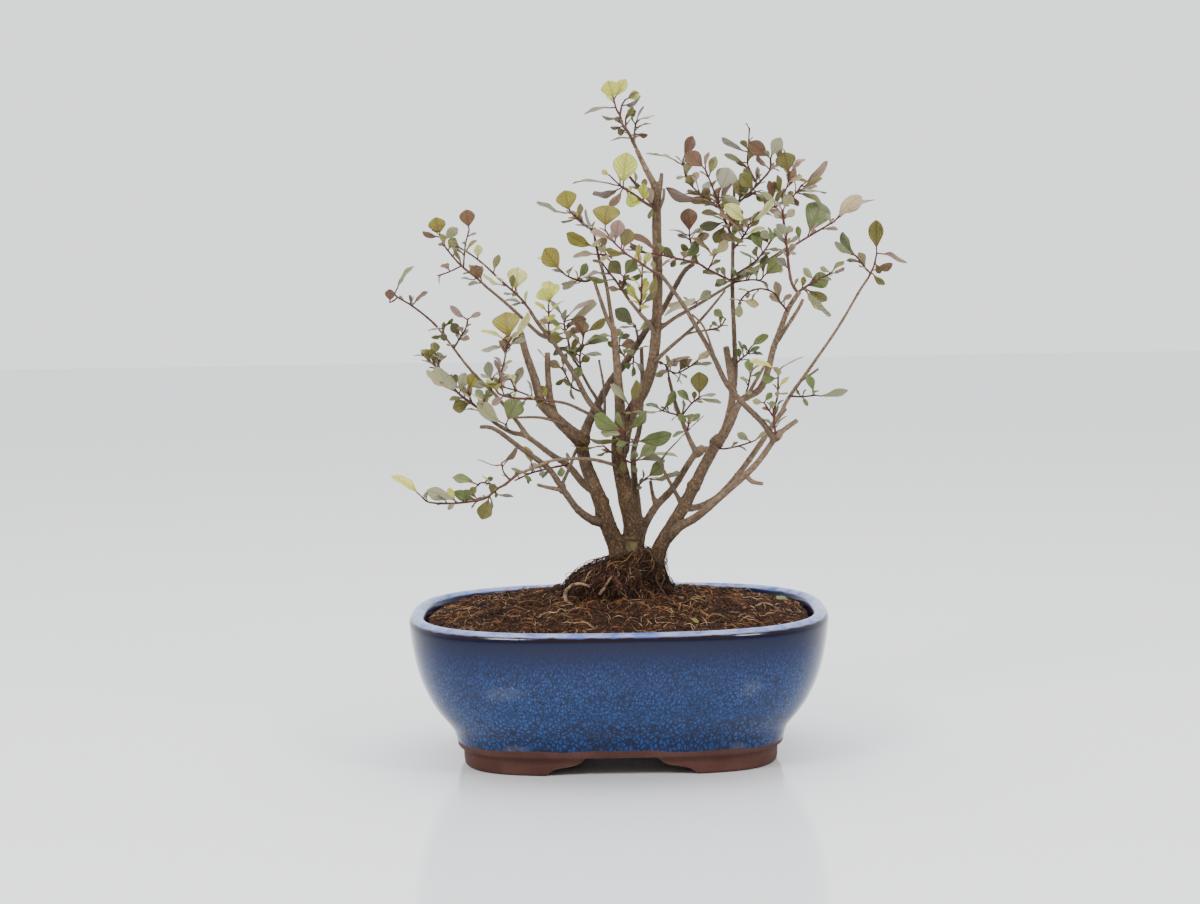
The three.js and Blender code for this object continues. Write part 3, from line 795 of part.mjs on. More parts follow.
  spray_green_right: {
    twigs: [[[[57.2, 225.6, 4.8], [65, 226.8, 0], [69.5, 226.6, -3], [71, 228.2, -4]], 1, 0.8]],
    leaves: [
      [71, 228.2, 79.6, 236.6, 7.6, 'green'], [71, 228.2, 80.2, 232.2, 4, 'sage'],
      [71, 228.2, 72.4, 238.8, 3.4, 'dark'], [63, 226.6, 63.8, 230.4, 2, 'green'],
    ],
  },
  spray_arch: {
    twigs: [
      [[[82.6, 211.6, -17.6], [79, 216, -20], [76, 220.5, -20], [70, 222.5, -19], [64, 221, -18],
        [60, 217, -17]], 1, 0.8],
    ],
    leaves: [
      [60.2, 217.2, 69, 215, 4, 'tan'], [60, 217, 59.2, 209, 4, 'sage'],
      [78.6, 216.6, 76.8, 226, 4, 'bronze'], [79.6, 215.4, 84.6, 219.6, 2.4, 'bronze'],
    ],
  },
  spray_right_green: {
    twigs: [[[[88.8, 221.5, -19.4], [96, 226, -22], [103, 229.2, -24]], 1.3, 0.8]],
    leaves: [
      [90.4, 222.6, 102.4, 227.4, 8, 'green'], [90.6, 222.6, 101.4, 216.4, 4.6, 'olive'],
      [90, 222.2, 98, 211.6, 4, 'tan'], [96, 226, 90, 232, 3, 'sage'],
      [103, 229.2, 98, 232.2, 2.5, 'sage'], [103, 229.2, 109.6, 235, 2.2, 'olive'],
      [103, 229.2, 109.4, 232, 2, 'brown'], [103, 229.2, 114.6, 229, 1.6, 'sage'],
      [91, 223, 103, 210, 1.8, 'sage'],
    ],
  },
  spray_far_right: {
    twigs: [
      [[[121, 227, 25.2], [122.5, 230, 27], [123.8, 233, 28], [125, 238.6, 29]], 1.1, 0.9],
      [[[122, 229, 26.4], [119.4, 231.6, 24], [117.5, 234.4, 22], [115, 237.5, 20]], 1, 0.8],
    ],
    leaves: [
      [125, 238.6, 124.8, 254.2, 7, 'olive'], [125, 238.4, 139.6, 233.6, 5, 'brown'],
      [122.6, 230.4, 132.6, 233.4, 4, 'brown'], [124, 234, 126.6, 228.8, 3.6, 'olive'],
      [122.2, 229.6, 128.8, 223.4, 2.4, 'olive'], [115.2, 237.3, 105, 244.2, 2.2, 'sage'],
      [116.6, 235.6, 108.4, 248.7, 3, 'green'], [118, 233.6, 110.4, 235.2, 1.8, 'green'],
    ],
  },
  spray_right_side: {
    twigs: [[[[83.6, 171.3, 16.4], [89, 170.8, 13], [95, 171.4, 10]], 1, 0.8]],
    leaves: [
      [95, 171.4, 111.2, 173.6, 3, 'sage'], [95, 171.4, 91.2, 181.4, 4, 'green'],
      [88.6, 170.8, 86.6, 174.4, 1.6, 'green'],
    ],
  },
  spray_right_riser: {
    twigs: [
      [[[76.4, 153.4, -25.2], [75.6, 160, -27], [76, 166, -28], [77.5, 172, -29], [77.8, 183.4, -30]], 1.2, 0.8],
      [[[75.7, 161, -27.2], [73, 165, -29], [71, 168.2, -30]], 0.9, 0.8],
    ],
    leaves: [
      [77.8, 183.4, 64, 188, 2.8, 'lime'], [77.8, 183.2, 90.2, 190, 1.4, 'tan'],
      [77.7, 180, 69.8, 179.4, 4.6, 'green'], [71, 168.2, 74.8, 173, 3, 'green'],
      [71, 168.2, 65.4, 169.4, 3, 'sage'], [77.5, 173, 82.6, 172.4, 1.2, 'sage'],
    ],
  },
  spray_rod_side: {
    twigs: [[[[58, 187.4, 2.4], [61, 190, -1], [63, 191.5, -3], [64.5, 194.3, -4]], 1, 0.8]],
    leaves: [
      [64.5, 194.3, 73.4, 200.4, 4.2, 'green'], [63.8, 193, 61.2, 196.4, 1.8, 'green'],
      [63, 191.6, 70.6, 191.2, 1.7, 'dark'], [61.4, 190.4, 58.8, 198, 2.2, 'green'],
    ],
  },
  spray_fork_inner: {
    twigs: [[[[62.6, 173, -11.4], [63.5, 176.4, -15], [64.5, 181.4, -18]], 1, 0.8]],
    leaves: [
      [64.5, 181.4, 63.6, 188.8, 4.6, 'green'], [64.5, 181.4, 69.2, 187.6, 2.8, 'sage'],
      [64.4, 181, 70, 183.2, 2.4, 'green'], [64, 178.6, 59.4, 180.4, 1.8, 'sage'],
    ],
  },
  spray_cross_twig: {
    twigs: [[[[50.6, 146.4, -7.2], [58, 147.5, -12], [65, 149.6, -15]], 1, 0.8]],
    leaves: [[64.6, 149.6, 58, 153.9, 3.6, 'sage'], [65, 149.6, 72.2, 155.2, 1.5, 'sage']],
  },
  spray_behind_fork: {
    twigs: [[[[5.6, 190.2, 13.6], [3, 194, 17], [1, 198.5, 20], [0.4, 200.8, 21]], 1, 0.8]],
    leaves: [
      [0.4, 200.8, -10.2, 200.4, 2.4, 'green'], [0.6, 200.4, 7.6, 201.6, 3, 'sage'],
      [2, 196.4, 9.6, 198.4, 5, 'pink'], [2.6, 194.8, -3.4, 198.4, 3.4, 'olive'],
    ],
  },
  spray_behind_low: {
    twigs: [[[[8.6, 193.2, 9.8], [9, 190.4, 6], [8.7, 188.2, 4]], 1, 0.8]],
    leaves: [
      [8.7, 188.2, 4.8, 186.2, 3.6, 'green'], [8.8, 189, 14.2, 184.4, 3, 'grey'],
      [8.7, 188.2, 8.4, 181.6, 2.2, 'olive'],
    ],
  },
};

// A leaf: an obovate blade, flat above and ridged below along its midrib, bowed a little, on a short petiole
const petioleShare = 0.15;
const leafProportion = 0.56;
const leafBow = 0.07;

function bladeShare(along) {
  return Math.sin(Math.PI * along ** 1.35) ** 0.8;
}

// A broad blade needs three stations along it, a strap-shaped one two and a blade seen edge-on one.
function leafStations(widthSeen) {
  if (widthSeen >= 6.5) {
    return [0.3, 0.62, 0.87];
  }
  return widthSeen >= 3.5 ? [0.34, 0.8] : [0.55];
}

function leafBody(root, tip, facing, width, stations, spare = 0) {
  const along = tip.clone().sub(root);
  const length = along.length();
  along.normalize();
  const aside = along.clone().cross(facing);
  const station = (share, halfWidth, ridge) => {
    const middle = root.clone()
      .addScaledVector(along, share * length)
      .addScaledVector(facing, 4 * leafBow * length * share * (1 - share) + spare);
    return [
      middle.clone().addScaledVector(aside, -halfWidth),
      middle.clone().addScaledVector(aside, halfWidth),
      middle.clone().addScaledVector(facing, -ridge - 2 * spare),
    ];
  };
  const rings = [station((spare ? 1.6 : 1) * (rootReach / length), petioleWidth / 2 + spare, petioleWidth * 0.8)];
  for (const share of stations) {
    const halfWidth = (width / 2) * bladeShare(share) + spare;
    rings.push(station(petioleShare + (1 - petioleShare) * share, halfWidth, bladeThickness));
  }
  return solid(loft(rings, tip.clone().addScaledVector(along, spare), spare ? undefined : root));
}

// Small draws that repeat on every run
let seed = 20;
function draw() {
  seed = (seed * 16807) % 2147483647;
  return seed / 2147483647;
}

// How a leaf can lie: seen to the same place from the front, it may swing nearer or further
const swings = [0, 14, -14, 28, -28, 42, -42, 56, -56];

function nearestOnTwigs(twigs, across, up) {
  let best = null;
  for (const [route] of twigs) {
    for (let step = 0; step + 1 < route.length; step += 1) {
      const [x0, z0, y0] = route[step];
      const [x1, z1, y1] = route[step + 1];
      const run = (x1 - x0) ** 2 + (z1 - z0) ** 2;
      const last = step + 2 === route.length ? Math.max(0.5, 1 - rootReach / Math.sqrt(run)) : 1;
      const share = THREE.MathUtils.clamp(((across - x0) * (x1 - x0) + (up - z0) * (z1 - z0)) / run, 0, last);
      const point = [x0 + share * (x1 - x0), z0 + share * (z1 - z0), y0 + share * (y1 - y0)];
      const distance = Math.hypot(point[0] - across, point[1] - up);
      if (!best || distance < best.distance - 1e-9) {
        best = { distance, point };
      }
    }
  }
  return best.point;
}

function leafPose(root, tipAcross, tipUp, widthSeen, swing, side) {
  const flat = Math.hypot(tipAcross - root[0], tipUp - root[1]);
  const away = root[2] + flat * Math.tan(THREE.MathUtils.degToRad(swing));
  const start = place(root);
  const tip = place([tipAcross, tipUp, away]);
  const along = tip.clone().sub(start);
  const length = along.length();
  along.normalize();
  const width = Math.max(widthSeen, leafProportion * length * (1 - petioleShare));
  const roll = side * Math.acos(Math.min(1, widthSeen / width));
  const toEye = new THREE.Vector3(0, -1, 0.1);
  const facing = toEye.addScaledVector(along, -toEye.dot(along)).normalize().applyAxisAngle(along, roll);
  return { start, tip, facing, width };
}

// Where the twig leaves the wood, it starts a hair's breadth clear of the bark.
function seatedRoute(route, thickness, sides, wood) {
  const points = route.map(place);
  const direction = points[1].clone().sub(points[0]).normalize();
  const at = (distance) => points[0].clone().addScaledVector(direction, distance);
  const touches = (distance) => {
    const stub = [at(distance), at(distance + 0.8)];
    const probe = solid(taperedTube(stub, [thickness, thickness], sides, { swell: gap }));
    return !wood.intersect(probe).isEmpty();
  };
  let start = 0;
  if (touches(0)) {
    while (touches(start)) {
      start += 0.1;
    }
  } else {
    while (start > -5 && !touches(start - 0.1)) {
      start -= 0.1;
    }
  }
  points[0] = at(start + gap);
  return points;
}

function lengthened(points, by) {
  const first = points[0].clone().sub(points[1]).setLength(by).add(points[0]);
  const last = points.at(-1).clone().sub(points.at(-2)).setLength(by).add(points.at(-1));
  return [first, ...points.slice(1, -1), last];
}

for (const limb of limbs) {
  limb[1] = straightened(limb[1], 0.6);
}
for (const { twigs } of Object.values(sprays)) {
  for (const twig of twigs) {
    twig[0] = straightened(twig[0], 0.8);
  }
}

// Build everything
const bark = new THREE.MeshStandardMaterial({ color: 0x6f5442, roughness: 0.85 });
const glaze = new THREE.MeshStandardMaterial({ color: 0x27468a, roughness: 0.22 });
const coir = new THREE.MeshStandardMaterial({ color: 0x5d3826, roughness: 0.95 });
const rootFibre = new THREE.MeshStandardMaterial({ color: 0x2b211b, roughness: 0.95 });

const group = new THREE.Group();

function add(name, body, material) {
  const mesh = new THREE.Mesh(geometryOf(body), material);
  mesh.name = name;
  group.add(mesh);
}

const wood = joined(limbs.map(([, route, diameters, sides]) => solid(taperedTube(route.map(place), diameters, sides))));
const buriedFeet = joined(limbs
  .filter(([, route]) => route[0][1] < 100)
  .map(([, route, diameters, sides]) => {
    const longer = lengthened(route.map(place), gap + 0.1);
    return solid(taperedTube(longer, diameters, sides, { swell: gap + 0.2 }));
  }));

add('pot', makePot(), glaze);
add('soil', makeSoil().subtract(rootBallLoft(gap)), coir);
add('root_ball', rootBallLoft(0).subtract(buriedFeet), rootFibre);
add('wood', wood, bark);

// Every twig is laid first. Then the leaves take their places one by one, clear of all that is there.
const laidTwigs = Object.values(sprays).map(({ twigs }) => joined(twigs.map(([route, thick, thin], order) => {
  const sides = thick > 1.35 ? 4 : 3;
  if (order === 0) {
    return solid(taperedTube(seatedRoute(route, thick, sides, wood), [thick, thin], sides));
  }
  route[0] = nearestOnTwigs(twigs.slice(0, order), route[0][0], route[0][1]);
  const points = route.map(place);
  const heel = points[0].clone();
  points[0].lerp(points[1], rootReach / points[0].distanceTo(points[1]));
  return solid(taperedTube(points, [thick, thin], sides, { heel }));
})));

function boxOf(body) {
  const { min, max } = body.boundingBox();
  return new THREE.Box3(new THREE.Vector3(...min), new THREE.Vector3(...max));
}

const placed = laidTwigs.map((body, owner) => ({ body, owner, box: boxOf(body) }));
placed.push({ body: wood, owner: -1, box: boxOf(wood) });

function isClear(body, owner) {
  const box = boxOf(body);
  return placed.every((other) => other.owner === owner && !other.leaf
    || !other.box.intersectsBox(box)
    || other.body.intersect(body).isEmpty());
}

Object.entries(sprays).forEach(([name, { twigs, leaves }], owner) => {
  const parts = [laidTwigs[owner]];
  for (const [across, up, tipAcross, tipUp, widthSeen] of leaves) {
    const lean = 44 * draw() - 22;
    const side = draw() < 0.5 ? -1 : 1;
    const root = nearestOnTwigs(twigs, across, up);
    for (const swing of swings) {
      const pose = leafPose(root, tipAcross, tipUp, widthSeen, lean + swing, side);
      const stations = leafStations(widthSeen);
      const roomy = leafBody(pose.start, pose.tip, pose.facing, pose.width, stations, gap);
      if (isClear(roomy, owner)) {
        const leaf = leafBody(pose.start, pose.tip, pose.facing, pose.width, stations);
        placed.push({ body: leaf, owner, leaf: true, box: boxOf(leaf) });
        parts.push(leaf);
        break;
      }
    }
  }
  const tone = leaves[0][5];
  const leafGreen = new THREE.MeshStandardMaterial({ color: tones[tone], roughness: 0.5 });
  add(name, joined(parts), leafGreen);
});

// The origin is under the middle of the whole plant, on the surface that the pot stands on.
const bounds = new THREE.Box3().setFromObject(group);
const middle = bounds.getCenter(new THREE.Vector3());
group.position.set(-middle.x, -middle.y, 0);
group.updateMatrixWorld(true);

export default group;
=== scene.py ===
import math
import random

import bmesh
import bpy
import numpy as np
from mathutils import Matrix, Vector, bvhtree, kdtree, noise


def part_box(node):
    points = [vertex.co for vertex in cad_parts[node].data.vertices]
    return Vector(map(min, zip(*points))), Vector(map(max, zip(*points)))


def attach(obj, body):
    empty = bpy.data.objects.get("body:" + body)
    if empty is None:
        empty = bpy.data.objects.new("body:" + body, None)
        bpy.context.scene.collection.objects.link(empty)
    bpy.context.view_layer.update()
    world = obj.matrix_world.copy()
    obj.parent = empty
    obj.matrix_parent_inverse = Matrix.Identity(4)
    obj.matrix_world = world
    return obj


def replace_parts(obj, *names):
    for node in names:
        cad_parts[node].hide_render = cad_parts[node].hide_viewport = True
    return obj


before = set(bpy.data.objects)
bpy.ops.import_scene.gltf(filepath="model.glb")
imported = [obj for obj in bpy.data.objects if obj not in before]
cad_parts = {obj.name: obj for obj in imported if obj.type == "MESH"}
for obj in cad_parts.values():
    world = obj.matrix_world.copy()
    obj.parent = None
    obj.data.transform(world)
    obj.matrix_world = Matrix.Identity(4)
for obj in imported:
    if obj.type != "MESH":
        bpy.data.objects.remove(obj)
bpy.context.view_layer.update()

# Pot. The real one is an oblong stoneware bonsai pot with a thick rolled lip. It is pressed in a mould,
# dipped in a blue reactive glaze that breaks into light flecks, and left bare on the red-brown foot ring,
# where the bracket feet are cut out of the clay.
MM = 0.001
pot_low, pot_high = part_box("pot")
pot_middle = (pot_low + pot_high) / 2
pot_height = pot_high.z / MM
rim_half_length = (pot_high.x - pot_low.x) / 2 / MM
depth_inset = rim_half_length - (pot_high.y - pot_low.y) / 2 / MM
lip_width = 7.5
recess_top = 9.0
floor_top = 15.0
pot_sides = 176
drain_radius = 5.0
drain_spacing = 34.0
drain_sides = 32
foot_roundness = 3.6
rounder_at_rim = 0.83
burnt_line = (0.0672, 0.0684)
milky_line = (0.0690, 0.0699)
glaze_edge = (0.0118, 0.0124)
lip_waver = 0.0009
glaze_edge_waver = 0.0016
darker_foot_height = 0.0016
fleck_scales = (520.0, 860.0)
pot_outside = [
    (73.6, 0.0), (74.6, 0.4), (75.0, 1.4), (75.2, 4.0), (75.3, 7.6), (75.9, 8.5), (77.3, 8.9), (78.0, 9.7),
    (78.3, 11.6), (79.0, 14.0), (80.3, 17.3), (83.0, 21.0), (86.8, 25.7), (90.2, 31.0), (93.0, 36.6),
    (95.0, 41.5), (96.4, 46.0), (97.8, 52.0), (98.9, 58.0), (99.6, 63.0), (rim_half_length, 66.4),
    (rim_half_length - 0.1, 68.3), (rim_half_length - 0.9, 69.7), (rim_half_length - 2.2, 70.6),
    (rim_half_length - 3.8, pot_height),
]
pot_inside = [
    (rim_half_length - 5.4, 70.7), (rim_half_length - 6.6, 69.9), (rim_half_length - lip_width, 68.4),
    (91.9, 64.0), (91.0, 58.0), (89.0, 46.0), (83.0, 31.0), (72.0, floor_top),
]
recess = [(0.5, recess_top), (63.0, recess_top), (64.0, recess_top - 1.0), (64.0, 1.0), (65.0, 0.0)]
bracket_shoulder = [
    (36.2, -1.0), (35.3, 0.0), (33.4, 2.0), (30.4, 3.4), (25.0, 4.4), (20.8, 5.4), (18.2, 7.0),
    (16.6, recess_top + 0.05),
]
past_pot_side = 80.0
drain_cut_ends = (5.0, 20.0)
pot_sharp_angle = 38


def oblong(half_length, height, sides):
    """A level ring of the pot's rounded oblong, squarer at the foot than at the rim."""
    roundness = foot_roundness - rounder_at_rim * min(max(height / pot_height, 0.0), 1.0)
    half_depth = max(half_length - depth_inset, half_length * 0.6)
    points = []
    for side in range(sides):
        turn = 2 * math.pi * side / sides
        x = half_length * math.copysign(abs(math.cos(turn)) ** (2 / roundness), math.cos(turn))
        y = half_depth * math.copysign(abs(math.sin(turn)) ** (2 / roundness), math.sin(turn))
        points.append(Vector((x, y, height)))
    return points


def skin(rings, first=0):
    """Faces of a closed body through equal rings that turn right-handed about its length."""
    count = len(rings[0])
    faces = []
    for row in range(len(rings) - 1):
        for side in range(count):
            low = first + row * count + side
            low_next = first + row * count + (side + 1) % count
            faces.append((low, low_next, low_next + count, low + count))
    last = first + (len(rings) - 1) * count
    faces.append(tuple(first + side for side in reversed(range(count))))
    faces.append(tuple(last + side for side in range(count)))
    return faces


def in_place(points):
    """Millimetres from the pot's middle to metres in the frame."""
    return [(point.x * MM + pot_middle.x, point.y * MM + pot_middle.y, point.z * MM) for point in points]


def new_piece(name, points, faces, finishes, smooth=True):
    mesh = bpy.data.meshes.new(name)
    mesh.from_pydata(in_place(points), [], faces)
    mesh.validate()
    piece = bpy.data.objects.new(name, mesh)
    bpy.context.scene.collection.objects.link(piece)
    for finish in finishes:
        mesh.materials.append(finish)
    if smooth:
        mesh.shade_smooth()
    return piece


def clean_faces(mesh):
    """Turns every closed shell's faces outwards."""
    shell = bmesh.new()
    shell.from_mesh(mesh)
    bmesh.ops.recalc_face_normals(shell, faces=shell.faces)
    shell.to_mesh(mesh)
    shell.free()


def settle(piece):
    """Turns the piece's modifiers into plain mesh."""
    bpy.context.view_layer.update()
    depsgraph = bpy.context.evaluated_depsgraph_get()
    finished = bpy.data.meshes.new_from_object(piece.evaluated_get(depsgraph))
    piece.modifiers.clear()
    piece.data = finished


def colour(code, gain=0.6, strength=1.12):
    """A colour as it is seen, written rrggbb, as the linear values of a surface in the studio's light."""
    values = [int(code[start:start + 2], 16) / 255 for start in (0, 2, 4)]
    linear = [v / 12.92 if v <= 0.04045 else ((v + 0.055) / 1.055) ** 2.4 for v in values]
    grey = sum(linear) / 3
    return (*[max(0.0, gain * (grey + (value - grey) * strength)) for value in linear], 1.0)


def add_node(tree, kind, inputs=None, **settings):
    node = tree.nodes.new(kind)
    for key, value in settings.items():
        setattr(node, key, value)
    for key, value in (inputs or {}).items():
        if isinstance(value, bpy.types.NodeSocket):
            tree.links.new(value, node.inputs[key])
        else:
            node.inputs[key].default_value = value
    return node


def noise_in(tree, spot, scale, detail=2.0, output="Fac"):
    """A noise pattern with the given number of lumps to the metre."""
    texture = add_node(tree, "ShaderNodeTexNoise", {"Vector": spot, "Scale": scale, "Detail": detail})
    return texture.outputs[output]


def attribute_of(tree, name, output="Fac"):
    return add_node(tree, "ShaderNodeAttribute", attribute_name=name).outputs[output]


def place_on(tree):
    """The spot on the piece, in metres."""
    return add_node(tree, "ShaderNodeTexCoord").outputs["Object"]


def part_of(tree, vector, axis):
    return add_node(tree, "ShaderNodeSeparateXYZ", {"Vector": vector}).outputs[axis]


def vector_math(tree, operation, first, second=None, scale=None):
    inputs = {key: value for key, value in ((0, first), (1, second), ("Scale", scale)) if value is not None}
    return add_node(tree, "ShaderNodeVectorMath", inputs, operation=operation).outputs[0]


def new_finish(name, roughness=0.5, shine=0.5):
    finish = bpy.data.materials.new(name)
    finish.use_nodes = True
    tree = finish.node_tree
    shader = tree.nodes["Principled BSDF"]
    shader.inputs["Roughness"].default_value = roughness
    shader.inputs["Specular IOR Level"].default_value = shine
    return finish, tree, shader


def blended(tree, share, first, second, mode="MIX"):
    inputs = {0: share, 6: first, 7: second}
    return add_node(tree, "ShaderNodeMix", inputs, data_type="RGBA", blend_type=mode).outputs[2]


def ranged(tree, value, low, high, start=0.0, end=1.0, kind="SMOOTHSTEP"):
    node = add_node(tree, "ShaderNodeMapRange", {
        "Value": value, "From Min": low, "From Max": high, "To Min": start, "To Max": end,
    }, interpolation_type=kind)
    return node.outputs["Result"]


def number_math(tree, operation, first, second=0.0):
    return add_node(tree, "ShaderNodeMath", {0: first, 1: second}, operation=operation).outputs[0]


def sum_of(tree, first, second):
    return number_math(tree, "ADD", first, second)


def product_of(tree, first, second):
    return number_math(tree, "MULTIPLY", first, second)


def graded(tree, share, stops, plain=False):
    node = add_node(tree, "ShaderNodeValToRGB", {"Fac": share})
    band = node.color_ramp
    while len(band.elements) < len(stops):
        band.elements.new(0.5)
    for element, (position, code) in zip(band.elements, stops):
        element.position = position
        element.color = colour(code, 1.0, 1.0) if plain else colour(code)
    return node.outputs["Color"]


def bumped(tree, shader, height, distance, strength=1.0):
    node = add_node(tree, "ShaderNodeBump", {"Height": height, "Distance": distance, "Strength": strength})
    tree.links.new(node.outputs["Normal"], shader.inputs["Normal"])


def make_glaze(name, inside=False):
    """Blue glaze: a burnt line and a milky lip at the top, bare clay at the foot."""
    finish, tree, shader = new_finish(name, shine=0.32)
    spot = place_on(tree)
    height = part_of(tree, spot, "Z")
    level = ranged(tree, height, 0.0, pot_height * MM, kind="LINEAR")

    warp = noise_in(tree, spot, 420.0, 2.0, "Color")
    warped = vector_math(tree, "ADD", spot, vector_math(tree, "MULTIPLY", warp, (0.0013,) * 3))
    stretched = add_node(tree, "ShaderNodeMapping", {"Vector": warped, "Scale": (1.0, 1.0, 0.5)}).outputs[0]
    flecks = []
    for scale in fleck_scales:
        cells = add_node(tree, "ShaderNodeTexVoronoi", {"Vector": stretched, "Scale": scale},
                         feature="DISTANCE_TO_EDGE")
        flecks.append(ranged(tree, cells.outputs["Distance"], 0.03, 0.24))
    cloud = noise_in(tree, spot, 55.0, 3.0)
    fine = noise_in(tree, stretched, 950.0)
    finer = ranged(tree, level, 0.32, 0.52)
    fleck = add_node(tree, "ShaderNodeMix", {0: finer, 2: flecks[0], 3: flecks[1]}).outputs[0]
    strength = graded(tree, level, [
        (0.0, "ffffff"), (0.3, "ffffff"), (0.55, "f2f2f2"),
        (0.74, "dcdcdc"), (0.85, "8a8a8a"), (0.92, "202020"),
    ], plain=True)
    patchy = ranged(tree, cloud, 0.25, 0.7, 0.7, 1.1)
    sprinkled = ranged(tree, fine, 0.34, 0.6, 0.35, 1.0)
    fleck_share = product_of(tree, product_of(tree, fleck, strength), patchy)
    fleck_share = product_of(tree, fleck_share, sprinkled)
    deep = graded(tree, level, [
        (0.1, "0a1430"), (0.2, "0c193c"), (0.42, "122146"),
        (0.66, "14264e"), (0.82, "0c1c4a"), (0.92, "09153a"),
    ])
    light = graded(tree, level, [
        (0.1, "1a366e"), (0.2, "2f569c"), (0.42, "3f6ab2"),
        (0.66, "3f64a8"), (0.82, "2a4c90"), (0.95, "182c5c"),
    ])
    glazed = blended(tree, fleck_share, deep, light)

    lip_wave = noise_in(tree, spot, 130.0, 3.0)
    lip_level = sum_of(tree, height, ranged(tree, lip_wave, 0.0, 1.0, -lip_waver, lip_waver, "LINEAR"))
    burnt = ranged(tree, lip_level, *burnt_line)
    if not inside:
        glazed = blended(tree, product_of(tree, burnt, 0.9), glazed, colour("2b1a18"))
    milky = blended(tree, ranged(tree, lip_wave, 0.35, 0.7), colour("a2add8", 0.75), colour("5f71b4", 0.75))
    glazed = blended(tree, ranged(tree, lip_level, *milky_line), glazed, milky)

    waver = ranged(tree, noise_in(tree, spot, 26.0), 0.2, 0.8, -glaze_edge_waver, glaze_edge_waver, "LINEAR")
    covered = ranged(tree, sum_of(tree, height, waver), *glaze_edge)
    clay_grain = noise_in(tree, spot, 700.0, 5.0)
    clay_cloud = noise_in(tree, spot, 60.0)
    clay = blended(tree, ranged(tree, clay_cloud, 0.3, 0.7), colour("5a362c"), colour("6b463b"))
    clay = blended(tree, ranged(tree, clay_grain, 0.56, 0.7, 0.0, 0.5), clay, colour("4e2d26"))
    # The bare clay is darker towards the bottom edge of the foot.
    darker_foot = ranged(tree, height, 0.0, darker_foot_height, 0.45, 0.0)
    clay = blended(tree, darker_foot, clay, colour("3a2622"))
    tree.links.new(blended(tree, covered, clay, glazed), shader.inputs["Base Color"])
    gloss = ranged(tree, fleck, 0.0, 1.0, 0.07, 0.13, "LINEAR")
    roughness = sum_of(tree, ranged(tree, covered, 0.0, 1.0, 0.55, 0.0, "LINEAR"), gloss)
    tree.links.new(roughness, shader.inputs["Roughness"])
    swell = noise_in(tree, spot, 90.0)
    relief = sum_of(tree, product_of(tree, fleck, 0.06), swell)
    bumped(tree, shader, relief, 0.0005, 0.25)
    return finish


def eased(points, steps):
    """A smooth line through a list of points, with the given number of steps in each span."""
    spots = [Vector(point) for point in points]
    line = []
    for index in range(len(spots) - 1):
        before = spots[max(index - 1, 0)]
        start, end = spots[index], spots[index + 1]
        after = spots[min(index + 2, len(spots) - 1)]
        for step in range(steps):
            t = step / steps
            line.append(0.5 * (
                2 * start + (end - before) * t + (2 * before - 5 * start + 4 * end - after) * t * t
                + (3 * start - before - 3 * end + after) * t ** 3
            ))
    line.append(spots[-1])
    return line


def make_pot():
    """The pot's closed shell, with its bracket cut and its two drain holes taken out of it."""
    profile = recess + [tuple(spot) for spot in eased(pot_outside, 2)] + pot_inside + [(0.5, floor_top)]
    rings = [oblong(half_length, height, pot_sides) for half_length, height in profile]
    points = [point for ring in rings for point in ring]
    glaze = make_glaze("blue_reactive_glaze")
    pot = new_piece("glazed_pot", points, skin(rings), [glaze, make_glaze("inner_glaze", inside=True)])
    inner_row = len(profile) - len(pot_inside)
    for face in pot.data.polygons:
        if face.index // pot_sides >= inner_row:
            face.material_index = 1

    # The bracket feet are one cut from front to back, with a curved shoulder on each side.
    shoulder = eased(bracket_shoulder, 3)
    outline = [(x, z) for x, z in shoulder] + [(-x, z) for x, z in reversed(shoulder)]
    front = [Vector((x, -past_pot_side, z)) for x, z in outline]
    back = [Vector((x, past_pot_side, z)) for x, z in outline]
    cutters = [new_piece("bracket_cut", front + back, skin([front, back]), [glaze], smooth=False)]
    for x in (-drain_spacing, drain_spacing):
        low, high = [
            [Vector((x + drain_radius * math.cos(a), drain_radius * math.sin(a), z))
             for a in (2 * math.pi * side / drain_sides for side in range(drain_sides))]
            for z in drain_cut_ends
        ]
        cutters.append(new_piece("drain_cut", low + high, skin([low, high]), [glaze], smooth=False))
    clean_faces(pot.data)
    for cutter in cutters:
        clean_faces(cutter.data)
        cut = pot.modifiers.new("cut", "BOOLEAN")
        cut.operation = "DIFFERENCE"
        cut.solver = "EXACT"
        cut.object = cutter
    settle(pot)
    for cutter in cutters:
        bpy.data.objects.remove(cutter)
    pot.data.set_sharp_from_angle(angle=math.radians(pot_sharp_angle))
    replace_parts(pot, "pot")
    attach(pot, "root")


make_pot()

# Soil. Coir potting compost: red-brown shredded coconut husk, pressed in by hand round the root ball.
# It lies in a low dome that stops a little below the lip, with loose fibres and crumbs on top.
soil_edge_height = 69.0
soil_dome = 9.5
soil_half_length = 94.0
soil_half_depth = 69.0
soil_wall = [(71.3, 15.6), (82.4, 31.0), (88.4, 46.0), (90.5, 58.0), (91.2, 63.6)]
soil_top_rings = 92
soil_sink = 2.6
soil_sides = 264
rows_to_full_lumps = 5
kept_above_ground = 0.15
least_rise_on_soil = 0.35
lowest_on_soil = 0.0638


def soil_height(x, y):
    """The height of the soil's dome, with its low swells, in millimetres."""
    reach = min(1.0, math.hypot(x / soil_half_length, y / soil_half_depth))
    ripple = 0.7 * math.sin(0.21 * x + 1) * math.cos(0.27 * y) + 0.5 * math.sin(0.09 * x - 0.31 * y)
    return soil_edge_height + soil_dome * (1 - reach * reach) ** 1.3 + ripple * (1 - reach ** 4)


def rough(spot, size, octaves=3):
    """Noise of about -1 to 1 whose lumps are the given size in millimetres."""
    return noise.fractal(Vector(spot) / size, 1.0, 2.1, octaves)


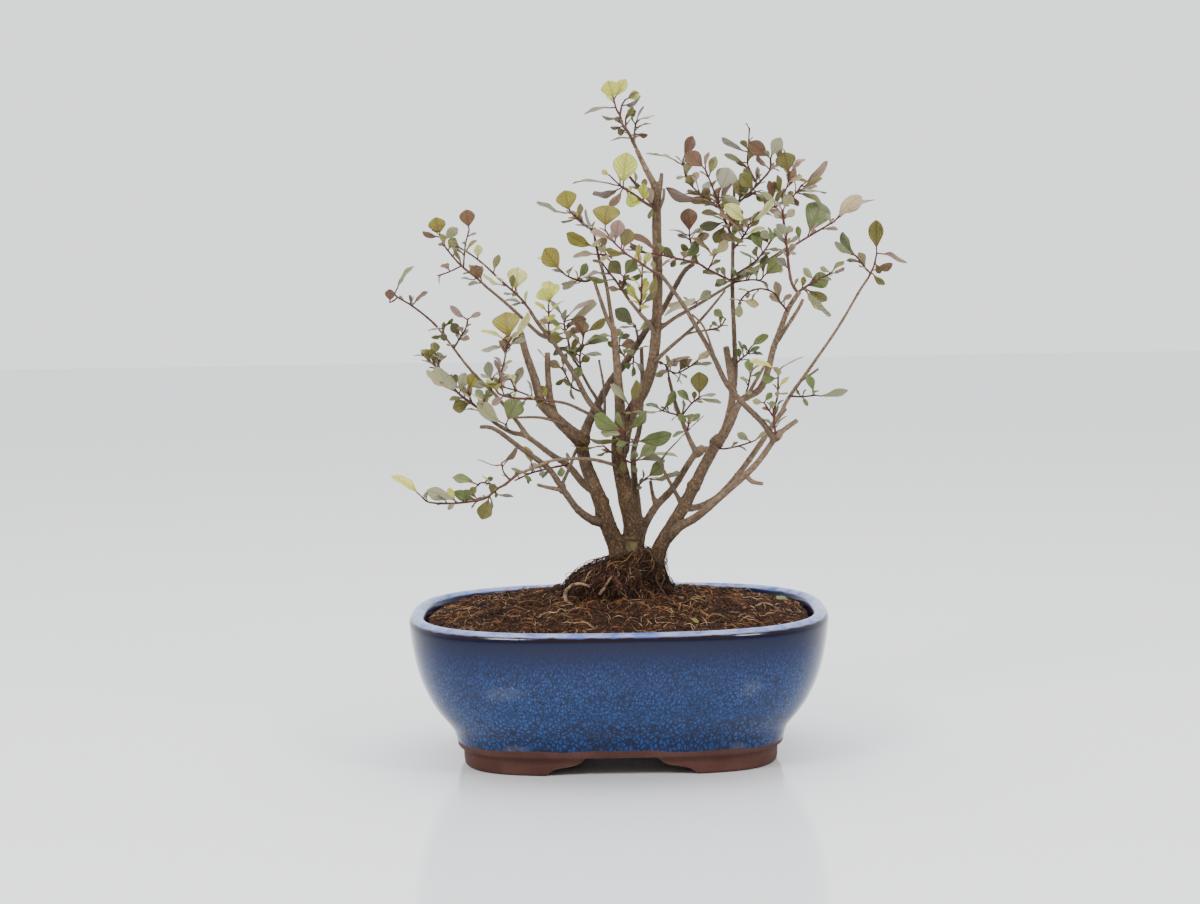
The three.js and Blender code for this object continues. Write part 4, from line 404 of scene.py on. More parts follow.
def make_coir_finish(name, dark, middle, light):
    finish, tree, shader = new_finish(name, 0.9, 0.25)
    spot = place_on(tree)
    patches = add_node(tree, "ShaderNodeTexNoise", {
        "Vector": spot, "Scale": 160.0, "Detail": 6.0, "Roughness": 0.7,
    }).outputs["Fac"]
    specks = noise_in(tree, spot, 1100.0, 3.0)
    ground = graded(tree, patches, [(0.3, dark), (0.5, middle), (0.72, light)])
    speck_share = ranged(tree, specks, 0.42, 0.66, 0.0, 0.75)
    tree.links.new(blended(tree, speck_share, ground, colour(dark)), shader.inputs["Base Color"])
    grain = sum_of(tree, patches, product_of(tree, specks, 0.5))
    bumped(tree, shader, grain, 0.0012, 0.8)
    return finish


def make_fibre_finish(name, stops, roughness=0.75):
    """A finish whose colour is drawn for each strand from the strand's own tone."""
    finish, tree, shader = new_finish(name, roughness, 0.3)
    tone = attribute_of(tree, "tone")
    mottle = noise_in(tree, place_on(tree), 900.0)
    shade = ranged(tree, mottle, 0.3, 0.7, 0.7, 1.1)
    strand = graded(tree, tone, stops)
    shaded = blended(tree, 1.0, strand, shade, "MULTIPLY")
    tree.links.new(shaded, shader.inputs["Base Color"])
    bumped(tree, shader, mottle, 0.0003, 0.5)
    return finish


def tree_with_inputs(name, sockets):
    tree = bpy.data.node_groups.new(name, "GeometryNodeTree")
    for label, kind in sockets:
        tree.interface.new_socket(label, in_out="INPUT", socket_type="NodeSocket" + kind)
    tree.interface.new_socket("Grown", in_out="OUTPUT", socket_type="NodeSocketGeometry")
    return tree, tree.nodes.new("NodeGroupInput").outputs


def turned_on(tree, rotation, angles):
    """A rotation turned further about its own axes."""
    spin = add_node(tree, "FunctionNodeEulerToRotation", {0: angles}).outputs[0]
    turned = add_node(tree, "FunctionNodeRotateRotation", {0: rotation, 1: spin}, rotation_space="LOCAL")
    return turned.outputs[0]


def random_float(tree, low, high, seed, identity=None):
    node = tree.nodes.new("FunctionNodeRandomValue")
    node.data_type = "FLOAT"
    numbers = [socket for socket in node.inputs if socket.type == "VALUE"]
    numbers[0].default_value = low
    numbers[1].default_value = high
    node.inputs["Seed"].default_value = seed
    if identity is not None:
        tree.links.new(identity, node.inputs["ID"])
    return [socket for socket in node.outputs if socket.type == "VALUE"][0]


def spread_points(tree, given):
    """Random points on the upward faces of the ground, above the given height."""
    normal = tree.nodes.new("GeometryNodeInputNormal").outputs[0]
    position = tree.nodes.new("GeometryNodeInputPosition").outputs[0]
    rise = part_of(tree, normal, "Z")
    height = part_of(tree, position, "Z")
    facing_up = number_math(tree, "GREATER_THAN", rise, given["Least rise"])
    high_enough = number_math(tree, "GREATER_THAN", height, given["Lowest"])
    chosen = product_of(tree, facing_up, high_enough)
    return add_node(tree, "GeometryNodeDistributePointsOnFaces", {
        "Mesh": given["Ground"], "Selection": chosen, "Density": given["Density"], "Seed": given["Seed"],
    }).outputs


def make_fibre_tree():
    """Thin curved strands that lie over a ground, run down its slopes and spring off it a little."""
    tree, given = tree_with_inputs("strewn_fibres", [
        ("Ground", "Geometry"), ("Density", "Float"), ("Length", "Float"), ("Radius", "Float"),
        ("Bend", "Float"), ("Spread", "Float"), ("Spring", "Float"), ("Least rise", "Float"),
        ("Lowest", "Float"), ("Seed", "Int"), ("Finish", "Material"),
    ])
    points, normal, _ = spread_points(tree, given)
    strand = add_node(tree, "GeometryNodeCurveQuadraticBezier", {
        "Resolution": 6, "Start": (-0.5, 0.0, 0.0), "Middle": (0.0, 0.28, 0.0), "End": (0.5, 0.0, 0.0),
    }).outputs[0]
    rise = part_of(tree, normal, "Z")
    downhill = vector_math(tree, "ADD", vector_math(tree, "SCALE", normal, scale=rise), (0.0, 0.0, -1.0))
    upright = add_node(tree, "FunctionNodeAlignRotationToVector", {"Vector": normal}, axis="Z")
    pointed = add_node(tree, "FunctionNodeAlignRotationToVector", {
        "Rotation": upright.outputs[0], "Vector": downhill,
    }, axis="X", pivot_axis="Z")
    turn = product_of(tree, random_float(tree, -1.0, 1.0, 3), given["Spread"])
    spin = add_node(tree, "ShaderNodeCombineXYZ", {"Z": turn}).outputs[0]
    turned = turned_on(tree, pointed.outputs[0], spin)
    length = product_of(tree, random_float(tree, 0.35, 1.6, 5), given["Length"])
    laid = add_node(tree, "GeometryNodeInstanceOnPoints", {
        "Points": points, "Instance": strand, "Rotation": turned, "Scale": length,
    }).outputs[0]
    laid = add_node(tree, "GeometryNodeRealizeInstances", {0: laid}).outputs[0]

    position = tree.nodes.new("GeometryNodeInputPosition").outputs[0]
    which = add_node(tree, "GeometryNodeCurveOfPoint").outputs[0]
    own = product_of(tree, which, 7.31)
    wander = add_node(tree, "ShaderNodeTexNoise", {
        "Vector": position, "W": own, "Scale": 110.0, "Detail": 1.0,
    }, noise_dimensions="4D").outputs["Color"]
    wander = vector_math(tree, "SUBTRACT", wander, (0.5, 0.5, 0.5))
    wander = vector_math(tree, "SCALE", wander, scale=given["Bend"])
    laid = add_node(tree, "GeometryNodeSetPosition", {"Geometry": laid, "Offset": wander}).outputs[0]

    ground_normal = tree.nodes.new("GeometryNodeInputNormal").outputs[0]
    beneath = add_node(tree, "GeometryNodeProximity", {0: given["Ground"]}, target_element="FACES").outputs
    slope = add_node(tree, "GeometryNodeSampleNearestSurface", {
        "Mesh": given["Ground"],
    }, data_type="FLOAT_VECTOR")
    tree.links.new(ground_normal, [s for s in slope.inputs if s.type == "VECTOR" and s.enabled][0])
    slope = [socket for socket in slope.outputs if socket.type == "VECTOR" and socket.enabled][0]
    along = add_node(tree, "GeometryNodeSplineParameter").outputs["Factor"]
    arch = product_of(tree, along, number_math(tree, "SUBTRACT", 1.0, along))
    loose = number_math(tree, "POWER", random_float(tree, 0.0, 1.0, 11, which), 4.0)
    lift = product_of(tree, product_of(tree, arch, loose), given["Spring"])
    lift = sum_of(tree, lift, given["Radius"])
    floating = vector_math(tree, "SUBTRACT", position, beneath["Position"])
    kept_height = vector_math(tree, "SCALE", floating, scale=kept_above_ground)
    seated = vector_math(tree, "ADD", beneath["Position"], kept_height)
    seated = vector_math(tree, "ADD", seated, vector_math(tree, "SCALE", slope, scale=lift))
    laid = add_node(tree, "GeometryNodeSetPosition", {"Geometry": laid, "Position": seated}).outputs[0]

    tone = random_float(tree, 0.0, 1.0, 17, which)
    laid = add_node(tree, "GeometryNodeStoreNamedAttribute", {
        "Geometry": laid, "Name": "tone", "Value": tone,
    }, data_type="FLOAT", domain="POINT").outputs[0]
    slim = sum_of(tree, product_of(tree, arch, 3.0), 0.3)
    slim = product_of(tree, slim, random_float(tree, 0.55, 1.35, 23, which))
    laid = add_node(tree, "GeometryNodeSetCurveRadius", {"Curve": laid, "Radius": slim}).outputs[0]
    section = add_node(tree, "GeometryNodeCurvePrimitiveCircle", {"Resolution": 3, "Radius": given["Radius"]})
    radius = add_node(tree, "GeometryNodeInputRadius").outputs[0]
    tubes = add_node(tree, "GeometryNodeCurveToMesh", {
        "Curve": laid, "Profile Curve": section.outputs[0], "Scale": radius, "Fill Caps": True,
    })
    finish_tree(tree, tubes.outputs[0], given["Finish"])
    return tree


def finish_tree(tree, geometry, finish):
    """Every tree ends in plain mesh with its own finish."""
    plain = add_node(tree, "GeometryNodeRealizeInstances", {0: geometry}).outputs[0]
    finished = add_node(tree, "GeometryNodeSetMaterial", {"Geometry": plain, "Material": finish}).outputs[0]
    tree.links.new(finished, tree.nodes.new("NodeGroupOutput").inputs[0])


def make_crumb_tree():
    """Small dented lumps, each of its own size and lie."""
    tree, given = tree_with_inputs("scattered_crumbs", [
        ("Ground", "Geometry"), ("Density", "Float"), ("Crumb size", "Float"), ("Least rise", "Float"),
        ("Lowest", "Float"), ("Seed", "Int"), ("Finish", "Material"),
    ])
    points, _, rotation = spread_points(tree, given)
    crumb = add_node(tree, "GeometryNodeMeshIcoSphere", {"Radius": 1.0, "Subdivisions": 1}).outputs[0]
    stretch = add_node(tree, "ShaderNodeCombineXYZ", {
        "X": random_float(tree, 0.35, 1.5, 31), "Y": random_float(tree, 0.3, 1.0, 32),
        "Z": random_float(tree, 0.25, 0.8, 33),
    }).outputs[0]
    size = vector_math(tree, "SCALE", stretch, scale=given["Crumb size"])
    spin = add_node(tree, "ShaderNodeCombineXYZ", {
        "X": random_float(tree, -0.5, 0.5, 34), "Y": random_float(tree, -0.5, 0.5, 35),
        "Z": random_float(tree, 0.0, 6.28, 36),
    }).outputs[0]
    laid = add_node(tree, "GeometryNodeInstanceOnPoints", {
        "Points": points, "Instance": crumb, "Rotation": turned_on(tree, rotation, spin), "Scale": size,
    }).outputs[0]
    laid = add_node(tree, "GeometryNodeStoreNamedAttribute", {
        "Geometry": laid, "Name": "tone", "Value": random_float(tree, 0.0, 1.0, 37),
    }, data_type="FLOAT", domain="INSTANCE").outputs[0]
    laid = add_node(tree, "GeometryNodeRealizeInstances", {0: laid}).outputs[0]
    position = tree.nodes.new("GeometryNodeInputPosition").outputs[0]
    dents = noise_in(tree, position, 900.0, 1.0, "Color")
    dents = vector_math(tree, "SCALE", vector_math(tree, "SUBTRACT", dents, (0.5, 0.5, 0.5)), scale=0.0009)
    laid = add_node(tree, "GeometryNodeSetPosition", {"Geometry": laid, "Offset": dents}).outputs[0]
    finish_tree(tree, laid, given["Finish"])
    return tree


def grow(name, tree, ground, values):
    """Runs a node tree over a ground piece and keeps the result as plain mesh."""
    piece = bpy.data.objects.new(name, ground.data.copy())
    bpy.context.scene.collection.objects.link(piece)
    modifier = piece.modifiers.new(name, "NODES")
    modifier.node_group = tree
    for item in tree.interface.items_tree:
        if item.in_out == "INPUT" and item.name in values:
            modifier[item.identifier] = values[item.name]
    settle(piece)
    return piece


def make_soil():
    """The pot's filling: rings up the wall, then rings of lumpy soil that close in on the middle."""
    rim = oblong(soil_wall[-1][0], soil_wall[-1][1], soil_sides)
    rings = [oblong(half_length, height, soil_sides) for half_length, height in soil_wall]
    for row in range(1, soil_top_rings + 1):
        share = 1 - row / (soil_top_rings + 1)
        ring = []
        for point in rim:
            x, y = point.x * share, point.y * share
            sunk = 0.5 + soil_sink * share ** 10
            lumps = 1.9 * rough((x, y, 3.0), 6.5, 4) + 1.3 * abs(rough((x, y, 9.0), 2.6, 2))
            ring.append(Vector((x, y, soil_height(x, y) - sunk + lumps * min(1.0, row / rows_to_full_lumps))))
        rings.append(ring)
    points = [point for ring in rings for point in ring]
    damp_coir = make_coir_finish("damp_coir", "120805", "382012", "64402a")
    soil = new_piece("coir_soil", points, skin(rings), [damp_coir])
    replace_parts(soil, "soil")
    return soil


fibre_tree = make_fibre_tree()
crumb_tree = make_crumb_tree()
coir_soil = make_soil()
coir_strands = make_fibre_finish("dry_coir_strands", [
    (0.0, "1c0d07"), (0.3, "4c2b18"), (0.62, "82502f"), (0.86, "bc8a60"), (1.0, "f0d2a8"),
])
coir_fibres = grow("coir_fibres", fibre_tree, coir_soil, {
    "Density": 150000.0, "Length": 0.0085, "Radius": 0.00016, "Bend": 0.0045, "Spread": 3.1416,
    "Spring": 0.0065, "Least rise": least_rise_on_soil, "Lowest": lowest_on_soil, "Seed": 4,
    "Finish": coir_strands,
})
coir_crumbs = grow("coir_crumbs", crumb_tree, coir_soil, {
    "Density": 170000.0, "Crumb size": 0.001, "Least rise": least_rise_on_soil, "Lowest": lowest_on_soil,
    "Seed": 8,
    "Finish": make_fibre_finish("coir_crumb", [
        (0.0, "120804"), (0.5, "3b2316"), (0.85, "67422b"), (1.0, "a07c5c"),
    ], 0.9),
})
for piece in (coir_soil, coir_fibres, coir_crumbs):
    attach(piece, "root")

# Root ball. The plant's own ball of fine roots, lifted from its nursery pot and set in the coir: dark peat
# held by matted roots. It stands proud of the soil, steep on the right and trailing to the left.
root_ball_rings = [
    (0.0, 25.0, 21.0, 64.0), (-0.5, 25.0, 21.0, 80.0), (-0.2, 22.6, 18.5, 85.5), (4.0, 18.0, 14.5, 90.0),
    (12.0, 8.5, 7.5, 97.0), (13.0, 0.6, 0.6, 98.4),
]
root_ball_sides = 96
root_ball_rows_per_span = 9
lowest_root_fibre = 0.0735
lowest_root_crumb = 0.0745
surface_roots = [
    ([(2, -5, 92), (-4, -9, 88), (-12, -13, 84), (-20, -14, 80), (-27, -15, 76.5)], 1.5, 0.8),
    ([(6, -6, 93), (4, -12, 88), (1, -17, 83), (-4, -21, 78), (-7, -24, 75)], 1.7, 0.8),
    ([(14, -5, 95), (17, -10, 89), (19, -15, 84), (22, -19, 79), (25, -22, 75)], 1.6, 0.7),
    ([(19, -1, 93), (23, -4, 87), (25, -6, 81), (29, -8, 76)], 1.4, 0.7),
    ([(0, 3, 91), (-8, 6, 88), (-16, 9, 84), (-23, 13, 79), (-28, 14, 75)], 1.4, 0.7),
    ([(15, 6, 94), (19, 10, 88), (22, 15, 82), (25, 18, 77)], 1.5, 0.7),
    ([(7, 6, 93), (4, 12, 88), (2, 18, 82), (0, 22, 77)], 1.5, 0.7),
    ([(-3, -2, 90), (-11, -4, 88.5), (-17, -2, 86), (-24, -3, 81), (-30, -6, 76)], 1.2, 0.6),
]
pale_roots = [
    ([(-22, -24, 76), (-24.6, -24, 78), (-25.2, -23.5, 81), (-23.6, -22.5, 84), (-20.6, -21, 85.4),
      (-17, -19, 85), (-13.8, -17.6, 83.6)], 2.0, 1.3),
    ([(-9, -20, 80.2), (-7, -21, 83), (-5, -21.4, 86), (-3.4, -21, 88.6)], 1.5, 1.0),
]


def root_ball_ring(row, centre, half_length, half_depth, height):
    """One uneven ring of the ball, with strands and swellings standing out of it."""
    ring = []
    for side in range(root_ball_sides):
        turn = 2 * math.pi * side / root_ball_sides
        uneven = 1 + 0.055 * math.sin(5 * turn + 1.9 * row) + 0.035 * math.sin(9 * turn - 2.6 * row)
        point = Vector((
            centre + half_length * uneven * math.cos(turn), half_depth * uneven * math.sin(turn), height,
        ))
        strands = rough((turn * 9.0, row * 0.9, 4.0), 1.0, 3)
        swell = 0.9 * strands + 1.1 * rough(point, 6.0, 3)
        outward = Vector((math.cos(turn), math.sin(turn), 0.5))
        ring.append(point + outward * swell * min(1.0, half_length / 6))
    return ring


def tube(route, diameters, sides, steps=4):
    """Rings of a round limb on a smooth line, which tapers through its diameters, with its centre line."""
    line = eased(route, steps)
    lengths = [0.0]
    for step in range(1, len(line)):
        lengths.append(lengths[-1] + (line[step] - line[step - 1]).length)
    across = Vector((0.31, -0.92, 0.24))
    rings = []
    centres = []
    for step, point in enumerate(line):
        along = (line[min(step + 1, len(line) - 1)] - line[max(step - 1, 0)]).normalized()
        across = (across - along * across.dot(along)).normalized()
        aside = along.cross(across)
        place = lengths[step] / lengths[-1] * (len(diameters) - 1)
        span = min(int(place), len(diameters) - 2)
        radius = (diameters[span] + (diameters[span + 1] - diameters[span]) * (place - span)) / 2
        turns = [2 * math.pi * side / sides for side in range(sides)]
        rings.append([point + (across * math.cos(turn) + aside * math.sin(turn)) * radius for turn in turns])
        centres.append((point, along, across, radius, lengths[step]))
    return rings, centres


def rounded_end(rings, centres, last=True):
    """Closes a tube's end in a low dome."""
    point, along, _, radius, _ = centres[-1] if last else centres[0]
    ring = rings[-1] if last else rings[0]
    sign = 1 if last else -1
    caps = []
    for angle in (0.6, 1.1, 1.45):
        rise = along * sign * radius * 0.8 * math.sin(angle)
        caps.append([point + (spot - point) * math.cos(angle) + rise for spot in ring])
    return rings + caps if last else list(reversed(caps)) + rings


def make_root_ball():
    rings = []
    spans = len(root_ball_rings) - 1
    for step in range(spans * root_ball_rows_per_span + 1):
        row = step / root_ball_rows_per_span
        low = min(int(row), spans - 1)
        share = row - low
        values = [a + (b - a) * share for a, b in zip(root_ball_rings[low], root_ball_rings[low + 1])]
        rings.append(root_ball_ring(row, *values))
    points = [point for ring in rings for point in ring]
    peat = make_coir_finish("rooty_peat", "110a07", "291910", "4c3222")
    ball = new_piece("root_mat", points, skin(rings), [peat])
    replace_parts(ball, "root_ball")
    return ball


def make_surface_roots(name, roots, finish, wobble):
    """Thicker roots that run over the ball, knobbly and a little wandering."""
    points = []
    faces = []
    for index, (route, thick, thin) in enumerate(roots):
        rings, centres = tube(route, [thick, (thick + thin) / 2, thin], 10, 7)
        for row, ring in enumerate(rings):
            step = row * 0.5
            shift = Vector((
                rough((step, index, 1.0), 2.0),
                rough((step, index, 5.0), 2.0),
                0.6 * rough((step, index, 9.0), 2.0),
            )) * wobble
            size = 1 + 0.22 * rough((row * 0.8, index, 20.0), 1.5)
            centre = centres[row][0]
            rings[row] = [centre + (spot - centre) * size + shift for spot in ring]
        rings = rounded_end(rings, centres)
        faces += skin(rings, len(points))
        points += [spot for ring in rings for spot in ring]
    return new_piece(name, points, faces, [finish])


def make_root_bark(name, dark, light):
    finish, tree, shader = new_finish(name, 0.8)
    patches = noise_in(tree, place_on(tree), 420.0, 5.0)
    share = ranged(tree, patches, 0.36, 0.66)
    tree.links.new(blended(tree, share, colour(dark), colour(light)), shader.inputs["Base Color"])
    bumped(tree, shader, patches, 0.0006, 0.7)
    return finish


root_mat = make_root_ball()
root_pieces = [
    root_mat,
    grow("root_fibres", fibre_tree, root_mat, {
        "Density": 420000.0, "Length": 0.012, "Radius": 0.00017, "Bend": 0.005, "Spread": 1.0,
        "Spring": 0.011, "Least rise": -0.2, "Lowest": lowest_root_fibre, "Seed": 12,
        "Finish": make_fibre_finish("root_strands", [
            (0.0, "1e120c"), (0.4, "3c261a"), (0.7, "6a452f"), (0.9, "946a4c"), (1.0, "c09c78"),
        ]),
    }),
    grow("root_crumbs", crumb_tree, root_mat, {
        "Density": 330000.0, "Crumb size": 0.0011, "Least rise": -0.1, "Lowest": lowest_root_crumb,
        "Seed": 15,
        "Finish": make_fibre_finish("peat_crumb", [
            (0.0, "120a07"), (0.5, "2c1a11"), (0.85, "543524"), (1.0, "8a6448"),
        ], 0.9),
    }),
    grow("clinging_coir", fibre_tree, root_mat, {
        "Density": 110000.0, "Length": 0.0085, "Radius": 0.00017, "Bend": 0.005, "Spread": 3.1416,
        "Spring": 0.006, "Least rise": 0.0, "Lowest": lowest_root_fibre, "Seed": 21, "Finish": coir_strands,
    }),
    make_surface_roots(
        "dark_roots", surface_roots, make_root_bark("dark_root_bark", "1c110b", "4a3122"), wobble=0.8,
    ),
    make_surface_roots(
        "pale_roots", pale_roots, make_root_bark("pale_root_bark", "6f5138", "c0a182"), wobble=0.3,
    ),
]
for piece in root_pieces:
    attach(piece, "root")

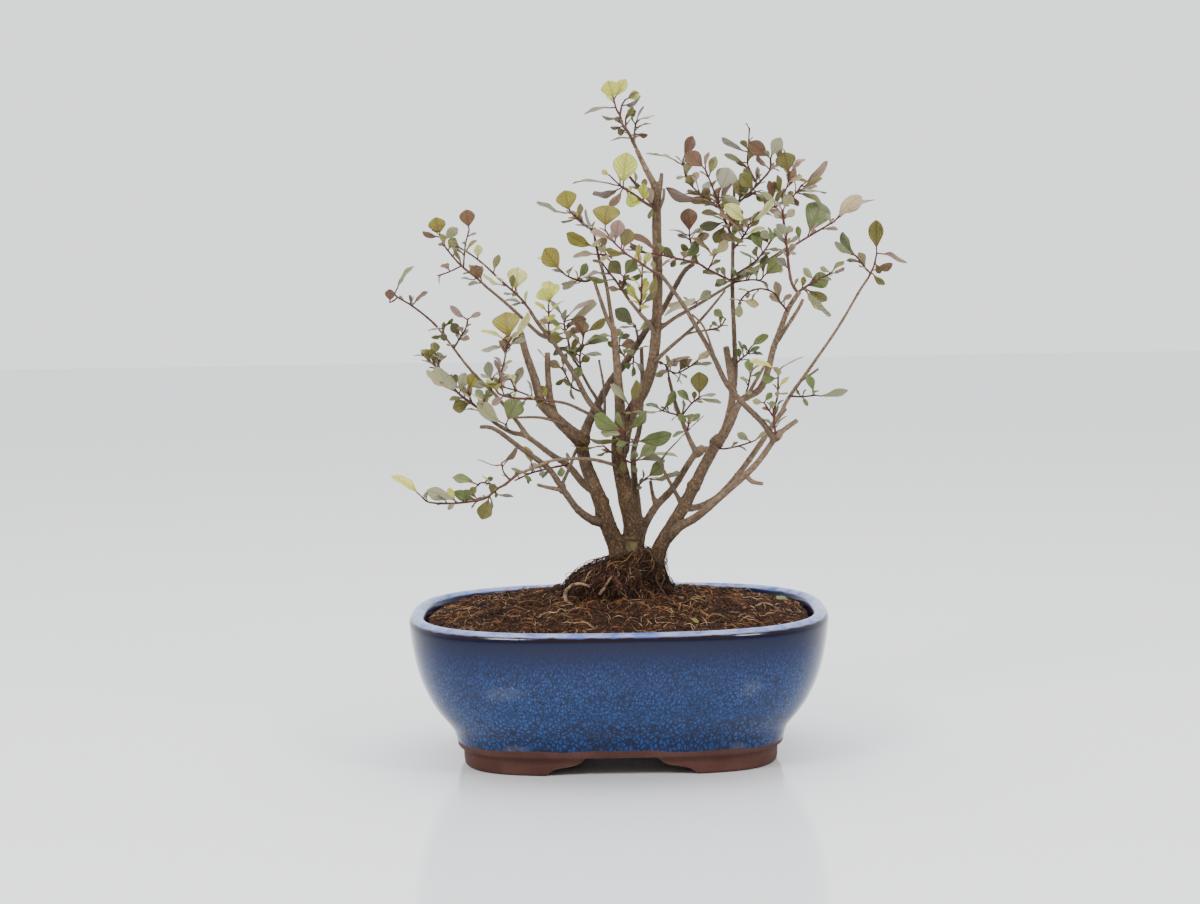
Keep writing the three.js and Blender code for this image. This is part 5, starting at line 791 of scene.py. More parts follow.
# Wood. Four stems rise from one stump and fork, thick and brown at the foot and thinner and tan higher up.
# The bark is finely fissured along the stem, and each pruned stub ends in a pale flat cut.
# A spot is given as it is seen from the front: across, up and how far away, on the line of sight to the eye.
eye_across = -7.7
eye_height = 259.3
eye_distance = 1100.0
limbs = [
  ["stump", [[8, 72, 0], [8, 78, 0], [9, 85, 0]], [17, 20, 19]],
  ["trunk_a", [[4, 78, -2], [1, 88, -3], [-0.4, 100, -3], [-4.4, 110, -4], [-7.1, 120, -5], [-11, 130, -6],
    [-14.4, 140, -7], [-17, 153, -8]], [10, 8.6, 8, 7.2, 6.4, 6]],
  ["a_left", [[-16.6, 151, -8], [-24, 158, -11], [-31, 165, -13], [-35.4, 170, -14], [-37.9, 180, -16],
    [-42.6, 195, -18], [-44.5, 204, -20]], [6, 5, 4, 3.2]],
  ["a_left_rod", [[-29, 163, -12], [-31, 172, -10], [-31.9, 183, -9], [-32, 194, -8]], [3.6, 2.8]],
  ["a_behind", [[-16, 152, -7], [-12, 162, -1], [-7.9, 169.4, 5], [-2.3, 179.4, 9], [4, 187, 11],
    [10.3, 196.3, 12], [17, 206.3, 13], [22.8, 212.5, 14], [27, 220, 15], [33.4, 231, 17], [38.4, 235, 18]],
  [4.6, 4, 3.6, 3, 2.4]],
  ["a_low_left", [[-7, 112, -4], [-11.6, 113, -8], [-18.5, 118, -12], [-24, 125.6, -16], [-27.5, 131, -18],
    [-33, 138.8, -21], [-44.5, 147.5, -25], [-57.6, 157.5, -29], [-65, 158.8, -31]],
    [4.4, 3.4, 3, 2.6, 2]],
  ["a_low_stub", [[-25.6, 127.8, -17], [-33, 129.2, -20], [-38, 130.6, -22]], [2.2, 1.4]],
  ["a_mid_left", [[-9, 126, -5], [-16, 131, -2], [-22.9, 139.4, 2], [-31, 145, 6], [-42.6, 153.8, 12],
    [-50, 156, 15], [-57.6, 160.6, 18], [-62, 165, 21]], [4, 3.2, 2.6, 2]],
  ["a_mid_left_rise", [[-42, 153.4, 11.6], [-47, 161, 13], [-57, 173.8, 13], [-68.3, 185.6, 15],
    [-79.5, 200.6, 17], [-84, 206.6, 18]], [2.4, 2, 1.6, 1.3]],
  ["trunk_b", [[8, 78, -1], [8, 90, -2], [7.8, 100, -2], [7.4, 110, -3], [6.2, 117, -3], [4.9, 123, -3],
    [3, 132, -3], [1.6, 141, -3], [1.4, 152, -4], [2.2, 165, -5], [1.5, 180, -6], [0.9, 190, -6],
    [-0.6, 206, -6]], [12, 10.4, 9.4, 8.6, 7.6, 7, 5.4, 4.4, 3.8, 3.2]],
  ["b_fork_left", [[-0.4, 204, -6], [-3.5, 210, -7], [-9.3, 228, -8]], [2.2, 1.6]],
  ["b_fork_up", [[-0.6, 204.5, -6], [-1.7, 213, -5], [-3.5, 226, -4], [-6.2, 236, -4]], [2.2, 1.5]],
  ["leader", [[2, 146, -3], [5, 158, -2], [8, 165, -1], [13.4, 175, 0], [16.3, 182, 1], [18.6, 191, 2],
    [20, 206, 2], [20.9, 220, 2], [20.9, 245, 1], [20.9, 268, 0]], [6.4, 6, 5.4, 5, 4.8, 4.4]],
  ["leader_tip", [[20.7, 266, 0], [20, 272, 0], [16, 280, -1], [11.6, 289.5, -3]], [3.6, 3, 2.2]],
  ["leader_stub", [[21.5, 266, 0], [23, 273, -1], [23.6, 278, -1]], [2.8, 2]],
  ["leader_spur", [[22, 261, 0], [24.2, 266, -2], [24.5, 270.5, -2]], [1.8, 1.2]],
  ["b_left", [[1.5, 152, -4], [-5, 161, -8], [-12.9, 170.6, -11], [-19, 182.5, -14], [-24.8, 192, -16],
    [-30, 200, -19], [-36, 207.5, -22], [-40.4, 214.8, -24]], [3.6, 3, 2.6, 2.2, 1.8]],
  ["b_left_low", [[-31, 201, -19.5], [-35.8, 202.8, -18], [-45.8, 212.5, -14], [-53.3, 219.4, -11],
    [-59.4, 224.6, -9]], [1.9, 1.3]],
  ["b_thin", [[-5.5, 162, -8], [-9, 171.5, -5], [-12.3, 177, -4], [-17.4, 187, -4]], [1.8, 1.3]],
  ["behind_rod", [[11.2, 107, 6], [9.5, 125, 9], [8.4, 135, 10], [8.4, 146, 11], [11.5, 158, 14],
    [13, 178, 18], [12.8, 196, 20]], [3.6, 3.2, 2.6, 2]],
  ["trunk_e", [[13, 80, -2], [18, 91, -5], [21, 100, -6], [26.5, 110, -6], [32.5, 120, -6], [37.8, 130, -6],
    [43, 140, -5], [49, 150, -4]], [9.6, 8, 7, 6.4, 6, 5.6, 5.2]],
  ["e_rod", [[48.4, 148.6, -4], [52.4, 156, -2], [55, 166, 0], [56, 174, 1], [54.6, 185, 2],
    [53, 195.5, 2]], [4.4, 3.8, 3.6, 3.2]],
  ["e_right", [[48.6, 148.8, -4], [54, 157, -7], [59.8, 169, -8], [68.8, 174.5, -10], [73, 184, -12],
    [75.6, 194, -13], [79.4, 204, -15], [83, 213, -17], [88.4, 221, -19]], [4.2, 3.6, 3.4, 3, 2.4]],
  ["e_right_fork", [[77.6, 198, -14], [83, 205.6, -10], [87.8, 213, -6], [90, 217.5, -5]], [2.4, 1.8]],
  ["e_inner_stub", [[62.5, 170, -9], [65.5, 176, -5], [68.5, 181, -3], [72, 187, -1]], [2, 1.3]],
  ["e_centre", [[56, 172.5, 1], [57.4, 182, 3], [57.2, 195, 4], [56.7, 210, 5], [56.4, 224, 6],
    [57, 248, 8], [57.8, 271.5, 10]], [2.8, 2.5, 2.2, 1.9, 1.5]],
  ["e_low_right", [[24, 104, -6], [30.3, 109.4, -10], [39, 114.4, -14], [51.5, 125, -18],
    [61.9, 133.8, -21], [68.8, 141, -22], [77.5, 152.5, -24], [86.9, 159.7, -28]], [4.6, 4, 3.4, 3, 2.4]],
  ["e_low_stub", [[62, 133.4, -21], [65, 130.4, -23], [70, 129.3, -26]], [2.2, 1.7]],
  ["e_crossing", [[75.5, 150.6, -24], [70, 158.8, -24], [61, 168, -25], [53, 178, -26], [47, 190.6, -27],
    [39, 205, -29], [32, 217, -30], [24, 228, -31], [22.6, 230, -31]], [3, 2.8, 2.4, 2]],
  ["e_crossing_twig", [[48, 188.5, -27], [46.5, 194, -29], [42.4, 205, -32], [37, 211, -34]],
    [1.3, 0.9]],
  ["e_back_right", [[32, 118, -6], [37.8, 118.4, -1], [44, 120.6, 3], [50.9, 125.6, 6], [60.6, 136.9, 10],
    [70, 150, 13], [77.5, 161, 15], [81.3, 165.5, 16]], [3.4, 3.2, 3, 2.6]],
  ["far_right", [[79.3, 163.2, 15.5], [82.5, 170, 17], [93.8, 185.6, 20], [106.6, 203.8, 23],
    [116.3, 220, 25], [120.6, 226.4, 25]], [1.9, 1.6, 1.3, 1.2]],
  ["far_right_stub", [[88.6, 178.5, 18.6], [93, 181.2, 16], [97, 184, 15]], [1.4, 1.1]],
  ["behind_right", [[9, 92, 0], [10.6, 99, 4], [12.4, 108, 6], [18.4, 118.8, 10], [27, 128, 13],
    [35.5, 141, 16], [39.5, 145.6, 17], [46, 146.6, 18]], [4.4, 4, 3.8, 3.4, 3]],
  ["behind_right_rise", [[38.4, 144.6, 16.8], [35.3, 151, 17], [32, 159.4, 17], [28.4, 169.4, 18],
    [25.5, 181.6, 18]], [2.8, 2.2, 1.9]],
  ["behind_right_spur", [[18.8, 118.6, 10], [17, 126, 12], [16.2, 132, 13]], [2.4, 1.8]],
  ["e_spur", [[31.8, 118.6, -6], [27, 128, -11], [23.4, 135, -14], [22, 142, -16], [33.4, 154.4, -19],
    [42.4, 162.8, -21]], [2.6, 1.8, 1, 0.9]],
  ["leader_right", [[20.4, 203.6, 2], [26, 207.4, 4], [30, 210, 6], [40, 215.5, 9], [57, 225.5, 15],
    [70, 233, 16], [81.4, 240, 17]], [2.3, 1.9, 1.6, 1.3]],
  ["leader_front", [[19, 188.6, 0], [26, 195, -3], [40, 207, -8], [53, 222, -13]], [2, 1.5, 1]],
  ["leader_front_twig", [[33, 201, -5.5], [38, 202.4, -7.5], [43.4, 203.1, -9]], [1.1, 0.9]],
  ["leader_left", [[19, 202.6, 1], [16, 207.4, -4], [12.3, 211.7, -7], [7.4, 218, -9.5]], [2.2, 1.6]],
  ["twig_left", [[-7, 161.2, -8.5], [-15.4, 165.6, -12], [-23, 169.2, -14], [-29.4, 170.5, -15.6]],
    [1.7, 1.3]],
  ["twig_low_left", [[-17, 155.4, -8.6], [-26.6, 160, -15], [-36, 162.8, -19], [-48, 163, -24]],
    [1.7, 1.1]],
  ["b_low_left", [[2, 138.5, -3], [-9.8, 142, -12], [-19.8, 142.8, -17], [-31, 142, -22],
    [-40.8, 138.2, -27], [-47, 135.9, -30]], [1.7, 1.5, 1.3]],
  ["twig_bridge", [[-26.6, 129.6, -17.4], [-24, 135, -14], [-21.6, 140.6, -11], [-19, 147, -8.6],
    [-16, 150, -8]], [1.6, 1.6]],
  ["needle", [[-5.3, 161.4, -8.2], [-5.2, 175, -7.4], [-7.5, 190, -7]], [1.5, 1]],
  ["e_fan_long", [[57.5, 226, 8], [70, 234, 2], [82.6, 242, -3]], [1.3, 0.9]],
  ["e_fan_short", [[57.3, 227, 7], [66, 233.6, 9], [74.4, 239.6, 11]], [1.2, 0.9]],
]
knuckles = [
    ([47.6, 149.4, -4.4], 6.8), ([77.6, 152.4, -24], 4.6), ([40, 145.4, 17], 5), ([-26, 128.6, -17], 4),
    ([-15.8, 151.4, -7.6], 7.4), ([56.2, 172, 0.6], 4.6), ([36.8, 128.6, -6], 7.4), ([-7, 119, -5], 7.6),
]
cut_limbs = [
    "a_left_rod", "a_low_stub", "trunk_b", "b_fork_left", "leader_tip", "leader_stub", "behind_rod", "e_rod",
    "e_low_stub", "e_low_right", "behind_right_rise", "needle", "e_inner_stub", "a_left", "e_right_fork",
    "behind_right_spur", "b_left", "b_thin",
]
# Limbs that lie behind others or in their shadow: their bark gets painted shade.
limbs_in_painted_shade = [
    "a_behind", "a_mid_left", "behind_rod", "e_spur", "twig_bridge", "twig_left", "needle", "a_low_left",
    "b_left", "b_thin", "e_crossing", "e_centre", "leader_front", "e_crossing_twig", "b_left_low",
    "twig_low_left",
]
thinnest_in_remesh = 2.3
remesh_size = 0.00058
knot_spot = (1.6, 134.6)
knot_reach_limit = 5.0
wound_middle = (6.2, 100.0)
wound_half_height = 4.0
limb_sides = 14
stump_height = 100.0
no_cut = 99.0
samples_at_once = 4000
stump_flare = 0.22
stump_flare_height = 9.0
limb_flare = 0.30
limb_flare_run = 1.3
fissure_size = 1.5
lump_size = 3.2
scar_width = 0.55
cut_depth = 0.35
least_cut_radius = 0.7
dark_foot_top = 104.0
dark_foot_fade = 14.0
dark_share = 0.55


def in_sight(spot):
    """The place in space of a spot as it is seen from the front."""
    across, up, away = spot
    depth = (eye_distance + away) / eye_distance
    x = eye_across + (across - eye_across) * depth
    z = eye_height + (up - eye_height) * depth
    return Vector((x, away, z))


def make_limb(name, route, diameters, samples):
    """One stem's rings, and along its middle the samples that the bark is drawn from."""
    rings, centres = tube([in_sight(spot) for spot in route], diameters, limb_sides, 6)
    grown_from_stump = route[0][1] < stump_height
    flare_height = stump_flare_height if grown_from_stump else limb_flare_run * diameters[0]
    flare = stump_flare if grown_from_stump else limb_flare
    total = centres[-1][4]
    for row, (point, along, across, radius, run) in enumerate(centres):
        size = 1 + flare * math.exp(-run / flare_height)
        rings[row] = [point + (spot - point) * size for spot in rings[row]]
        to_cut = total - run if name in cut_limbs else no_cut
        samples.append((point, along, across, radius * size, run, to_cut, len(samples), name in limbs_in_painted_shade))
    return rings


def make_knuckle(spot, diameter):
    """A short thick swelling where limbs fork."""
    middle = in_sight(spot)
    half = Vector((0.2, 0, 0.42)) * diameter
    route = [middle - half, middle, middle + half]
    rings, centres = tube(route, [diameter * 0.6, diameter, diameter * 0.6], limb_sides, 3)
    return rounded_end(rounded_end(rings, centres), centres, last=False)


def nearest_samples(points, samples):
    """For every point, the number of the limb sample whose surface lies nearest."""
    middles = np.array([tuple(sample[0]) for sample in samples])
    radii = np.array([sample[3] for sample in samples])
    squares = (middles ** 2).sum(1)
    found = np.empty(len(points), dtype=int)
    for start in range(0, len(points), samples_at_once):
        part = points[start:start + samples_at_once]
        flat = (part ** 2).sum(1)[:, None] + squares[None, :] - 2 * part @ middles.T
        gaps = np.sqrt(np.maximum(flat, 0)) - radii[None, :]
        found[start:start + samples_at_once] = gaps.argmin(1)
    return found


def bark_relief(grain, radius, run):
    """How far the bark stands out at a spot, in millimetres: fissures on old wood and leaf scars on young."""
    old = min(1.0, max(0.0, (radius - 1.6) / 2.4))
    across, aside, along = grain
    ridges = 1 - abs(rough((across, aside, along * 0.22), fissure_size, 3))
    fissures = (ridges - 0.75) * 0.7 * old
    lump = rough((across * 0.5, aside * 0.5, along * 0.28), lump_size, 2)
    lumps = lump * (0.08 + 0.16 * old) * radius * 0.5
    scar_gap = 7.0 + 2.0 * radius
    scar = math.exp(-((run % scar_gap - scar_gap / 2) / scar_width) ** 2) * (1 - old) * 0.11 * radius
    return fissures + lumps + scar


def make_bark():
    """Bark from brown plates to smooth tan, pale cuts, a healed wound, and painted shade on shadowed limbs.
    """
    finish, tree, shader = new_finish("myrtle_bark", 0.8, 0.3)
    youth = attribute_of(tree, "youth")
    cut = attribute_of(tree, "cut")
    wound = attribute_of(tree, "wound")
    shade = attribute_of(tree, "shade")
    grain = attribute_of(tree, "grain", "Vector")
    long_grain = add_node(tree, "ShaderNodeMapping", {"Vector": grain, "Scale": (1.0, 1.0, 0.2)}).outputs[0]
    streaks = add_node(tree, "ShaderNodeTexNoise", {
        "Vector": long_grain, "Scale": 900.0, "Detail": 5.0, "Roughness": 0.65,
    }).outputs["Fac"]
    net = add_node(tree, "ShaderNodeTexVoronoi", {"Vector": long_grain, "Scale": 720.0},
                   feature="DISTANCE_TO_EDGE").outputs["Distance"]
    plates = ranged(tree, net, 0.0, 0.22)
    patches = noise_in(tree, place_on(tree), 95.0, 4.0)
    old = graded(tree, streaks, [(0.27, "3a2b20"), (0.42, "6d563f"), (0.58, "96795d"), (0.76, "c4a685")])
    fissured = blended(tree, ranged(tree, plates, 0.0, 1.0, 0.55, 0.0), old, colour("33241b"))
    young = graded(tree, streaks, [(0.27, "6c5748"), (0.48, "9c8570"), (0.7, "c4ae96")])
    bark = blended(tree, youth, fissured, young)
    mottle = graded(tree, patches, [(0.3, "b9aea6"), (0.5, "e2dcd6"), (0.68, "fffaf2")], plain=True)
    bark = blended(tree, 0.6, bark, mottle, "MULTIPLY")
    # Painted shade: the shade mask darkens the bark of limbs behind or in shadow and in the knot's hollow,
    # and darkens the wood towards its foot.
    bark = blended(tree, product_of(tree, shade, 0.62), bark, colour("2c211b"))
    pale = blended(tree, ranged(tree, streaks, 0.35, 0.65), colour("a58d68"), colour("cdbb93"))
    bark = blended(tree, cut, bark, pale)
    healed = blended(tree, ranged(tree, patches, 0.35, 0.65), colour("76684a"), colour("988a64"))
    bark = blended(tree, wound, bark, healed)
    tree.links.new(bark, shader.inputs["Base Color"])
    height = sum_of(tree, product_of(tree, plates, ranged(tree, youth, 0.0, 1.0, 0.5, 0.1)), streaks)
    bumped(tree, shader, height, 0.0006, 0.85)
    return finish


def put_attribute(mesh, name, kind, values):
    layer = mesh.attributes.new(name, kind, "POINT")
    key = {"FLOAT": "value", "FLOAT_VECTOR": "vector", "FLOAT_COLOR": "color"}[kind]
    layer.data.foreach_set(key, np.asarray(values, dtype=np.float32).ravel())


def make_wood():
    """The thick stems fused to one skin, the thin ones as they are, and the bark's relief on both."""
    samples = []
    thick_points, thick_faces, thin_points, thin_faces = [], [], [], []
    for name, route, diameters in limbs:
        rings = make_limb(name, route, diameters, samples)
        is_thick = max(diameters) >= thinnest_in_remesh
        points, faces = (thick_points, thick_faces) if is_thick else (thin_points, thin_faces)
        faces += skin(rings, len(points))
        points += [spot for ring in rings for spot in ring]
    for spot, diameter in knuckles:
        rings = make_knuckle(spot, diameter)
        thick_faces += skin(rings, len(thick_points))
        thick_points += [point for ring in rings for point in ring]

    bark = make_bark()
    body = new_piece("thick_stems", thick_points, thick_faces, [bark])
    clean_faces(body.data)
    fuse = body.modifiers.new("fuse", "REMESH")
    fuse.mode = "VOXEL"
    fuse.voxel_size = remesh_size
    ease = body.modifiers.new("ease", "SMOOTH")
    ease.factor = 0.5
    ease.iterations = 4
    settle(body)
    thin = new_piece("thin_stems", thin_points, thin_faces, [bark])
    clean_faces(thin.data)

    shell = bmesh.new()
    shell.from_mesh(body.data)
    shell.from_mesh(thin.data)
    mesh = bpy.data.meshes.new("myrtle_wood")
    shell.to_mesh(mesh)
    shell.free()
    for piece in (body, thin):
        bpy.data.objects.remove(piece)
    mesh.materials.append(bark)

    count = len(mesh.vertices)
    spots = np.empty(count * 3)
    mesh.vertices.foreach_get("co", spots)
    spots = (spots.reshape(-1, 3) - np.array((pot_middle.x, pot_middle.y, 0.0))) / MM
    normals = np.empty(count * 3)
    mesh.vertices.foreach_get("normal", normals)
    normals = normals.reshape(-1, 3)
    owners = nearest_samples(spots, samples)
    grains, youths, cuts, wounds, shades = [], [], [], [], []
    for index in range(count):
        point, along, across, radius, run, to_cut, order, in_painted_shade = samples[owners[index]]
        spot = Vector(spots[index])
        aside = along.cross(across)
        offset = spot - point
        grain = Vector((offset.dot(across), offset.dot(aside), run + offset.dot(along)))
        behind_cut = to_cut - offset.dot(along)
        cut = 1.0 if behind_cut < cut_depth and radius > least_cut_radius else 0.0
        relief = bark_relief(grain, radius, grain.z) * (1 - cut)
        facing_front = normals[index][1] < -0.25
        knot_reach = math.hypot(spot.x - knot_spot[0], spot.z - knot_spot[1])
        knot = 0.0
        if facing_front and knot_reach < knot_reach_limit and spot.y < 2:
            knot_collar = 0.75 * math.exp(-((knot_reach - 1.9) / 0.7) ** 2)
            knot_hollow = 0.8 * math.exp(-(knot_reach / 1.1) ** 2)
            relief += knot_collar - knot_hollow
            knot = math.exp(-(knot_reach / 1.3) ** 2)
        wound_up = spot.z - wound_middle[1]
        half_width = 0.4 + 0.42 * (wound_up + wound_half_height)
        inside = min(half_width - abs(spot.x - wound_middle[0]), wound_half_height - abs(wound_up))
        wound = 0.0
        if facing_front and spot.y < 0:
            wound = min(1.0, max(0.0, inside / 0.5))
            relief += 0.5 * math.exp(-((inside + 0.3) / 0.5) ** 2) - 0.35 * wound
        spots[index] += normals[index] * relief
        grains.append((grain * MM)[:2] + (grain.z * MM + order * 0.013,))
        youths.append(min(1.0, max(0.0, 1.25 - (radius - 1.0) / 2.2)))
        cuts.append(cut)
        wounds.append(wound)
        foot = min(1.0, max(0.0, (dark_foot_top - spot.z) / dark_foot_fade))
        # The shade mask: painted shade on limbs behind or in shadow and in the knot's hollow, and the wood
        # darker towards its foot.
        shades.append(min(1.0, max(dark_share * in_painted_shade, knot, dark_share * foot * (1 - wound))))
    spots = spots * MM + np.array((pot_middle.x, pot_middle.y, 0.0))
    mesh.vertices.foreach_set("co", spots.ravel())
    put_attribute(mesh, "grain", "FLOAT_VECTOR", grains)
    for name, values in (("youth", youths), ("cut", cuts), ("wound", wounds), ("shade", shades)):
        put_attribute(mesh, name, "FLOAT", values)
    mesh.shade_smooth()
    wood = bpy.data.objects.new("myrtle_wood", mesh)
    bpy.context.scene.collection.objects.link(wood)
    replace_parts(wood, "wood")
    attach(wood, "root")
    return samples


limb_samples = make_wood()

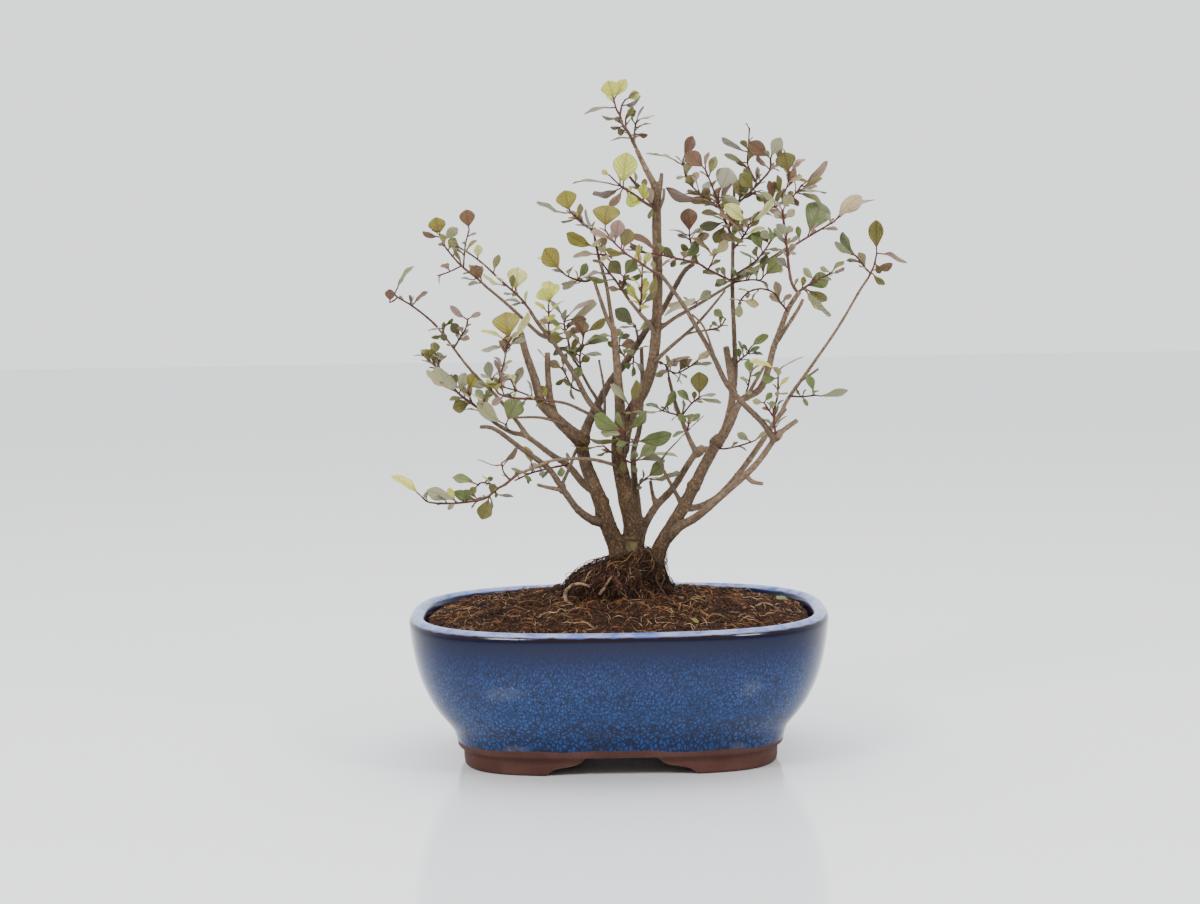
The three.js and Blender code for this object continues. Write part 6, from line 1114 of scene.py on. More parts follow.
# Leafy sprays. Thin red-brown shoots with small pointed blades on crimson stalks, lime when they are young,
# then satin green, and olive, bronze or brown when old, with a darker net of veins. A shoot is its route and
# its two diameters. A leaf is its root and tip as they are seen, its width as it is seen, and its tone.
sprays = {
  "spray_top": {
    "twigs": [
      [[[11.4, 290.1, -3], [9.6, 294, -3], [7.8, 297.5, -4], [5.3, 301, -5], [4.3, 305, -5], [2.6, 308, -6],
        [1.5, 312.5, -7]], 1.9, 0.8],
      [[[4.3, 305, -5], [4.8, 308, -4], [5.3, 310, -3], [6.9, 312.4, -2]], 1, 0.8],
      [[[10.4, 292, -3], [10.9, 296, -1], [11.2, 299, 0], [11.9, 301.7, 1]], 1.1, 0.8],
      [[[7, 298.6, -4], [6.9, 303, -2], [7.5, 305.5, -1]], 1, 0.8],
    ],
    "leaves": [
      [1.4, 312.5, -1.2, 321.3, 9, "lime"], [1.6, 312.5, 7.4, 322, 5.5, "lime"],
      [6.9, 312.3, 13.5, 315.6, 4.5, "lime"], [5.2, 309.6, 14, 313.6, 2.2, "brown"],
      [2, 308.5, -12.7, 306, 2.6, "bronze"], [4.3, 303.5, -4.5, 305.2, 1.2, "olive"],
      [6.6, 304.5, 11.8, 307.4, 2.6, "dark"], [7, 303, 10.5, 309, 3.2, "olive"],
      [11.8, 301.5, 20.5, 305, 1.4, "tan"], [11.2, 299, 19, 301, 1.5, "olive"],
      [11, 296.5, 17.4, 295.7, 1.8, "brown"], [7.6, 298.5, 3, 296.6, 4, "dark"],
      [9.4, 294.3, -0.4, 293.4, 1.9, "dark"], [6, 300, -0.5, 299.4, 1.2, "brown"],
      [11.2, 300.5, 9.4, 307, 1.4, "dark"], [11.9, 301.5, 15.8, 309.2, 0.8, "pink"],
    ],
  },
  "spray_upper_middle": {
    "twigs": [
      [[[18.9, 262, -2.5], [15.5, 264, -8], [11, 267.5, -12], [5.5, 271, -16]], 1.6, 1],
      [[[5.5, 271, -16], [2, 274, -18], [-1, 277, -20]], 0.9, 0.7],
    ],
    "leaves": [
      [5.4, 271.3, 7.5, 287.8, 11.5, "lime"], [4.6, 271.5, -18.7, 273.4, 3.2, "olive"],
      [5, 270.8, -1.5, 262, 3.5, "pink"], [4.6, 271, -9.3, 268, 3, "brown"],
      [6.4, 270.2, 10.5, 262.3, 6, "lime"], [14.5, 264.6, 16.8, 269.4, 3, "lime"],
      [-1, 277, -4.8, 279.6, 2.6, "lime"],
    ],
  },
  "spray_dark_stub": {
    "twigs": [[[[19.5, 262.5, 3], [13, 270.5, 7], [8, 276.8, 9]], 1.7, 1.3]],
    "leaves": [[8.6, 276.3, 18.4, 268.5, 1.6, "olive"], [12, 272, 24, 280, 0.9, "tan"]],
  },
  "spray_upper_left": {
    "twigs": [
      [[[-6.4, 236.8, -4], [-8, 244, -6], [-9.5, 251, -8], [-15, 255.5, -12], [-19.8, 260, -14]], 1.4, 0.8],
      [[[-7, 240, -5], [-3, 239.6, -7], [-0.5, 238, -9]], 0.9, 0.8],
    ],
    "leaves": [
      [-19.8, 260, -22.5, 270.4, 10, "gold"], [-19.5, 259.6, -36, 264.8, 1.4, "grey"],
      [-17, 257.3, -24.6, 255.8, 1, "olive"], [-17, 257.2, -16, 261, 2, "lime"],
      [-10, 251.6, -19.5, 261, 2, "tan"], [-9.6, 251.4, -12.2, 260.2, 1.4, "grey"],
      [-7.9, 243.4, -22, 250.4, 6.5, "gold"], [-6, 240, -19.2, 239, 4, "bronze"],
      [-3, 239.6, -6.6, 244.6, 4, "sage"],
    ],
  },
  "spray_middle": {
    "twigs": [
      [[[22.2, 230.4, -31], [18, 232, -31], [13, 235.6, -31], [8, 238.8, -30], [5, 241.2, -30],
        [0.5, 245.6, -29], [-3.6, 251.5, -28]], 1.4, 0.8],
    ],
    "leaves": [
      [-3.6, 251.5, -2, 263, 13, "gold"], [0.5, 245.4, -10.6, 250.5, 3.6, "pink"],
      [0.9, 245.2, 3, 256.2, 7, "pink"], [4.6, 241.6, 8, 251.8, 7.5, "olive"],
      [6.5, 239.8, -3.6, 242.4, 3.5, "olive"], [20.5, 231, 17.5, 221, 3.5, "olive"],
      [-2, 248.6, -10.5, 243.6, 2.4, "sage"],
    ],
  },
  "spray_over_fork": {
    "twigs": [
      [[[7.2, 218.2, -9.6], [4, 223, -11], [1, 227.5, -12], [-2.5, 232, -13], [-5.5, 236.3, -14]], 1.5,
        0.9],
      [[[4, 223, -11], [4.7, 226, -14], [4.8, 229.3, -16]], 1, 0.8],
    ],
    "leaves": [
      [4.8, 229.2, -1.5, 236.8, 6.5, "dark"], [4.8, 229.3, 10.5, 237.2, 6.5, "green"],
      [4.7, 227.5, 13.6, 230.4, 2.6, "green"], [-1.5, 231, -19, 227, 3.6, "brown"],
      [0.6, 228, -12.4, 229, 2.2, "olive"], [3.8, 223, -2.4, 224.4, 2.4, "bronze"],
    ],
  },
  "spray_red_stalk": {
    "twigs": [[[[12.5, 212, -7], [12.9, 218, -12], [13.4, 226, -16], [13.8, 234, -19]], 1, 0.8]],
    "leaves": [
      [13.8, 234, 10.8, 240.2, 3.8, "cream"], [13.8, 234, 17.6, 240.6, 3.8, "cream"],
      [12.7, 216, 6.6, 226.6, 4, "lime"], [12.9, 218, 16.6, 226.9, 4, "lime"],
      [12.7, 215, 20.6, 225.5, 4, "bronze"],
    ],
  },
  "spray_behind_trunk": {
    "twigs": [[[[11, 197.6, 12], [10.7, 202, 6], [10.1, 206, 0]], 1, 0.8]],
    "leaves": [
      [10.1, 206, 0.4, 213.9, 7, "dark"], [10.3, 205, 2.4, 205.2, 1, "grey"],
      [10.6, 203, 17.5, 208.6, 3, "sage"],
    ],
  },
  "spray_fork_left": {
    "twigs": [
      [[[-9.6, 228.6, -8], [-13, 227.3, -10], [-17, 228, -12], [-22, 230, -15], [-24.6, 232.4, -17]], 1.1,
        0.8],
    ],
    "leaves": [
      [-24.6, 232.4, -32.6, 243.2, 9.5, "gold"], [-23.5, 231.2, -36, 239, 4, "cream"],
      [-17, 228, -12.6, 236, 4, "green"], [-15, 227.5, -25, 226.2, 1.1, "grey"],
    ],
  },
  "spray_lime_pair": {
    "twigs": [[[[-31, 201.6, -20], [-31.2, 207, -23], [-31, 212, -25], [-31, 217, -27]], 1, 0.8]],
    "leaves": [[-31, 217, -34.4, 224.4, 8, "lime"], [-31, 217, -30.2, 227.7, 8, "lime"]],
  },
  "spray_left_middle": {
    "twigs": [
      [[[-17.8, 187.8, -4], [-20.4, 192, -4], [-22, 199, -3], [-23.5, 205, -2], [-23.9, 211.4, -1]], 1.3,
        0.8],
    ],
    "leaves": [
      [-23.9, 211.4, -30, 218.9, 3, "grey"], [-23.6, 209, -9, 218.5, 1.4, "pink"],
      [-23.6, 207, -36, 208.6, 3.6, "brown"], [-23.5, 206, -13, 209.6, 4.4, "bronze"],
      [-23.1, 203.4, -34.6, 202, 4.4, "sage"], [-22.3, 200.4, -32, 199.6, 5, "olive"],
      [-21.6, 197, -29.4, 192.6, 3.4, "dark"], [-23.7, 208.4, -8, 216.6, 4.6, "tan"],
      [-20.6, 193, -14, 197.4, 2.6, "green"],
    ],
  },
  "spray_thin_stalk": {
    "twigs": [[[[-16, 184.4, -4.4], [-16.6, 191, -8], [-15.4, 197, -11], [-14.3, 203, -13]], 1, 0.8]],
    "leaves": [
      [-14.3, 203, -21, 205, 3, "bronze"], [-14.3, 203, -4.2, 209.7, 3.6, "olive"],
      [-14.4, 202.4, -18.4, 208.8, 3, "brown"], [-15.6, 196.4, -2.6, 199.6, 3.2, "green"],
      [-16.6, 193.4, -6, 192.4, 1.2, "grey"], [-17.4, 188.6, -11.6, 191.2, 3.2, "olive"],
      [-17, 191.8, -23.4, 196, 1.3, "green"],
    ],
  },
  "spray_inner_left": {
    "twigs": [[[[-15.2, 174.4, -12.5], [-20.4, 177, -9], [-22.9, 182, -8], [-24.9, 186, -8]], 1.1, 0.8]],
    "leaves": [
      [-24.9, 186, -31, 189.8, 4, "bronze"], [-24.9, 186, -36, 195.4, 3, "green"],
      [-23, 182.2, -28.4, 178.4, 2, "olive"], [-21, 178, -19.4, 171, 1.6, "olive"],
    ],
  },
  "spray_left_shoot": {
    "twigs": [
      [[[-40.9, 215.4, -24.2], [-45, 220.6, -26], [-53.9, 228.8, -29], [-60.8, 235.6, -31], [-67, 240.6,
        -33],
        [-74, 245, -34.5]], 1.3, 0.8],
    ],
    "leaves": [
      [-47, 222.4, -45.4, 234.6, 9.4, "cream"], [-50.5, 225.6, -62, 231.6, 2, "cream"],
      [-42.5, 217.4, -49, 216.4, 1.6, "grey"], [-47, 222.4, -52.4, 222, 1.1, "grey"],
      [-72, 243.8, -78, 247, 2.2, "olive"], [-70, 242.4, -64.4, 247.6, 1.7, "olive"],
    ],
  },
  "spray_left_tip": {
    "twigs": [
      [[[-59.9, 225, -8.8], [-65.8, 230.6, -6], [-71.4, 235, -4], [-76.4, 240.6, -2], [-80, 245.6, 0],
        [-81.5, 250, 1]], 1.3, 0.8],
      [[[-71, 234.7, -4], [-70.6, 240, -8], [-69.8, 246, -11], [-68, 252.4, -13]], 0.9, 0.7],
      [[[-72, 235.6, -4], [-78, 232.8, 0], [-83.4, 231.1, 2]], 0.8, 0.7],
    ],
    "leaves": [
      [-68, 252.4, -69, 262.2, 7.6, "brown"], [-81.5, 250, -83.6, 258.8, 8.6, "gold"],
      [-81.3, 249.2, -90.2, 252, 2.2, "brown"], [-80.4, 247, -73.4, 253.6, 5, "sage"],
      [-78, 243, -74.6, 249, 4.6, "green"], [-64, 229, -65.4, 236, 7, "brown"],
      [-64.6, 229.6, -72.6, 229.8, 1, "grey"], [-70.6, 241, -75.6, 246, 1.6, "olive"],
    ],
  },
  "spray_far_left": {
    "twigs": [
      [[[-84.7, 207.4, 17.9], [-88.3, 211, 17], [-95.8, 217, 15], [-102.6, 221.2, 13], [-103.9, 223, 13]],
        1.2, 0.8],
      [[[-102.6, 221.2, 13], [-104.6, 219.6, 12], [-106.4, 218.8, 11]], 0.8, 0.7],
    ],
    "leaves": [
      [-103.8, 223, -94.4, 236, 3.6, "green"], [-106.4, 218.8, -106.2, 225.2, 5, "brown"],
      [-95.8, 217.2, -88, 223.6, 2.8, "brown"], [-96.6, 217.8, -97, 222.4, 1.2, "pink"],
      [-98.4, 219, -102, 222, 1.4, "grey"],
    ],
  },
  "spray_pink_left": {
    "twigs": [[[[-76.2, 196.8, 16.4], [-73.5, 201.5, 11], [-70.6, 206, 7], [-69.5, 210.4, 5]], 0.9, 0.8]],
    "leaves": [
      [-69.5, 210, -77.8, 216.9, 3.6, "pink"], [-69.5, 210.4, -63.2, 213.2, 3, "pink"],
      [-73, 202.4, -77.4, 208.4, 5, "dark"],
    ],
  },
  "spray_dark_left": {
    "twigs": [[[[-80.4, 202.4, 16.6], [-81.6, 205.4, 12], [-80.4, 208, 9]], 0.9, 0.8]],
    "leaves": [
      [-80.9, 203.6, -87.2, 201.8, 2.4, "green"], [-81.4, 205.4, -80.6, 200, 3.6, "dark"],
      [-81.6, 206, -88.6, 205, 1.1, "grey"], [-80.6, 207.6, -76.4, 210.6, 1.8, "green"],
    ],
  },
  "spray_cut_left": {
    "twigs": [
      [[[-62.4, 165.3, 21.1], [-68.3, 170, 23], [-74.5, 174.8, 25], [-80, 181, 26],
        [-85, 187.5, 27], [-92, 194.5, 29]], 1.5, 0.9],
      [[[-85, 187.5, 27], [-88.4, 195.2, 25]], 1.1, 0.9],
      [[[-82, 183.5, 26.4], [-83.5, 187, 24], [-83.8, 191, 22]], 0.9, 0.7],
      [[[-67.6, 169.6, 23], [-69.5, 172.6, 20], [-70.3, 175.3, 18]], 0.9, 0.8],
    ],
    "leaves": [
      [-75, 175.6, -89.8, 186.4, 6, "tan"], [-75.4, 176, -82.4, 187, 5.5, "sage"],
      [-74.4, 174.8, -71.4, 185, 6, "sage"], [-70.3, 175.3, -66.6, 184.8, 6.6, "gold"],
      [-68.5, 170.2, -77.7, 168, 7, "olive"], [-83.8, 191, -88, 196.4, 3.4, "olive"],
      [-83.8, 190.6, -79.8, 193.2, 1, "grey"],
    ],
  },
  "spray_green_pair": {
    "twigs": [[[[-51.6, 157.6, 14.6], [-52.3, 158.8, 10], [-52.3, 160, 7]], 1.1, 0.9]],
    "leaves": [[-52.3, 159.6, -66, 170.6, 7, "sage"], [-52.3, 160, -46, 172, 10.6, "green"]],
  },
  "spray_long_stalk": {
    "twigs": [
      [[[-30, 170.6, -16], [-38, 171.6, -18], [-48.9, 172.5, -22], [-56, 175, -25], [-55.4, 180, -27],
        [-52.6, 190, -30], [-50.5, 199.5, -33]], 1.3, 0.8],
      [[[-37, 171.4, -17.6], [-42, 173.8, -20], [-47.6, 176, -22], [-54.4, 178, -20]], 0.9, 0.8],
      [[[-47.6, 176, -22], [-49.6, 181.3, -24]], 0.8, 0.7],
    ],
    "leaves": [
      [-50.5, 199.4, -51.6, 213.4, 13, "gold"], [-50.7, 199, -41, 213.2, 4, "cream"],
      [-51, 196.4, -63.6, 195.2, 3.4, "grey"], [-50.9, 197, -42, 200, 2, "grey"],
      [-50.6, 199, -63.6, 204.8, 2, "lime"], [-54.4, 178, -57.4, 179.6, 2.4, "green"],
      [-49.6, 181.3, -54.2, 181.6, 2.2, "olive"], [-49.6, 181.3, -46, 183.6, 2, "brown"],
      [-51, 196, -44.8, 204.8, 1.6, "pink"],
    ],
  },
  "spray_grey_left": {
    "twigs": [[[[-58.9, 176.6, 12.6], [-58.8, 179, 9], [-58.4, 182, 6]], 0.9, 0.8]],
    "leaves": [
      [-58.4, 182, -50.8, 187.8, 2.2, "grey"], [-58.6, 181, -64.2, 184.2, 1.4, "grey"],
      [-58.8, 179.6, -68, 178.4, 3, "sage"],
    ],
  },
  "spray_inner_green": {
    "twigs": [[[[-59.8, 162.9, 18.6], [-62, 168, 15], [-62.6, 172, 12]], 1, 0.8]],
    "leaves": [
      [-62.6, 172, -59.2, 176, 4.4, "green"], [-62.6, 171, -66.4, 176.8, 4, "sage"],
      [-62.6, 168.6, -68.2, 174.6, 2.2, "cream"],
    ],
  },
  "spray_low_left": {
    "twigs": [
      [[[-47.6, 135.6, -30.2], [-53.3, 131, -32], [-57, 129, -33], [-62, 125, -35], [-67, 123.4, -37],
        [-78.3, 122.2, -40], [-89.5, 122.8, -43], [-93, 125.2, -44]], 1.4, 0.8],
      [[[-57, 129, -33], [-60, 131, -31], [-64.6, 132, -29], [-66.6, 130.6, -28]], 0.9, 0.8],
      [[[-51, 132.8, -31.2], [-54, 137, -33], [-54.8, 141.4, -35]], 0.9, 0.7],
    ],
    "leaves": [
      [-93, 125.2, -107.8, 136.2, 5.2, "lime"], [-76, 122.4, -91.2, 128.6, 5, "sage"],
      [-66, 123.6, -78, 128, 4.6, "green"], [-66.4, 131, -78.6, 134.8, 4.6, "green"],
      [-66.4, 130.6, -70, 126.8, 3.6, "olive"], [-63.6, 131.8, -59, 134.4, 2.4, "green"],
      [-60.8, 126, -58.6, 131.4, 4.4, "dark"], [-59, 127.4, -49.4, 124.8, 1.6, "grey"],
      [-61, 125.8, -65, 114.2, 7.4, "olive"], [-61, 125.8, -60.4, 115.8, 2.4, "sage"],
      [-54.8, 141.4, -47.2, 148.5, 3, "bronze"], [-54.6, 140.4, -66.8, 143.2, 1.4, "grey"],
    ],
  },
  "spray_low_left_inner": {
    "twigs": [
      [[[-23.8, 139.9, 1.2], [-32, 138.4, -4], [-40.8, 136.2, -9], [-48.6, 132.8, -14]], 1.1, 0.8],
      [[[-40.4, 136.3, -9], [-40.2, 139, -12]], 0.9, 0.8],
    ],
    "leaves": [
      [-40.2, 139, -43.9, 149.2, 4, "gold"], [-40.2, 138.4, -31.4, 142, 2.6, "sage"],
      [-41, 136.2, -50.6, 138.6, 1.5, "grey"], [-43.6, 135, -42, 131, 1.4, "green"],
    ],
  },
  "spray_centre_low": {
    "twigs": [[[[9.6, 128.6, 8], [12, 131, 3], [14, 132.8, -2]], 1.1, 0.9]],
    "leaves": [
      [14, 132.8, 22.6, 140, 7, "green"], [14, 132.8, 30.6, 134.8, 4, "sage"],
      [12.4, 131.4, 12.6, 137.2, 1.4, "green"],
    ],
  },
  "spray_centre_front": {
    "twigs": [
      [[[3.4, 146, -6.6], [4.2, 150, -14], [4.6, 155.4, -20]], 1.3, 1],
      [[[4.2, 150, -14], [6, 150.2, -18], [8, 150.4, -22]], 1, 0.8],
    ],
    "leaves": [
      [4.6, 155.2, -10.2, 163.6, 7, "green"], [4.6, 155.4, 14.8, 165.4, 5, "green"],
      [4.4, 153.4, -7.2, 155.6, 4, "sage"], [4.3, 152.4, -12.5, 152.2, 2.8, "olive"],
      [4.6, 155, 1, 164.8, 3, "green"], [8, 150.4, 26.8, 154.2, 7.5, "green"],
      [7, 150.3, 0, 148.8, 2.6, "green"],
    ],
  },
  "spray_front_twig": {
    "twigs": [[[[1.4, 143.2, -6.8], [-2.4, 145.6, -12], [-6, 148.8, -15]], 1.1, 0.8]],
    "leaves": [[-6, 148.8, -21.6, 149.6, 1.9, "olive"], [-3.6, 146.6, -9.6, 144.2, 1.4, "olive"]],
  },
  "spray_front_right": {
    "twigs": [[[[4.6, 141.4, -6.4], [7, 140.6, -12], [9.6, 141.4, -17]], 1.1, 0.9]],
    "leaves": [
      [9.6, 141.4, 23.4, 141.4, 5, "dark"], [9.6, 141.4, 19.6, 150, 6, "green"],
      [8.6, 141, 27.4, 144.8, 1.8, "sage"],
    ],
  },
  "spray_leader_low": {
    "twigs": [[[[6.4, 161, -4.6], [6.8, 164, -9], [7, 166.8, -12]], 1, 0.8]],
    "leaves": [
      [7, 166.6, -2.4, 178.3, 3.6, "sage"], [7, 166.8, 10.2, 180.2, 4, "olive"],
      [6.9, 165.4, 13.4, 164.6, 1.8, "sage"],
    ],
  },
  "spray_right_low": {
    "twigs": [[[[30.4, 162.8, 16], [26, 164, 13], [22.4, 165.2, 11]], 1, 0.8]],
    "leaves": [
      [22.4, 165.2, 13.4, 165.2, 1.7, "cream"], [22.4, 165.4, 14.6, 168.6, 2.4, "green"],
      [22.6, 165.2, 28.4, 174.8, 4, "green"], [25.4, 164.2, 24.4, 167.6, 1.2, "green"],
    ],
  },
  "spray_on_cut_twig": {
    "twigs": [[[[34.2, 155.6, -20], [34.8, 158, -22], [34.9, 159.4, -23]], 0.9, 0.8]],
    "leaves": [
      [34.8, 158.6, 29.8, 163.2, 3.6, "green"], [34.8, 159, 40.4, 163.4, 2.8, "green"],
      [34.8, 158.4, 36.8, 162, 2, "sage"],
    ],
  },
  "spray_olive_single": {
    "twigs": [[[[31.6, 162.6, 16], [36, 168, 12], [40, 171.2, 8]], 1, 0.8]],
    "leaves": [
      [40, 171.2, 40, 183.5, 9, "olive"], [36.4, 168.4, 29.4, 174.4, 3.8, "green"],
      [39.6, 171, 48.2, 172.8, 1.2, "grey"], [38.6, 170.2, 50.6, 168.6, 1.8, "sage"],
    ],
  },
  "spray_right_middle": {
    "twigs": [
      [[[25.6, 182.4, 18], [25.2, 184.6, 15], [24.2, 187, 13]], 1.1, 0.9],
      [[[25.2, 184.6, 15], [29.4, 183, 12], [34, 185, 10], [38, 187.4, 9]], 0.9, 0.7],
    ],
    "leaves": [
      [24.2, 187, 36.2, 190.4, 2.8, "brown"], [24.8, 185.4, 19.4, 181.4, 3, "sage"],
      [24.6, 186, 31.4, 190, 3, "bronze"], [38, 187.4, 45.4, 193.2, 3.4, "tan"],
      [35.6, 186, 31, 189.4, 2.4, "sage"], [38, 187.4, 46.4, 187.6, 1.9, "sage"],
      [31, 183.4, 29.8, 178.4, 1.4, "tan"], [24.2, 187, 20.8, 188.8, 1.6, "brown"],
    ],
  },
  "spray_small_right": {
    "twigs": [[[[44, 203.2, -9], [50, 204.6, -11], [53, 208.4, -12]], 0.9, 0.8]],
    "leaves": [[53, 208.4, 47.6, 212.8, 4, "green"], [50, 204.8, 46.4, 207.2, 2, "green"]],
  },
  "spray_mint": {
    "twigs": [[[[39.8, 214.8, 7.6], [39.4, 216.8, 3]], 1, 0.8]],
    "leaves": [
      [39.4, 216.8, 46.2, 221.8, 4.8, "sage"], [39.4, 216.6, 25.4, 215.2, 3.6, "tan"],
      [39.5, 216.4, 28.4, 213, 1.8, "grey"], [39.4, 216.8, 33, 219, 1.6, "tan"],
    ],
  },
  "spray_red_twig": {
    "twigs": [
      [[[56.2, 226.4, 5], [45, 232, -4], [40, 235, -7], [30, 237.5, -11], [21, 239.6, -14], [12, 241, -16],
        [8, 243.5, -17]], 1.3, 0.8],
      [[[45, 232, -4], [46.6, 235, -7], [47.8, 238, -9]], 0.9, 0.7],
    ],
    "leaves": [
      [21, 239.7, 8.5, 249.4, 4, "brown"], [16, 240.4, 8, 245.4, 2.4, "bronze"],
      [30, 237.6, 23, 242.6, 4, "dark"], [32.6, 237, 40.6, 245.2, 4.6, "green"],
      [30, 237.4, 27.4, 233.4, 3, "dark"], [47.8, 238, 36.4, 247.2, 4, "bronze"],
      [47.8, 238, 54.2, 245.6, 5, "tan"], [41, 234.6, 38.4, 240, 2.2, "olive"],
      [38, 235.6, 31.4, 234.4, 2.2, "green"],
    ],
  },
  "spray_upright_brown": {
    "twigs": [[[[38.6, 235.4, 18.2], [37.5, 241, 16], [36.3, 248.4, 13]], 1.3, 0.9]],
    "leaves": [
      [36.3, 248.4, 36, 261.2, 8.6, "brown"], [36.4, 248, 26.4, 250.8, 1.9, "pink"],
      [36.4, 248, 43.6, 252, 2.4, "sage"], [36.8, 246, 30.6, 249, 3, "grey"],
      [37, 244.4, 46, 248.6, 4, "bronze"], [37.6, 240.6, 32, 244, 3, "olive"],
    ],
  },
  "spray_crown_left": {
    "twigs": [
      [[[56.6, 246, 6.8], [54.5, 252, 2], [52, 258, -2], [50.3, 263, -5], [50.5, 268.4, -7]], 1.5, 0.9],
      [[[50.3, 263, -5], [47, 272, -9], [44.2, 279, -11]], 1, 0.8],
      [[[51, 260.8, -4], [44, 266, 1], [38.5, 270.6, 5], [35, 276, 7], [33.6, 283.6, 8]], 1.1, 0.8],
    ],
    "leaves": [
      [50.5, 268.4, 55.4, 279.8, 11, "grey"], [44.2, 279, 35, 287, 8, "brown"],
      [44.2, 279, 46, 287.4, 2, "pink"], [50.3, 263.6, 25.2, 271, 3.2, "brown"],
      [51.2, 260.2, 36, 265.2, 4.6, "olive"], [52.2, 257.6, 42, 258.6, 4, "bronze"],
      [53.5, 254.6, 41, 252.6, 4, "dark"], [53.8, 253.6, 48.4, 244.4, 6, "olive"],
      [33.6, 283.6, 38.4, 295, 5.6, "brown"], [33.8, 281, 16, 287.2, 2.6, "gold"],
      [38.2, 270.8, 36.4, 276.8, 5.4, "olive"], [35.2, 275.6, 30.2, 275.4, 1.8, "sage"],
      [50.4, 266, 60.6, 262.4, 5, "sage"], [52, 258, 60.4, 255.4, 5, "brown"],
    ],
  },
  "spray_cream_pair": {
    "twigs": [[[[57.2, 242, 6.6], [60.5, 245.6, 2], [63.5, 250, -4], [64.5, 252.8, -6]], 1.2, 0.8]],
    "leaves": [
      [64.4, 252.6, 53, 262.4, 6.6, "cream"], [64.5, 252.8, 76.6, 265.6, 4.6, "cream"],
      [61.4, 246.8, 50.6, 257, 5, "brown"], [63, 249.2, 57, 253.4, 5, "olive"],
      [60.8, 246, 71.8, 248.6, 5, "green"], [60.4, 245.4, 51.6, 248.4, 4.4, "bronze"],
      [63.6, 250.4, 69.6, 257.6, 4, "olive"],
    ],
  },
  "spray_crown_top": {
    "twigs": [
      [[[58.5, 262.5, 9.6], [64, 267, 12], [70, 273, 14], [74.6, 278.4, 15], [75, 283.8, 15]], 1.3, 0.9],
      [[[74.6, 278.4, 15], [79.5, 282, 18]], 1, 0.8],
      [[[68.6, 271.7, 13.6], [66, 277, 16], [64.2, 281.4, 17], [64.5, 288, 17], [65.2, 298.3, 17]], 1, 0.7],
      [[[62, 265.3, 11.2], [65, 266.4, 7], [67.8, 268.4, 4]], 1, 0.8],
    ],
    "leaves": [
      [75, 283.8, 64.4, 291.6, 7.6, "brown"], [75, 283.8, 79.8, 293.6, 6, "grey"],
      [74.7, 279.4, 79.4, 277.8, 1.2, "olive"], [74.6, 278.8, 68.4, 285.4, 1.9, "pink"],
      [67.8, 268.4, 60.4, 277, 7, "olive"], [67.8, 268.4, 76, 264.8, 3.4, "sage"],
      [67.4, 268.2, 71.6, 263.6, 4, "olive"], [64.4, 287, 52, 294, 1.7, "grey"],
      [64.3, 282, 53, 286.2, 2.4, "sage"], [64.5, 288.4, 61.6, 291.8, 1.6, "pink"],
      [65, 279.2, 59, 281.8, 1.8, "dark"], [60.6, 264.4, 51.4, 264.6, 5, "sage"],
      [60, 263.8, 57, 276.4, 5, "tan"], [66, 266.9, 62.4, 279.6, 3.6, "dark"],
    ],
  },
  "spray_crown_right": {
    "twigs": [
      [[[58.2, 251, 8.8], [64, 255, 13], [70.5, 259, 16], [78, 264.5, 17], [81, 268, 17], [82.8, 270.5, 17],
        [83.7, 276, 16]], 1.4, 0.8],
      [[[82.8, 270.5, 17], [88.6, 276, 19]], 1.1, 0.9],
      [[[70.5, 259, 16], [79, 262, 20], [86, 266.5, 23], [89.5, 271, 24]], 1, 0.8],
    ],
    "leaves": [
      [83.7, 276, 81, 286.6, 10, "olive"], [83.6, 275.6, 80.4, 288.8, 4.4, "brown"],
      [83.7, 276, 91.4, 283.4, 2.2, "pink"], [83, 271.6, 90, 275.6, 3, "tan"],
      [80.5, 267.4, 76.4, 273.2, 1.2, "olive"], [80.8, 267.8, 73.4, 268.6, 2.8, "sage"],
      [89.5, 271, 102, 282.2, 3.6, "pink"], [89.2, 270.6, 99, 274.6, 1.4, "tan"],
      [87.6, 268.6, 97, 270.6, 3.6, "pink"], [87.2, 268, 101.6, 267.4, 1.8, "grey"],
      [86.8, 267.6, 99, 262.6, 4.2, "olive"], [85.4, 266.2, 88, 261.2, 2.6, "brown"],
    ],
  },
  "spray_right_rod": {
    "twigs": [
      [[[87.4, 220.4, -18.4], [84.6, 225, -17], [83.3, 232, -15], [82.5, 240, -14], [82, 246, -13],
        [81, 254, -12], [80.5, 259.4, -12]], 1.5, 1.1],
    ],
    "leaves": [
      [81.6, 249, 85.4, 251.2, 3.6, "tan"], [81, 254.6, 76.8, 258.8, 4, "tan"],
      [80.9, 255, 86.2, 259.8, 4, "tan"], [82.2, 243.6, 88, 247, 2, "grey"],
      [82.1, 245, 76.2, 250.8, 3.4, "sage"], [82.6, 239.6, 87, 238.8, 1.8, "grey"],
    ],
  },
  "spray_right_shoulder": {
    "twigs": [[[[82, 240.4, 17], [92, 246.4, 19], [105, 253.8, 21]], 1.2, 0.9]],
    "leaves": [
      [92, 246.6, 99, 262.6, 13, "green"], [105, 253.8, 117.8, 265.6, 8, "tan"],
      [105, 253.8, 124.2, 263.6, 2.8, "pink"], [103.6, 253, 101.4, 257.6, 2.6, "grey"],
    ],
  },
  "spray_fan_green": {
    "twigs": [[[[57.2, 229, 5.2], [66, 234.4, -1], [71, 239.5, -4], [75.3, 245.6, -6]], 1.1, 0.8]],
    "leaves": [
      [71, 239.5, 66.4, 250, 5.6, "green"], [75.2, 245.2, 70.2, 249.8, 4.4, "sage"],
      [75.2, 245.6, 80.2, 251.4, 4.6, "sage"], [74, 243.6, 71.6, 247.4, 3.4, "dark"],
      [67.6, 236, 60, 240.6, 2.2, "grey"],
    ],
  },
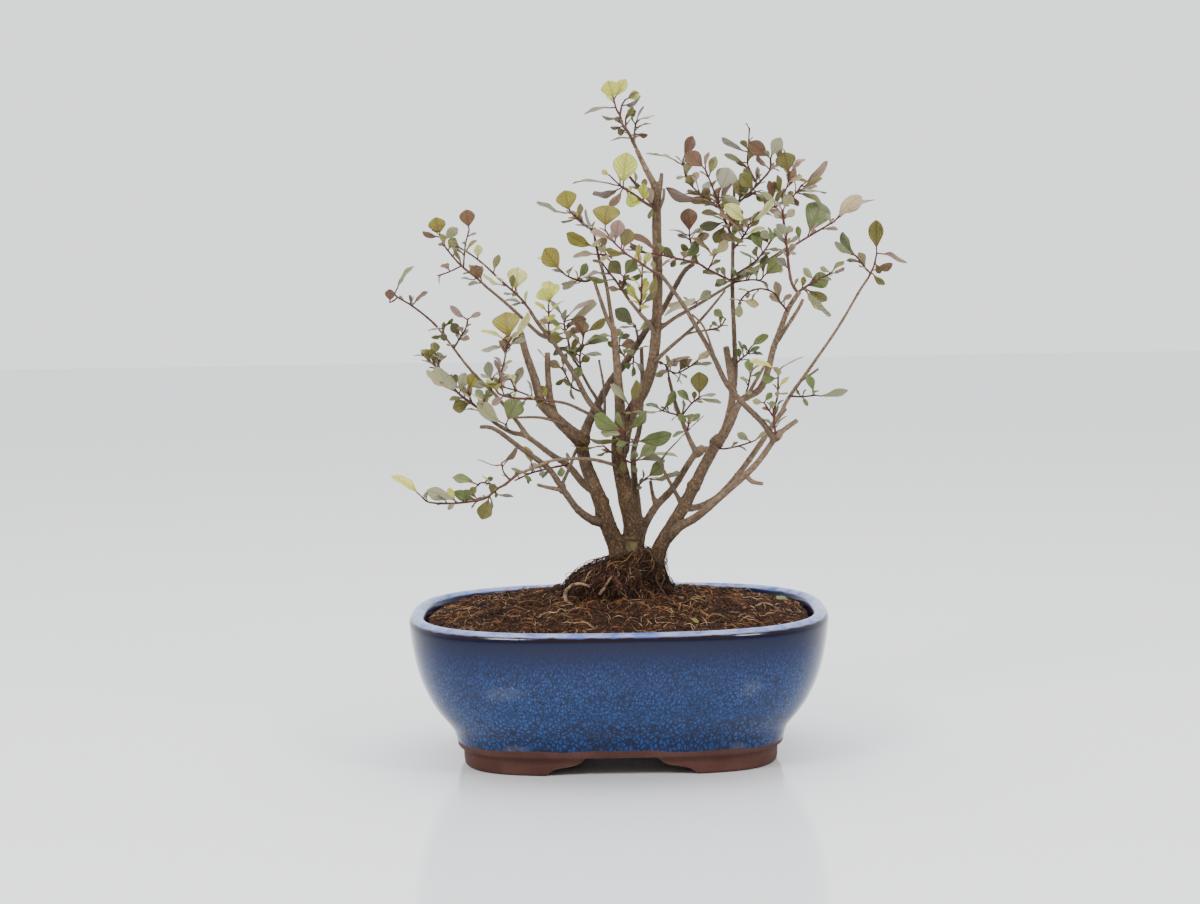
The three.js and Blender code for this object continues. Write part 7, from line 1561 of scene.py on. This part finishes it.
  "spray_green_right": {
    "twigs": [[[[57.2, 225.6, 4.8], [65, 226.8, 0], [69.5, 226.6, -3], [71, 228.2, -4]], 1, 0.8]],
    "leaves": [
      [71, 228.2, 79.6, 236.6, 7.6, "green"], [71, 228.2, 80.2, 232.2, 4, "sage"],
      [71, 228.2, 72.4, 238.8, 3.4, "dark"], [63, 226.6, 63.8, 230.4, 2, "green"],
    ],
  },
  "spray_arch": {
    "twigs": [
      [[[82.6, 211.6, -17.6], [79, 216, -20], [76, 220.5, -20], [70, 222.5, -19], [64, 221, -18],
        [60, 217, -17]], 1, 0.8],
    ],
    "leaves": [
      [60.2, 217.2, 69, 215, 4, "tan"], [60, 217, 59.2, 209, 4, "sage"],
      [78.6, 216.6, 76.8, 226, 4, "bronze"], [79.6, 215.4, 84.6, 219.6, 2.4, "bronze"],
    ],
  },
  "spray_right_green": {
    "twigs": [[[[88.8, 221.5, -19.4], [96, 226, -22], [103, 229.2, -24]], 1.3, 0.8]],
    "leaves": [
      [90.4, 222.6, 102.4, 227.4, 8, "green"], [90.6, 222.6, 101.4, 216.4, 4.6, "olive"],
      [90, 222.2, 98, 211.6, 4, "tan"], [96, 226, 90, 232, 3, "sage"],
      [103, 229.2, 98, 232.2, 2.5, "sage"], [103, 229.2, 109.6, 235, 2.2, "olive"],
      [103, 229.2, 109.4, 232, 2, "brown"], [103, 229.2, 114.6, 229, 1.6, "sage"],
      [91, 223, 103, 210, 1.8, "sage"],
    ],
  },
  "spray_far_right": {
    "twigs": [
      [[[121, 227, 25.2], [122.5, 230, 27], [123.8, 233, 28], [125, 238.6, 29]], 1.1, 0.9],
      [[[122, 229, 26.4], [119.4, 231.6, 24], [117.5, 234.4, 22], [115, 237.5, 20]], 1, 0.8],
    ],
    "leaves": [
      [125, 238.6, 124.8, 254.2, 7, "olive"], [125, 238.4, 139.6, 233.6, 5, "brown"],
      [122.6, 230.4, 132.6, 233.4, 4, "brown"], [124, 234, 126.6, 228.8, 3.6, "olive"],
      [122.2, 229.6, 128.8, 223.4, 2.4, "olive"], [115.2, 237.3, 105, 244.2, 2.2, "sage"],
      [116.6, 235.6, 108.4, 248.7, 3, "green"], [118, 233.6, 110.4, 235.2, 1.8, "green"],
    ],
  },
  "spray_right_side": {
    "twigs": [[[[83.6, 171.3, 16.4], [89, 170.8, 13], [95, 171.4, 10]], 1, 0.8]],
    "leaves": [
      [95, 171.4, 111.2, 173.6, 3, "sage"], [95, 171.4, 91.2, 181.4, 4, "green"],
      [88.6, 170.8, 86.6, 174.4, 1.6, "green"],
    ],
  },
  "spray_right_riser": {
    "twigs": [
      [[[76.4, 153.4, -25.2], [75.6, 160, -27], [76, 166, -28], [77.5, 172, -29], [77.8, 183.4, -30]], 1.2,
        0.8],
      [[[75.7, 161, -27.2], [73, 165, -29], [71, 168.2, -30]], 0.9, 0.8],
    ],
    "leaves": [
      [77.8, 183.4, 64, 188, 2.8, "lime"], [77.8, 183.2, 90.2, 190, 1.4, "tan"],
      [77.7, 180, 69.8, 179.4, 4.6, "green"], [71, 168.2, 74.8, 173, 3, "green"],
      [71, 168.2, 65.4, 169.4, 3, "sage"], [77.5, 173, 82.6, 172.4, 1.2, "sage"],
    ],
  },
  "spray_rod_side": {
    "twigs": [[[[58, 187.4, 2.4], [61, 190, -1], [63, 191.5, -3], [64.5, 194.3, -4]], 1, 0.8]],
    "leaves": [
      [64.5, 194.3, 73.4, 200.4, 4.2, "green"], [63.8, 193, 61.2, 196.4, 1.8, "green"],
      [63, 191.6, 70.6, 191.2, 1.7, "dark"], [61.4, 190.4, 58.8, 198, 2.2, "green"],
    ],
  },
  "spray_fork_inner": {
    "twigs": [[[[62.6, 173, -11.4], [63.5, 176.4, -15], [64.5, 181.4, -18]], 1, 0.8]],
    "leaves": [
      [64.5, 181.4, 63.6, 188.8, 4.6, "green"], [64.5, 181.4, 69.2, 187.6, 2.8, "sage"],
      [64.4, 181, 70, 183.2, 2.4, "green"], [64, 178.6, 59.4, 180.4, 1.8, "sage"],
    ],
  },
  "spray_cross_twig": {
    "twigs": [[[[50.6, 146.4, -7.2], [58, 147.5, -12], [65, 149.6, -15]], 1, 0.8]],
    "leaves": [[64.6, 149.6, 58, 153.9, 3.6, "sage"], [65, 149.6, 72.2, 155.2, 1.5, "sage"]],
  },
  "spray_behind_fork": {
    "twigs": [[[[5.6, 190.2, 13.6], [3, 194, 17], [1, 198.5, 20], [0.4, 200.8, 21]], 1, 0.8]],
    "leaves": [
      [0.4, 200.8, -10.2, 200.4, 2.4, "green"], [0.6, 200.4, 7.6, 201.6, 3, "sage"],
      [2, 196.4, 9.6, 198.4, 5, "pink"], [2.6, 194.8, -3.4, 198.4, 3.4, "olive"],
    ],
  },
  "spray_behind_low": {
    "twigs": [[[[8.6, 193.2, 9.8], [9, 190.4, 6], [8.7, 188.2, 4]], 1, 0.8]],
    "leaves": [
      [8.7, 188.2, 4.8, 186.2, 3.6, "green"], [8.8, 189, 14.2, 184.4, 3, "grey"],
      [8.7, 188.2, 8.4, 181.6, 2.2, "olive"],
    ],
  },
}
leaf_tones = {
    "lime": "e4f46c", "cream": "f6ee8e", "gold": "aca64a", "olive": "8a8848", "green": "84965a",
    "dark": "6c6e46", "sage": "9c9e70", "bronze": "9a8868", "brown": "8e6c52", "pink": "b89a8a",
    "tan": "bcaa7c", "grey": "a3a28c",
}
undersides_in_view = ("sage", "grey", "tan")
bright_tones = ("lime", "cream")
stalk_tones = ("6a2c38", "6e3a38", "573430", "6b4a3a")
petiole_share = 0.15
leaf_proportion = 0.56
leaf_bow = 0.07
blade_widest_power = 1.42
blade_fullness = 0.74
rib_half_width = 0.42
rib_above = 0.12
rib_below = 0.26
blade_thickness = 0.34
stalk_radius = 0.34
stalk_foot_swelling = 1.35
leaf_sides = 14
shoot_sides = 8
stalk_shares = (0.0, 0.05, 0.10)
blade_shares = (0.03, 0.09, 0.17, 0.27, 0.38, 0.49, 0.60, 0.70, 0.79, 0.87, 0.935, 0.98)
draw_seed = 20
draw_factor = 16807
draw_limit = 2147483647
tip_match = 0.05
young_leaf_step = 4.9
young_leaf_share = 0.5
young_leaf_length = (3.4, 8.8)
thick_spots = [(50.0, 254.0, 42.0), (-24.0, 208.0, 34.0), (-62.0, 182.0, 24.0), (20.0, 180.0, 26.0)]
thick_spot_share = 0.46
young_leaf_reach = 134.0
young_leaf_left = 101.0
young_leaf_top = 316.0


def next_draw():
    """The same small draws as the solids take, so that every leaf rolls to the same side."""
    global draw_seed
    draw_seed = draw_seed * draw_factor % draw_limit
    return draw_seed / draw_limit


def blade_share(along):
    """The blade's width at a share of its length, as a share of its full width."""
    return math.sin(math.pi * along ** blade_widest_power) ** blade_fullness


def nearest_on_shoots(shoots, across, up):
    """The spot on the shoots that is nearest to a spot as it is seen."""
    best = None
    for shoot in shoots:
        for start, end in zip(shoot, shoot[1:]):
            run = max((end.x - start.x) ** 2 + (end.y - start.y) ** 2, 1e-9)
            share = ((across - start.x) * (end.x - start.x) + (up - start.y) * (end.y - start.y)) / run
            point = start.lerp(end, min(1.0, max(0.0, share)))
            distance = math.hypot(point.x - across, point.y - up)
            if best is None or distance < best[0] - 1e-9:
                best = (distance, point)
    return best[1]


def seen_tips(node):
    """The vertices of a spray's solid as they are seen from the front: across, up and away."""
    solid = bpy.data.objects[node]
    count = len(solid.data.vertices)
    spots = np.empty(count * 3, dtype=np.float32)
    solid.data.vertices.foreach_get("co", spots)
    spots = spots.reshape(-1, 3).astype(float)
    matrix = np.array(solid.matrix_world)
    spots = spots @ matrix[:3, :3].T + matrix[:3, 3]
    spots = (spots - np.array((pot_middle.x, pot_middle.y, 0.0))) / MM
    depth = (eye_distance + spots[:, 1]) / eye_distance
    across = eye_across + (spots[:, 0] - eye_across) / depth
    up = eye_height + (spots[:, 2] - eye_height) / depth
    return np.stack([across, up, spots[:, 1]], 1)


def empty_spray():
    return {"points": [], "faces": [], "uv": [], "tone": [], "blade": [], "top": [], "rim": []}


def note_spot(spray, flat, tone, blade, top, rim):
    """Notes a vertex's place on its leaf, its tone, and how far it is on the blade, its top and its rim."""
    for key, value in (("uv", flat), ("tone", tone), ("blade", blade), ("top", top), ("rim", rim)):
        spray[key].append(value)


def add_rings(spray, rings):
    spray["faces"] += skin(rings, len(spray["points"]))
    spray["points"] += [spot for ring in rings for spot in ring]


def make_leaf(root, tip, facing, width, tone, side_up, draws, spray):
    """Adds one blade on its stalk: closed, cupped along the midrib, with a waved edge and a slight twist."""
    along = tip - root
    length = along.length
    along.normalize()
    aside = along.cross(facing)
    twist = draws.uniform(-0.28, 0.28)
    wave = draws.uniform(0.02, 0.055) * width
    phase = draws.uniform(0, 6.28)
    waves = draws.uniform(1.2, 2.3)
    cup = draws.uniform(0.10, 0.26) * side_up
    droop = draws.uniform(-0.03, 0.05) * length
    swerve = draws.uniform(-0.035, 0.035) * length
    stalk_tone = colour(draws.choice(stalk_tones), 0.75)
    bright = draws.uniform(0.84, 1.14)
    jitter = [draws.uniform(0.96, 1.08), draws.uniform(0.95, 1.04), draws.uniform(0.8, 1.1)]
    shade = colour(leaf_tones[tone], 1.25 if tone in bright_tones else 0.98, 1.0)
    shade = tuple(min(1.0, value * bright * change) for value, change in zip(shade, jitter)) + (1.0,)
    stations = [(share, None) for share in stalk_shares]
    stations += [(petiole_share + (1 - petiole_share) * share, share) for share in blade_shares]
    rings = []
    for share, blade in stations:
        bow = 4 * leaf_bow * length * share * (1 - share) + droop * math.sin(2 * math.pi * share) * share
        middle = root + along * (share * length) + facing * bow + aside * (swerve * math.sin(math.pi * share))
        half_width = stalk_radius * (stalk_foot_swelling if share == 0 else 1.0)
        half_height = half_width
        if blade is not None:
            half_width = max(width / 2 * blade_share(blade), stalk_radius * (1 - 0.9 * blade))
            half_height = blade_thickness / 2 + (stalk_radius - blade_thickness / 2) * max(0.0, 1 - blade * 7)
        turn = twist * share
        local_aside = aside * math.cos(turn) + facing * math.sin(turn)
        local_facing = facing * math.cos(turn) - aside * math.sin(turn)
        ring = []
        for side in range(leaf_sides):
            angle = 2 * math.pi * side / leaf_sides
            x = half_width * math.cos(angle)
            z = half_height * math.sin(angle)
            if blade is not None:
                reach = abs(x) / max(half_width, 1e-6)
                z += cup * abs(x) ** 1.25 * width ** -0.25
                ripple = math.sin(waves * 2 * math.pi * blade + phase + (1.7 if x > 0 else 0))
                z += wave * ripple * reach ** 2.5 * min(1, 3 * blade_share(blade))
                rib = math.exp(-(x / rib_half_width) ** 2) * (1 - blade) ** 0.6
                z -= side_up * rib * (rib_above if math.sin(angle) * side_up > 0 else rib_below)
            ring.append(middle + local_aside * x + local_facing * z)
            top = min(1.0, max(0.0, 0.5 + math.sin(angle) * side_up * 3))
            rim = abs(math.cos(angle)) ** 3 if blade is not None else 0.0
            if blade is not None and blade > blade_shares[0]:
                note_spot(spray, (0.5 + x / width, blade), shade, 1.0, top, rim)
            else:
                note_spot(spray, (0.5 + x / width, blade or 0.0), stalk_tone, 0.0, top, rim)
        rings.append(ring)
    rings.append([tip + (spot - rings[-1][0]) * 0.02 for spot in rings[-1]])
    for _ in range(leaf_sides):
        note_spot(spray, (0.5, 1.0), shade, 1.0, 1.0, 1.0)
    add_rings(spray, rings)


def make_shoot(line, thick, thin, draws, spray):
    """Adds one shoot: a round stem with a small swelling every few millimetres and a blunt bud at its end."""
    route = [in_sight(spot) for spot in line]
    rings, centres = tube(route, [thick, thin], shoot_sides, 1)
    gap = draws.uniform(4.5, 8.0)
    for row, (point, _, _, radius, run) in enumerate(centres):
        size = 1 + 0.22 * math.exp(-((run % gap - gap / 2) / 0.8) ** 2)
        rings[row] = [point + (spot - point) * size for spot in rings[row]]
    rings = rounded_end(rings, centres)
    young = colour(draws.choice(stalk_tones[:3]))
    woody = colour("7b6350")
    total = centres[-1][4]
    for row in range(len(rings)):
        run = centres[min(row, len(centres) - 1)][4]
        age = min(1.0, max(0.0, (thick - 0.9) / 0.9)) * (1 - run / total)
        tone = tuple(y + (w - y) * age for y, w in zip(young, woody))
        for _ in range(shoot_sides):
            note_spot(spray, (0.5, 0.0), tone, 0.0, 1.0, 0.0)
    add_rings(spray, rings)


def make_leaf_finish():
    """Satin blades with a midrib, slanted side veins and a fine net, paler below, on crimson stalks."""
    finish, tree, shader = new_finish("myrtle_leaf", 0.42, 0.3)
    tone = attribute_of(tree, "tone", "Color")
    blade = attribute_of(tree, "blade")
    top = attribute_of(tree, "top")
    flat = add_node(tree, "ShaderNodeUVMap", uv_map="leaf").outputs[0]
    spot = place_on(tree)
    parts = add_node(tree, "ShaderNodeSeparateXYZ", {"Vector": flat}).outputs
    from_rib = number_math(tree, "ABSOLUTE", number_math(tree, "SUBTRACT", parts["X"], 0.5))
    midrib = ranged(tree, from_rib, 0.025, 0.07, 1.0, 0.0)
    wobble = noise_in(tree, spot, 260.0, 1.0)
    sided = product_of(tree, number_math(tree, "GREATER_THAN", parts["X"], 0.5), 0.47)
    slant = product_of(tree, from_rib, 5.6)
    rise = number_math(tree, "SUBTRACT", product_of(tree, parts["Y"], 6.0), slant)
    phase = sum_of(tree, sum_of(tree, rise, sided), product_of(tree, wobble, 0.5))
    phase = number_math(tree, "FRACT", phase, 1.0)
    beside = number_math(tree, "ABSOLUTE", number_math(tree, "SUBTRACT", phase, 0.5))
    side_veins = ranged(tree, beside, 0.05, 0.17, 0.9, 0.0)
    net_place = add_node(tree, "ShaderNodeMapping", {"Vector": flat, "Scale": (9.0, 15.0, 1.0)}).outputs[0]
    net = add_node(tree, "ShaderNodeTexVoronoi", {"Vector": net_place, "Scale": 1.0},
                   feature="DISTANCE_TO_EDGE", voronoi_dimensions="2D").outputs["Distance"]
    fine_veins = ranged(tree, net, 0.02, 0.11, 0.45, 0.0)
    veins = number_math(tree, "MAXIMUM", number_math(tree, "MAXIMUM", midrib, side_veins), fine_veins)
    veins = product_of(tree, veins, blade)

    patches = noise_in(tree, spot, 330.0, 4.0)
    fine = noise_in(tree, spot, 1500.0)
    mottle = graded(tree, patches, [(0.3, "c8c4b8"), (0.55, "f2f2ea"), (0.72, "ffffff")])
    mottled = blended(tree, 0.75, tone, mottle, "MULTIPLY")
    vein_tone = blended(tree, 0.68, tone, colour("4c2a20"))
    lined = blended(tree, product_of(tree, veins, 0.9), mottled, vein_tone)
    lined = blended(tree, ranged(tree, parts["Y"], 0.0, 0.3, 0.5, 0.0), lined, colour("7c3c3c"))
    pale = blended(tree, 0.4, tone, colour("a8a888"))
    pale = blended(tree, product_of(tree, veins, 0.45), pale, vein_tone)
    both = blended(tree, top, pale, lined)
    rim = attribute_of(tree, "rim")
    both = blended(tree, ranged(tree, rim, 0.7, 1.0, 0.0, 0.55), both, vein_tone)
    stalk = blended(tree, ranged(tree, fine, 0.35, 0.65, 0.0, 0.45), tone, colour("5a3a2e"))
    tree.links.new(blended(tree, blade, stalk, both), shader.inputs["Base Color"])
    tree.links.new(ranged(tree, top, 0.0, 1.0, 0.62, 0.4, "LINEAR"), shader.inputs["Roughness"])
    swell = sum_of(tree, number_math(tree, "SUBTRACT", 1.0, veins), product_of(tree, fine, 0.35))
    bumped(tree, shader, swell, 0.00022, 0.7)
    return finish


leaf_finish = make_leaf_finish()
wood_tree = kdtree.KDTree(len(limb_samples))
for number, sample in enumerate(limb_samples):
    wood_tree.insert(sample[0], number)
wood_tree.balance()


def seen(point):
    """A place in space as across, up and away."""
    depth = (eye_distance + point.y) / eye_distance
    across = eye_across + (point.x - eye_across) / depth
    return Vector((across, eye_height + (point.z - eye_height) / depth, point.y))


def add_young_leaves(route, tones, draws, spray):
    """Small leaves in pairs on the last years' wood of a shoot, each pair turned square to the one before."""
    run = draws.uniform(1.0, young_leaf_step)
    turn = draws.uniform(0, math.pi)
    for start, end in zip(route, route[1:]):
        span = (end - start).length
        along = (end - start).normalized()
        while run < span:
            node = start.lerp(end, run / span)
            place = seen(node)
            thickness = max(
                math.exp(-((place.x - across) ** 2 + (place.y - up) ** 2) / reach ** 2)
                for across, up, reach in thick_spots
            )
            run += draws.uniform(0.7, 1.3) * young_leaf_step
            turn += math.pi / 2
            for side in (0, math.pi):
                length = draws.uniform(*young_leaf_length)
                present = draws.random() < young_leaf_share + thick_spot_share * thickness
                swing = turn + side + draws.uniform(-0.3, 0.3)
                aside = Matrix.Rotation(swing, 3, along) @ along.orthogonal().normalized()
                direction = (along * draws.uniform(0.4, 1.1) + aside + Vector((0, 0, 0.25))).normalized()
                length *= 1 + 0.4 * thickness
                tip = node + direction * length
                tone = draws.choice(tones)
                in_box = -young_leaf_left < tip.x < young_leaf_reach and tip.z < young_leaf_top
                tilt = Vector((draws.uniform(-1, 1), draws.uniform(-1, 1), 0)) * 0.6
                facing = Vector((0.0, -0.35, 1.0)) + tilt
                facing = (facing - direction * facing.dot(direction)).normalized()
                width = length * draws.uniform(0.36, 0.6)
                if present and in_box:
                    make_leaf(node, tip, facing, width, tone, 1, draws, spray)
        run -= span


def make_spray(name, shoots, leaves):
    """One spray, which keeps to the shoots, leaf roots and leaf tips of its solid."""
    draws = random.Random(name)
    spray = empty_spray()
    lines = []
    for order, (route, thick, thin) in enumerate(shoots):
        spots = [Vector(spot) for spot in route]
        if order:
            spots[0] = nearest_on_shoots(lines, spots[0].x, spots[0].y)
        else:
            root = seen(wood_tree.find(in_sight(spots[0]))[0])
            spots = [root] + spots if (root - spots[0]).length > 0.6 else [root] + spots[1:]
        line = eased(spots, 5)
        lines.append(line)
        make_shoot(line, thick, thin, draws, spray)
    tips = seen_tips(name)
    for across, up, tip_across, tip_up, width_seen, tone in leaves:
        next_draw()
        side = -1 if next_draw() < 0.5 else 1
        misses = np.hypot(tips[:, 0] - tip_across, tips[:, 1] - tip_up)
        if misses.min() > tip_match:
            continue
        root = in_sight(nearest_on_shoots(lines, across, up))
        tip = in_sight((tip_across, tip_up, tips[misses.argmin(), 2]))
        length = (tip - root).length
        width = max(width_seen, leaf_proportion * length * (1 - petiole_share))
        roll = side * math.acos(min(1.0, width_seen / width))
        along = (tip - root).normalized()
        facing = Vector((0.0, -1.0, 0.1))
        facing = (facing - along * facing.dot(along)).normalized()
        facing = Matrix.Rotation(roll, 3, along) @ facing
        side_up = -1 if tone in undersides_in_view else 1
        make_leaf(root, tip, facing, width, tone, side_up, draws, spray)
    tones = [leaf[5] for leaf in leaves]
    for line in lines:
        add_young_leaves([in_sight(spot) for spot in line], tones, draws, spray)
    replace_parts(finished_spray(name + "_leaves", spray), name)


def finished_spray(name, spray):
    """The collected leaves as one piece."""
    piece = new_piece(name, spray["points"], spray["faces"], [leaf_finish])
    mesh = piece.data
    clean_faces(mesh)
    put_attribute(mesh, "tone", "FLOAT_COLOR", spray["tone"])
    for key in ("blade", "top", "rim"):
        put_attribute(mesh, key, "FLOAT", spray[key])
    layer = mesh.uv_layers.new(name="leaf")
    flat = np.array(spray["uv"], dtype=np.float32)
    corners = np.empty(len(mesh.loops), dtype=np.int32)
    mesh.loops.foreach_get("vertex_index", corners)
    layer.data.foreach_set("uv", flat[corners].ravel())
    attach(piece, "root")
    return piece


for spray_name, spray_data in sprays.items():
    make_spray(spray_name, spray_data["twigs"], spray_data["leaves"])

# Fallen leaves. Two green leaves lie by the rim at the back right, and a small yellowed one on the coir in
# front. Each is the place of its stalk and of its tip on the soil, its width and its tone.
fallen_leaves = [
    ([74.5, 20.0], [83.0, 18.5], 4.8, "green"), ([77.0, 24.0], [81.5, 28.0], 3.6, "sage"),
    ([32.0, -46.0], [36.6, -48.0], 2.6, "gold"),
]
above_soil = 90.0
fallen_leaf_lift = 1.1


def make_fallen_leaves():
    """Each leaf's two ends are dropped on to the soil."""
    draws = random.Random("fallen")
    spray = empty_spray()
    ground = bvhtree.BVHTree.FromObject(coir_soil, bpy.context.evaluated_depsgraph_get())
    for root, tip, width, tone in fallen_leaves:
        ends = []
        for x, y in (root, tip):
            above = in_place([Vector((x, y, above_soil))])[0]
            found = ground.ray_cast(Vector(above), Vector((0.0, 0.0, -1.0)))[0]
            ends.append(Vector((x, y, found.z / MM + fallen_leaf_lift)))
        make_leaf(*ends, Vector((0.0, -0.35, 0.94)), width, tone, 1, draws, spray)
    finished_spray("fallen_leaves", spray)


make_fallen_leaves()

# Floor, light and camera. A plain pale, slightly glossy floor under soft studio light, seen from the front
# and a little above, from where the photograph was taken.
floor_half_size = 3.0
camera_lens = 69.378
camera_pitch = 0.1028
camera_roll = -0.016
sensor_width = 36.0


def make_floor():
    mesh = bpy.data.meshes.new("studio_floor")
    half = floor_half_size
    corners = [(-half, -half, 0), (half, -half, 0), (half, half, 0), (-half, half, 0)]
    mesh.from_pydata(corners, [], [(0, 1, 2, 3)])
    floor = bpy.data.objects.new("studio_floor", mesh)
    bpy.context.scene.collection.objects.link(floor)
    finish, _, shader = new_finish("pale_floor", 0.1)
    shader.inputs["Base Color"].default_value = colour("f2f3f5", 1.0, 1.0)
    mesh.materials.append(finish)


def make_light(name, place, width, height, power):
    """A soft lamp that points at the middle of the plant."""
    target = Vector((pot_middle.x, 0.0, 0.15))
    light = bpy.data.lights.new(name, "AREA")
    light.shape = "RECTANGLE"
    light.size = width
    light.size_y = height
    light.energy = power
    lamp = bpy.data.objects.new(name, light)
    lamp.location = place
    lamp.rotation_euler = (target - Vector(place)).to_track_quat("-Z", "Y").to_euler()
    bpy.context.scene.collection.objects.link(lamp)


def make_studio():
    """A sky that is brighter behind the plant, two windows and an overhead lamp."""
    world = bpy.data.worlds.new("studio")
    bpy.context.scene.world = world
    world.use_nodes = True
    tree = world.node_tree
    toward = add_node(tree, "ShaderNodeTexCoord").outputs["Generated"]
    toward = part_of(tree, toward, "Y")
    background = tree.nodes["Background"]
    tree.links.new(ranged(tree, toward, -0.6, 0.7, 0.55, 1.7), background.inputs["Strength"])
    background.inputs["Color"].default_value = colour("f6f8fb", 1.0, 1.0)
    make_light("window_left", (-1.0, -1.25, 1.45), width=0.62, height=0.5, power=28.0)
    make_light("window_right", (1.15, -1.05, 1.3), width=0.42, height=0.5, power=17.0)
    make_light("overhead", (0.0, 0.1, 1.6), width=1.4, height=1.2, power=22.0)


def make_camera():
    """The photograph's own place and lens, rolled by the little that it leans."""
    lens = bpy.data.cameras.new("front_camera")
    lens.sensor_width = sensor_width
    lens.lens = camera_lens
    lens.clip_start = 0.01
    lens.clip_end = 20.0
    camera = bpy.data.objects.new("front_camera", lens)
    forward = Vector((0.0, math.cos(camera_pitch), -math.sin(camera_pitch)))
    right = Vector((1.0, 0.0, 0.0))
    up = right.cross(forward)
    tilt_right = right * math.cos(camera_roll) + up * math.sin(camera_roll)
    tilt_up = up * math.cos(camera_roll) - right * math.sin(camera_roll)
    turn = Matrix((tilt_right, tilt_up, -forward)).transposed().to_4x4()
    spot = Vector((pot_middle.x + eye_across * MM, pot_middle.y - eye_distance * MM, eye_height * MM))
    camera.matrix_world = Matrix.Translation(spot) @ turn
    bpy.context.scene.collection.objects.link(camera)
    bpy.context.scene.camera = camera


make_floor()
make_studio()
make_camera()
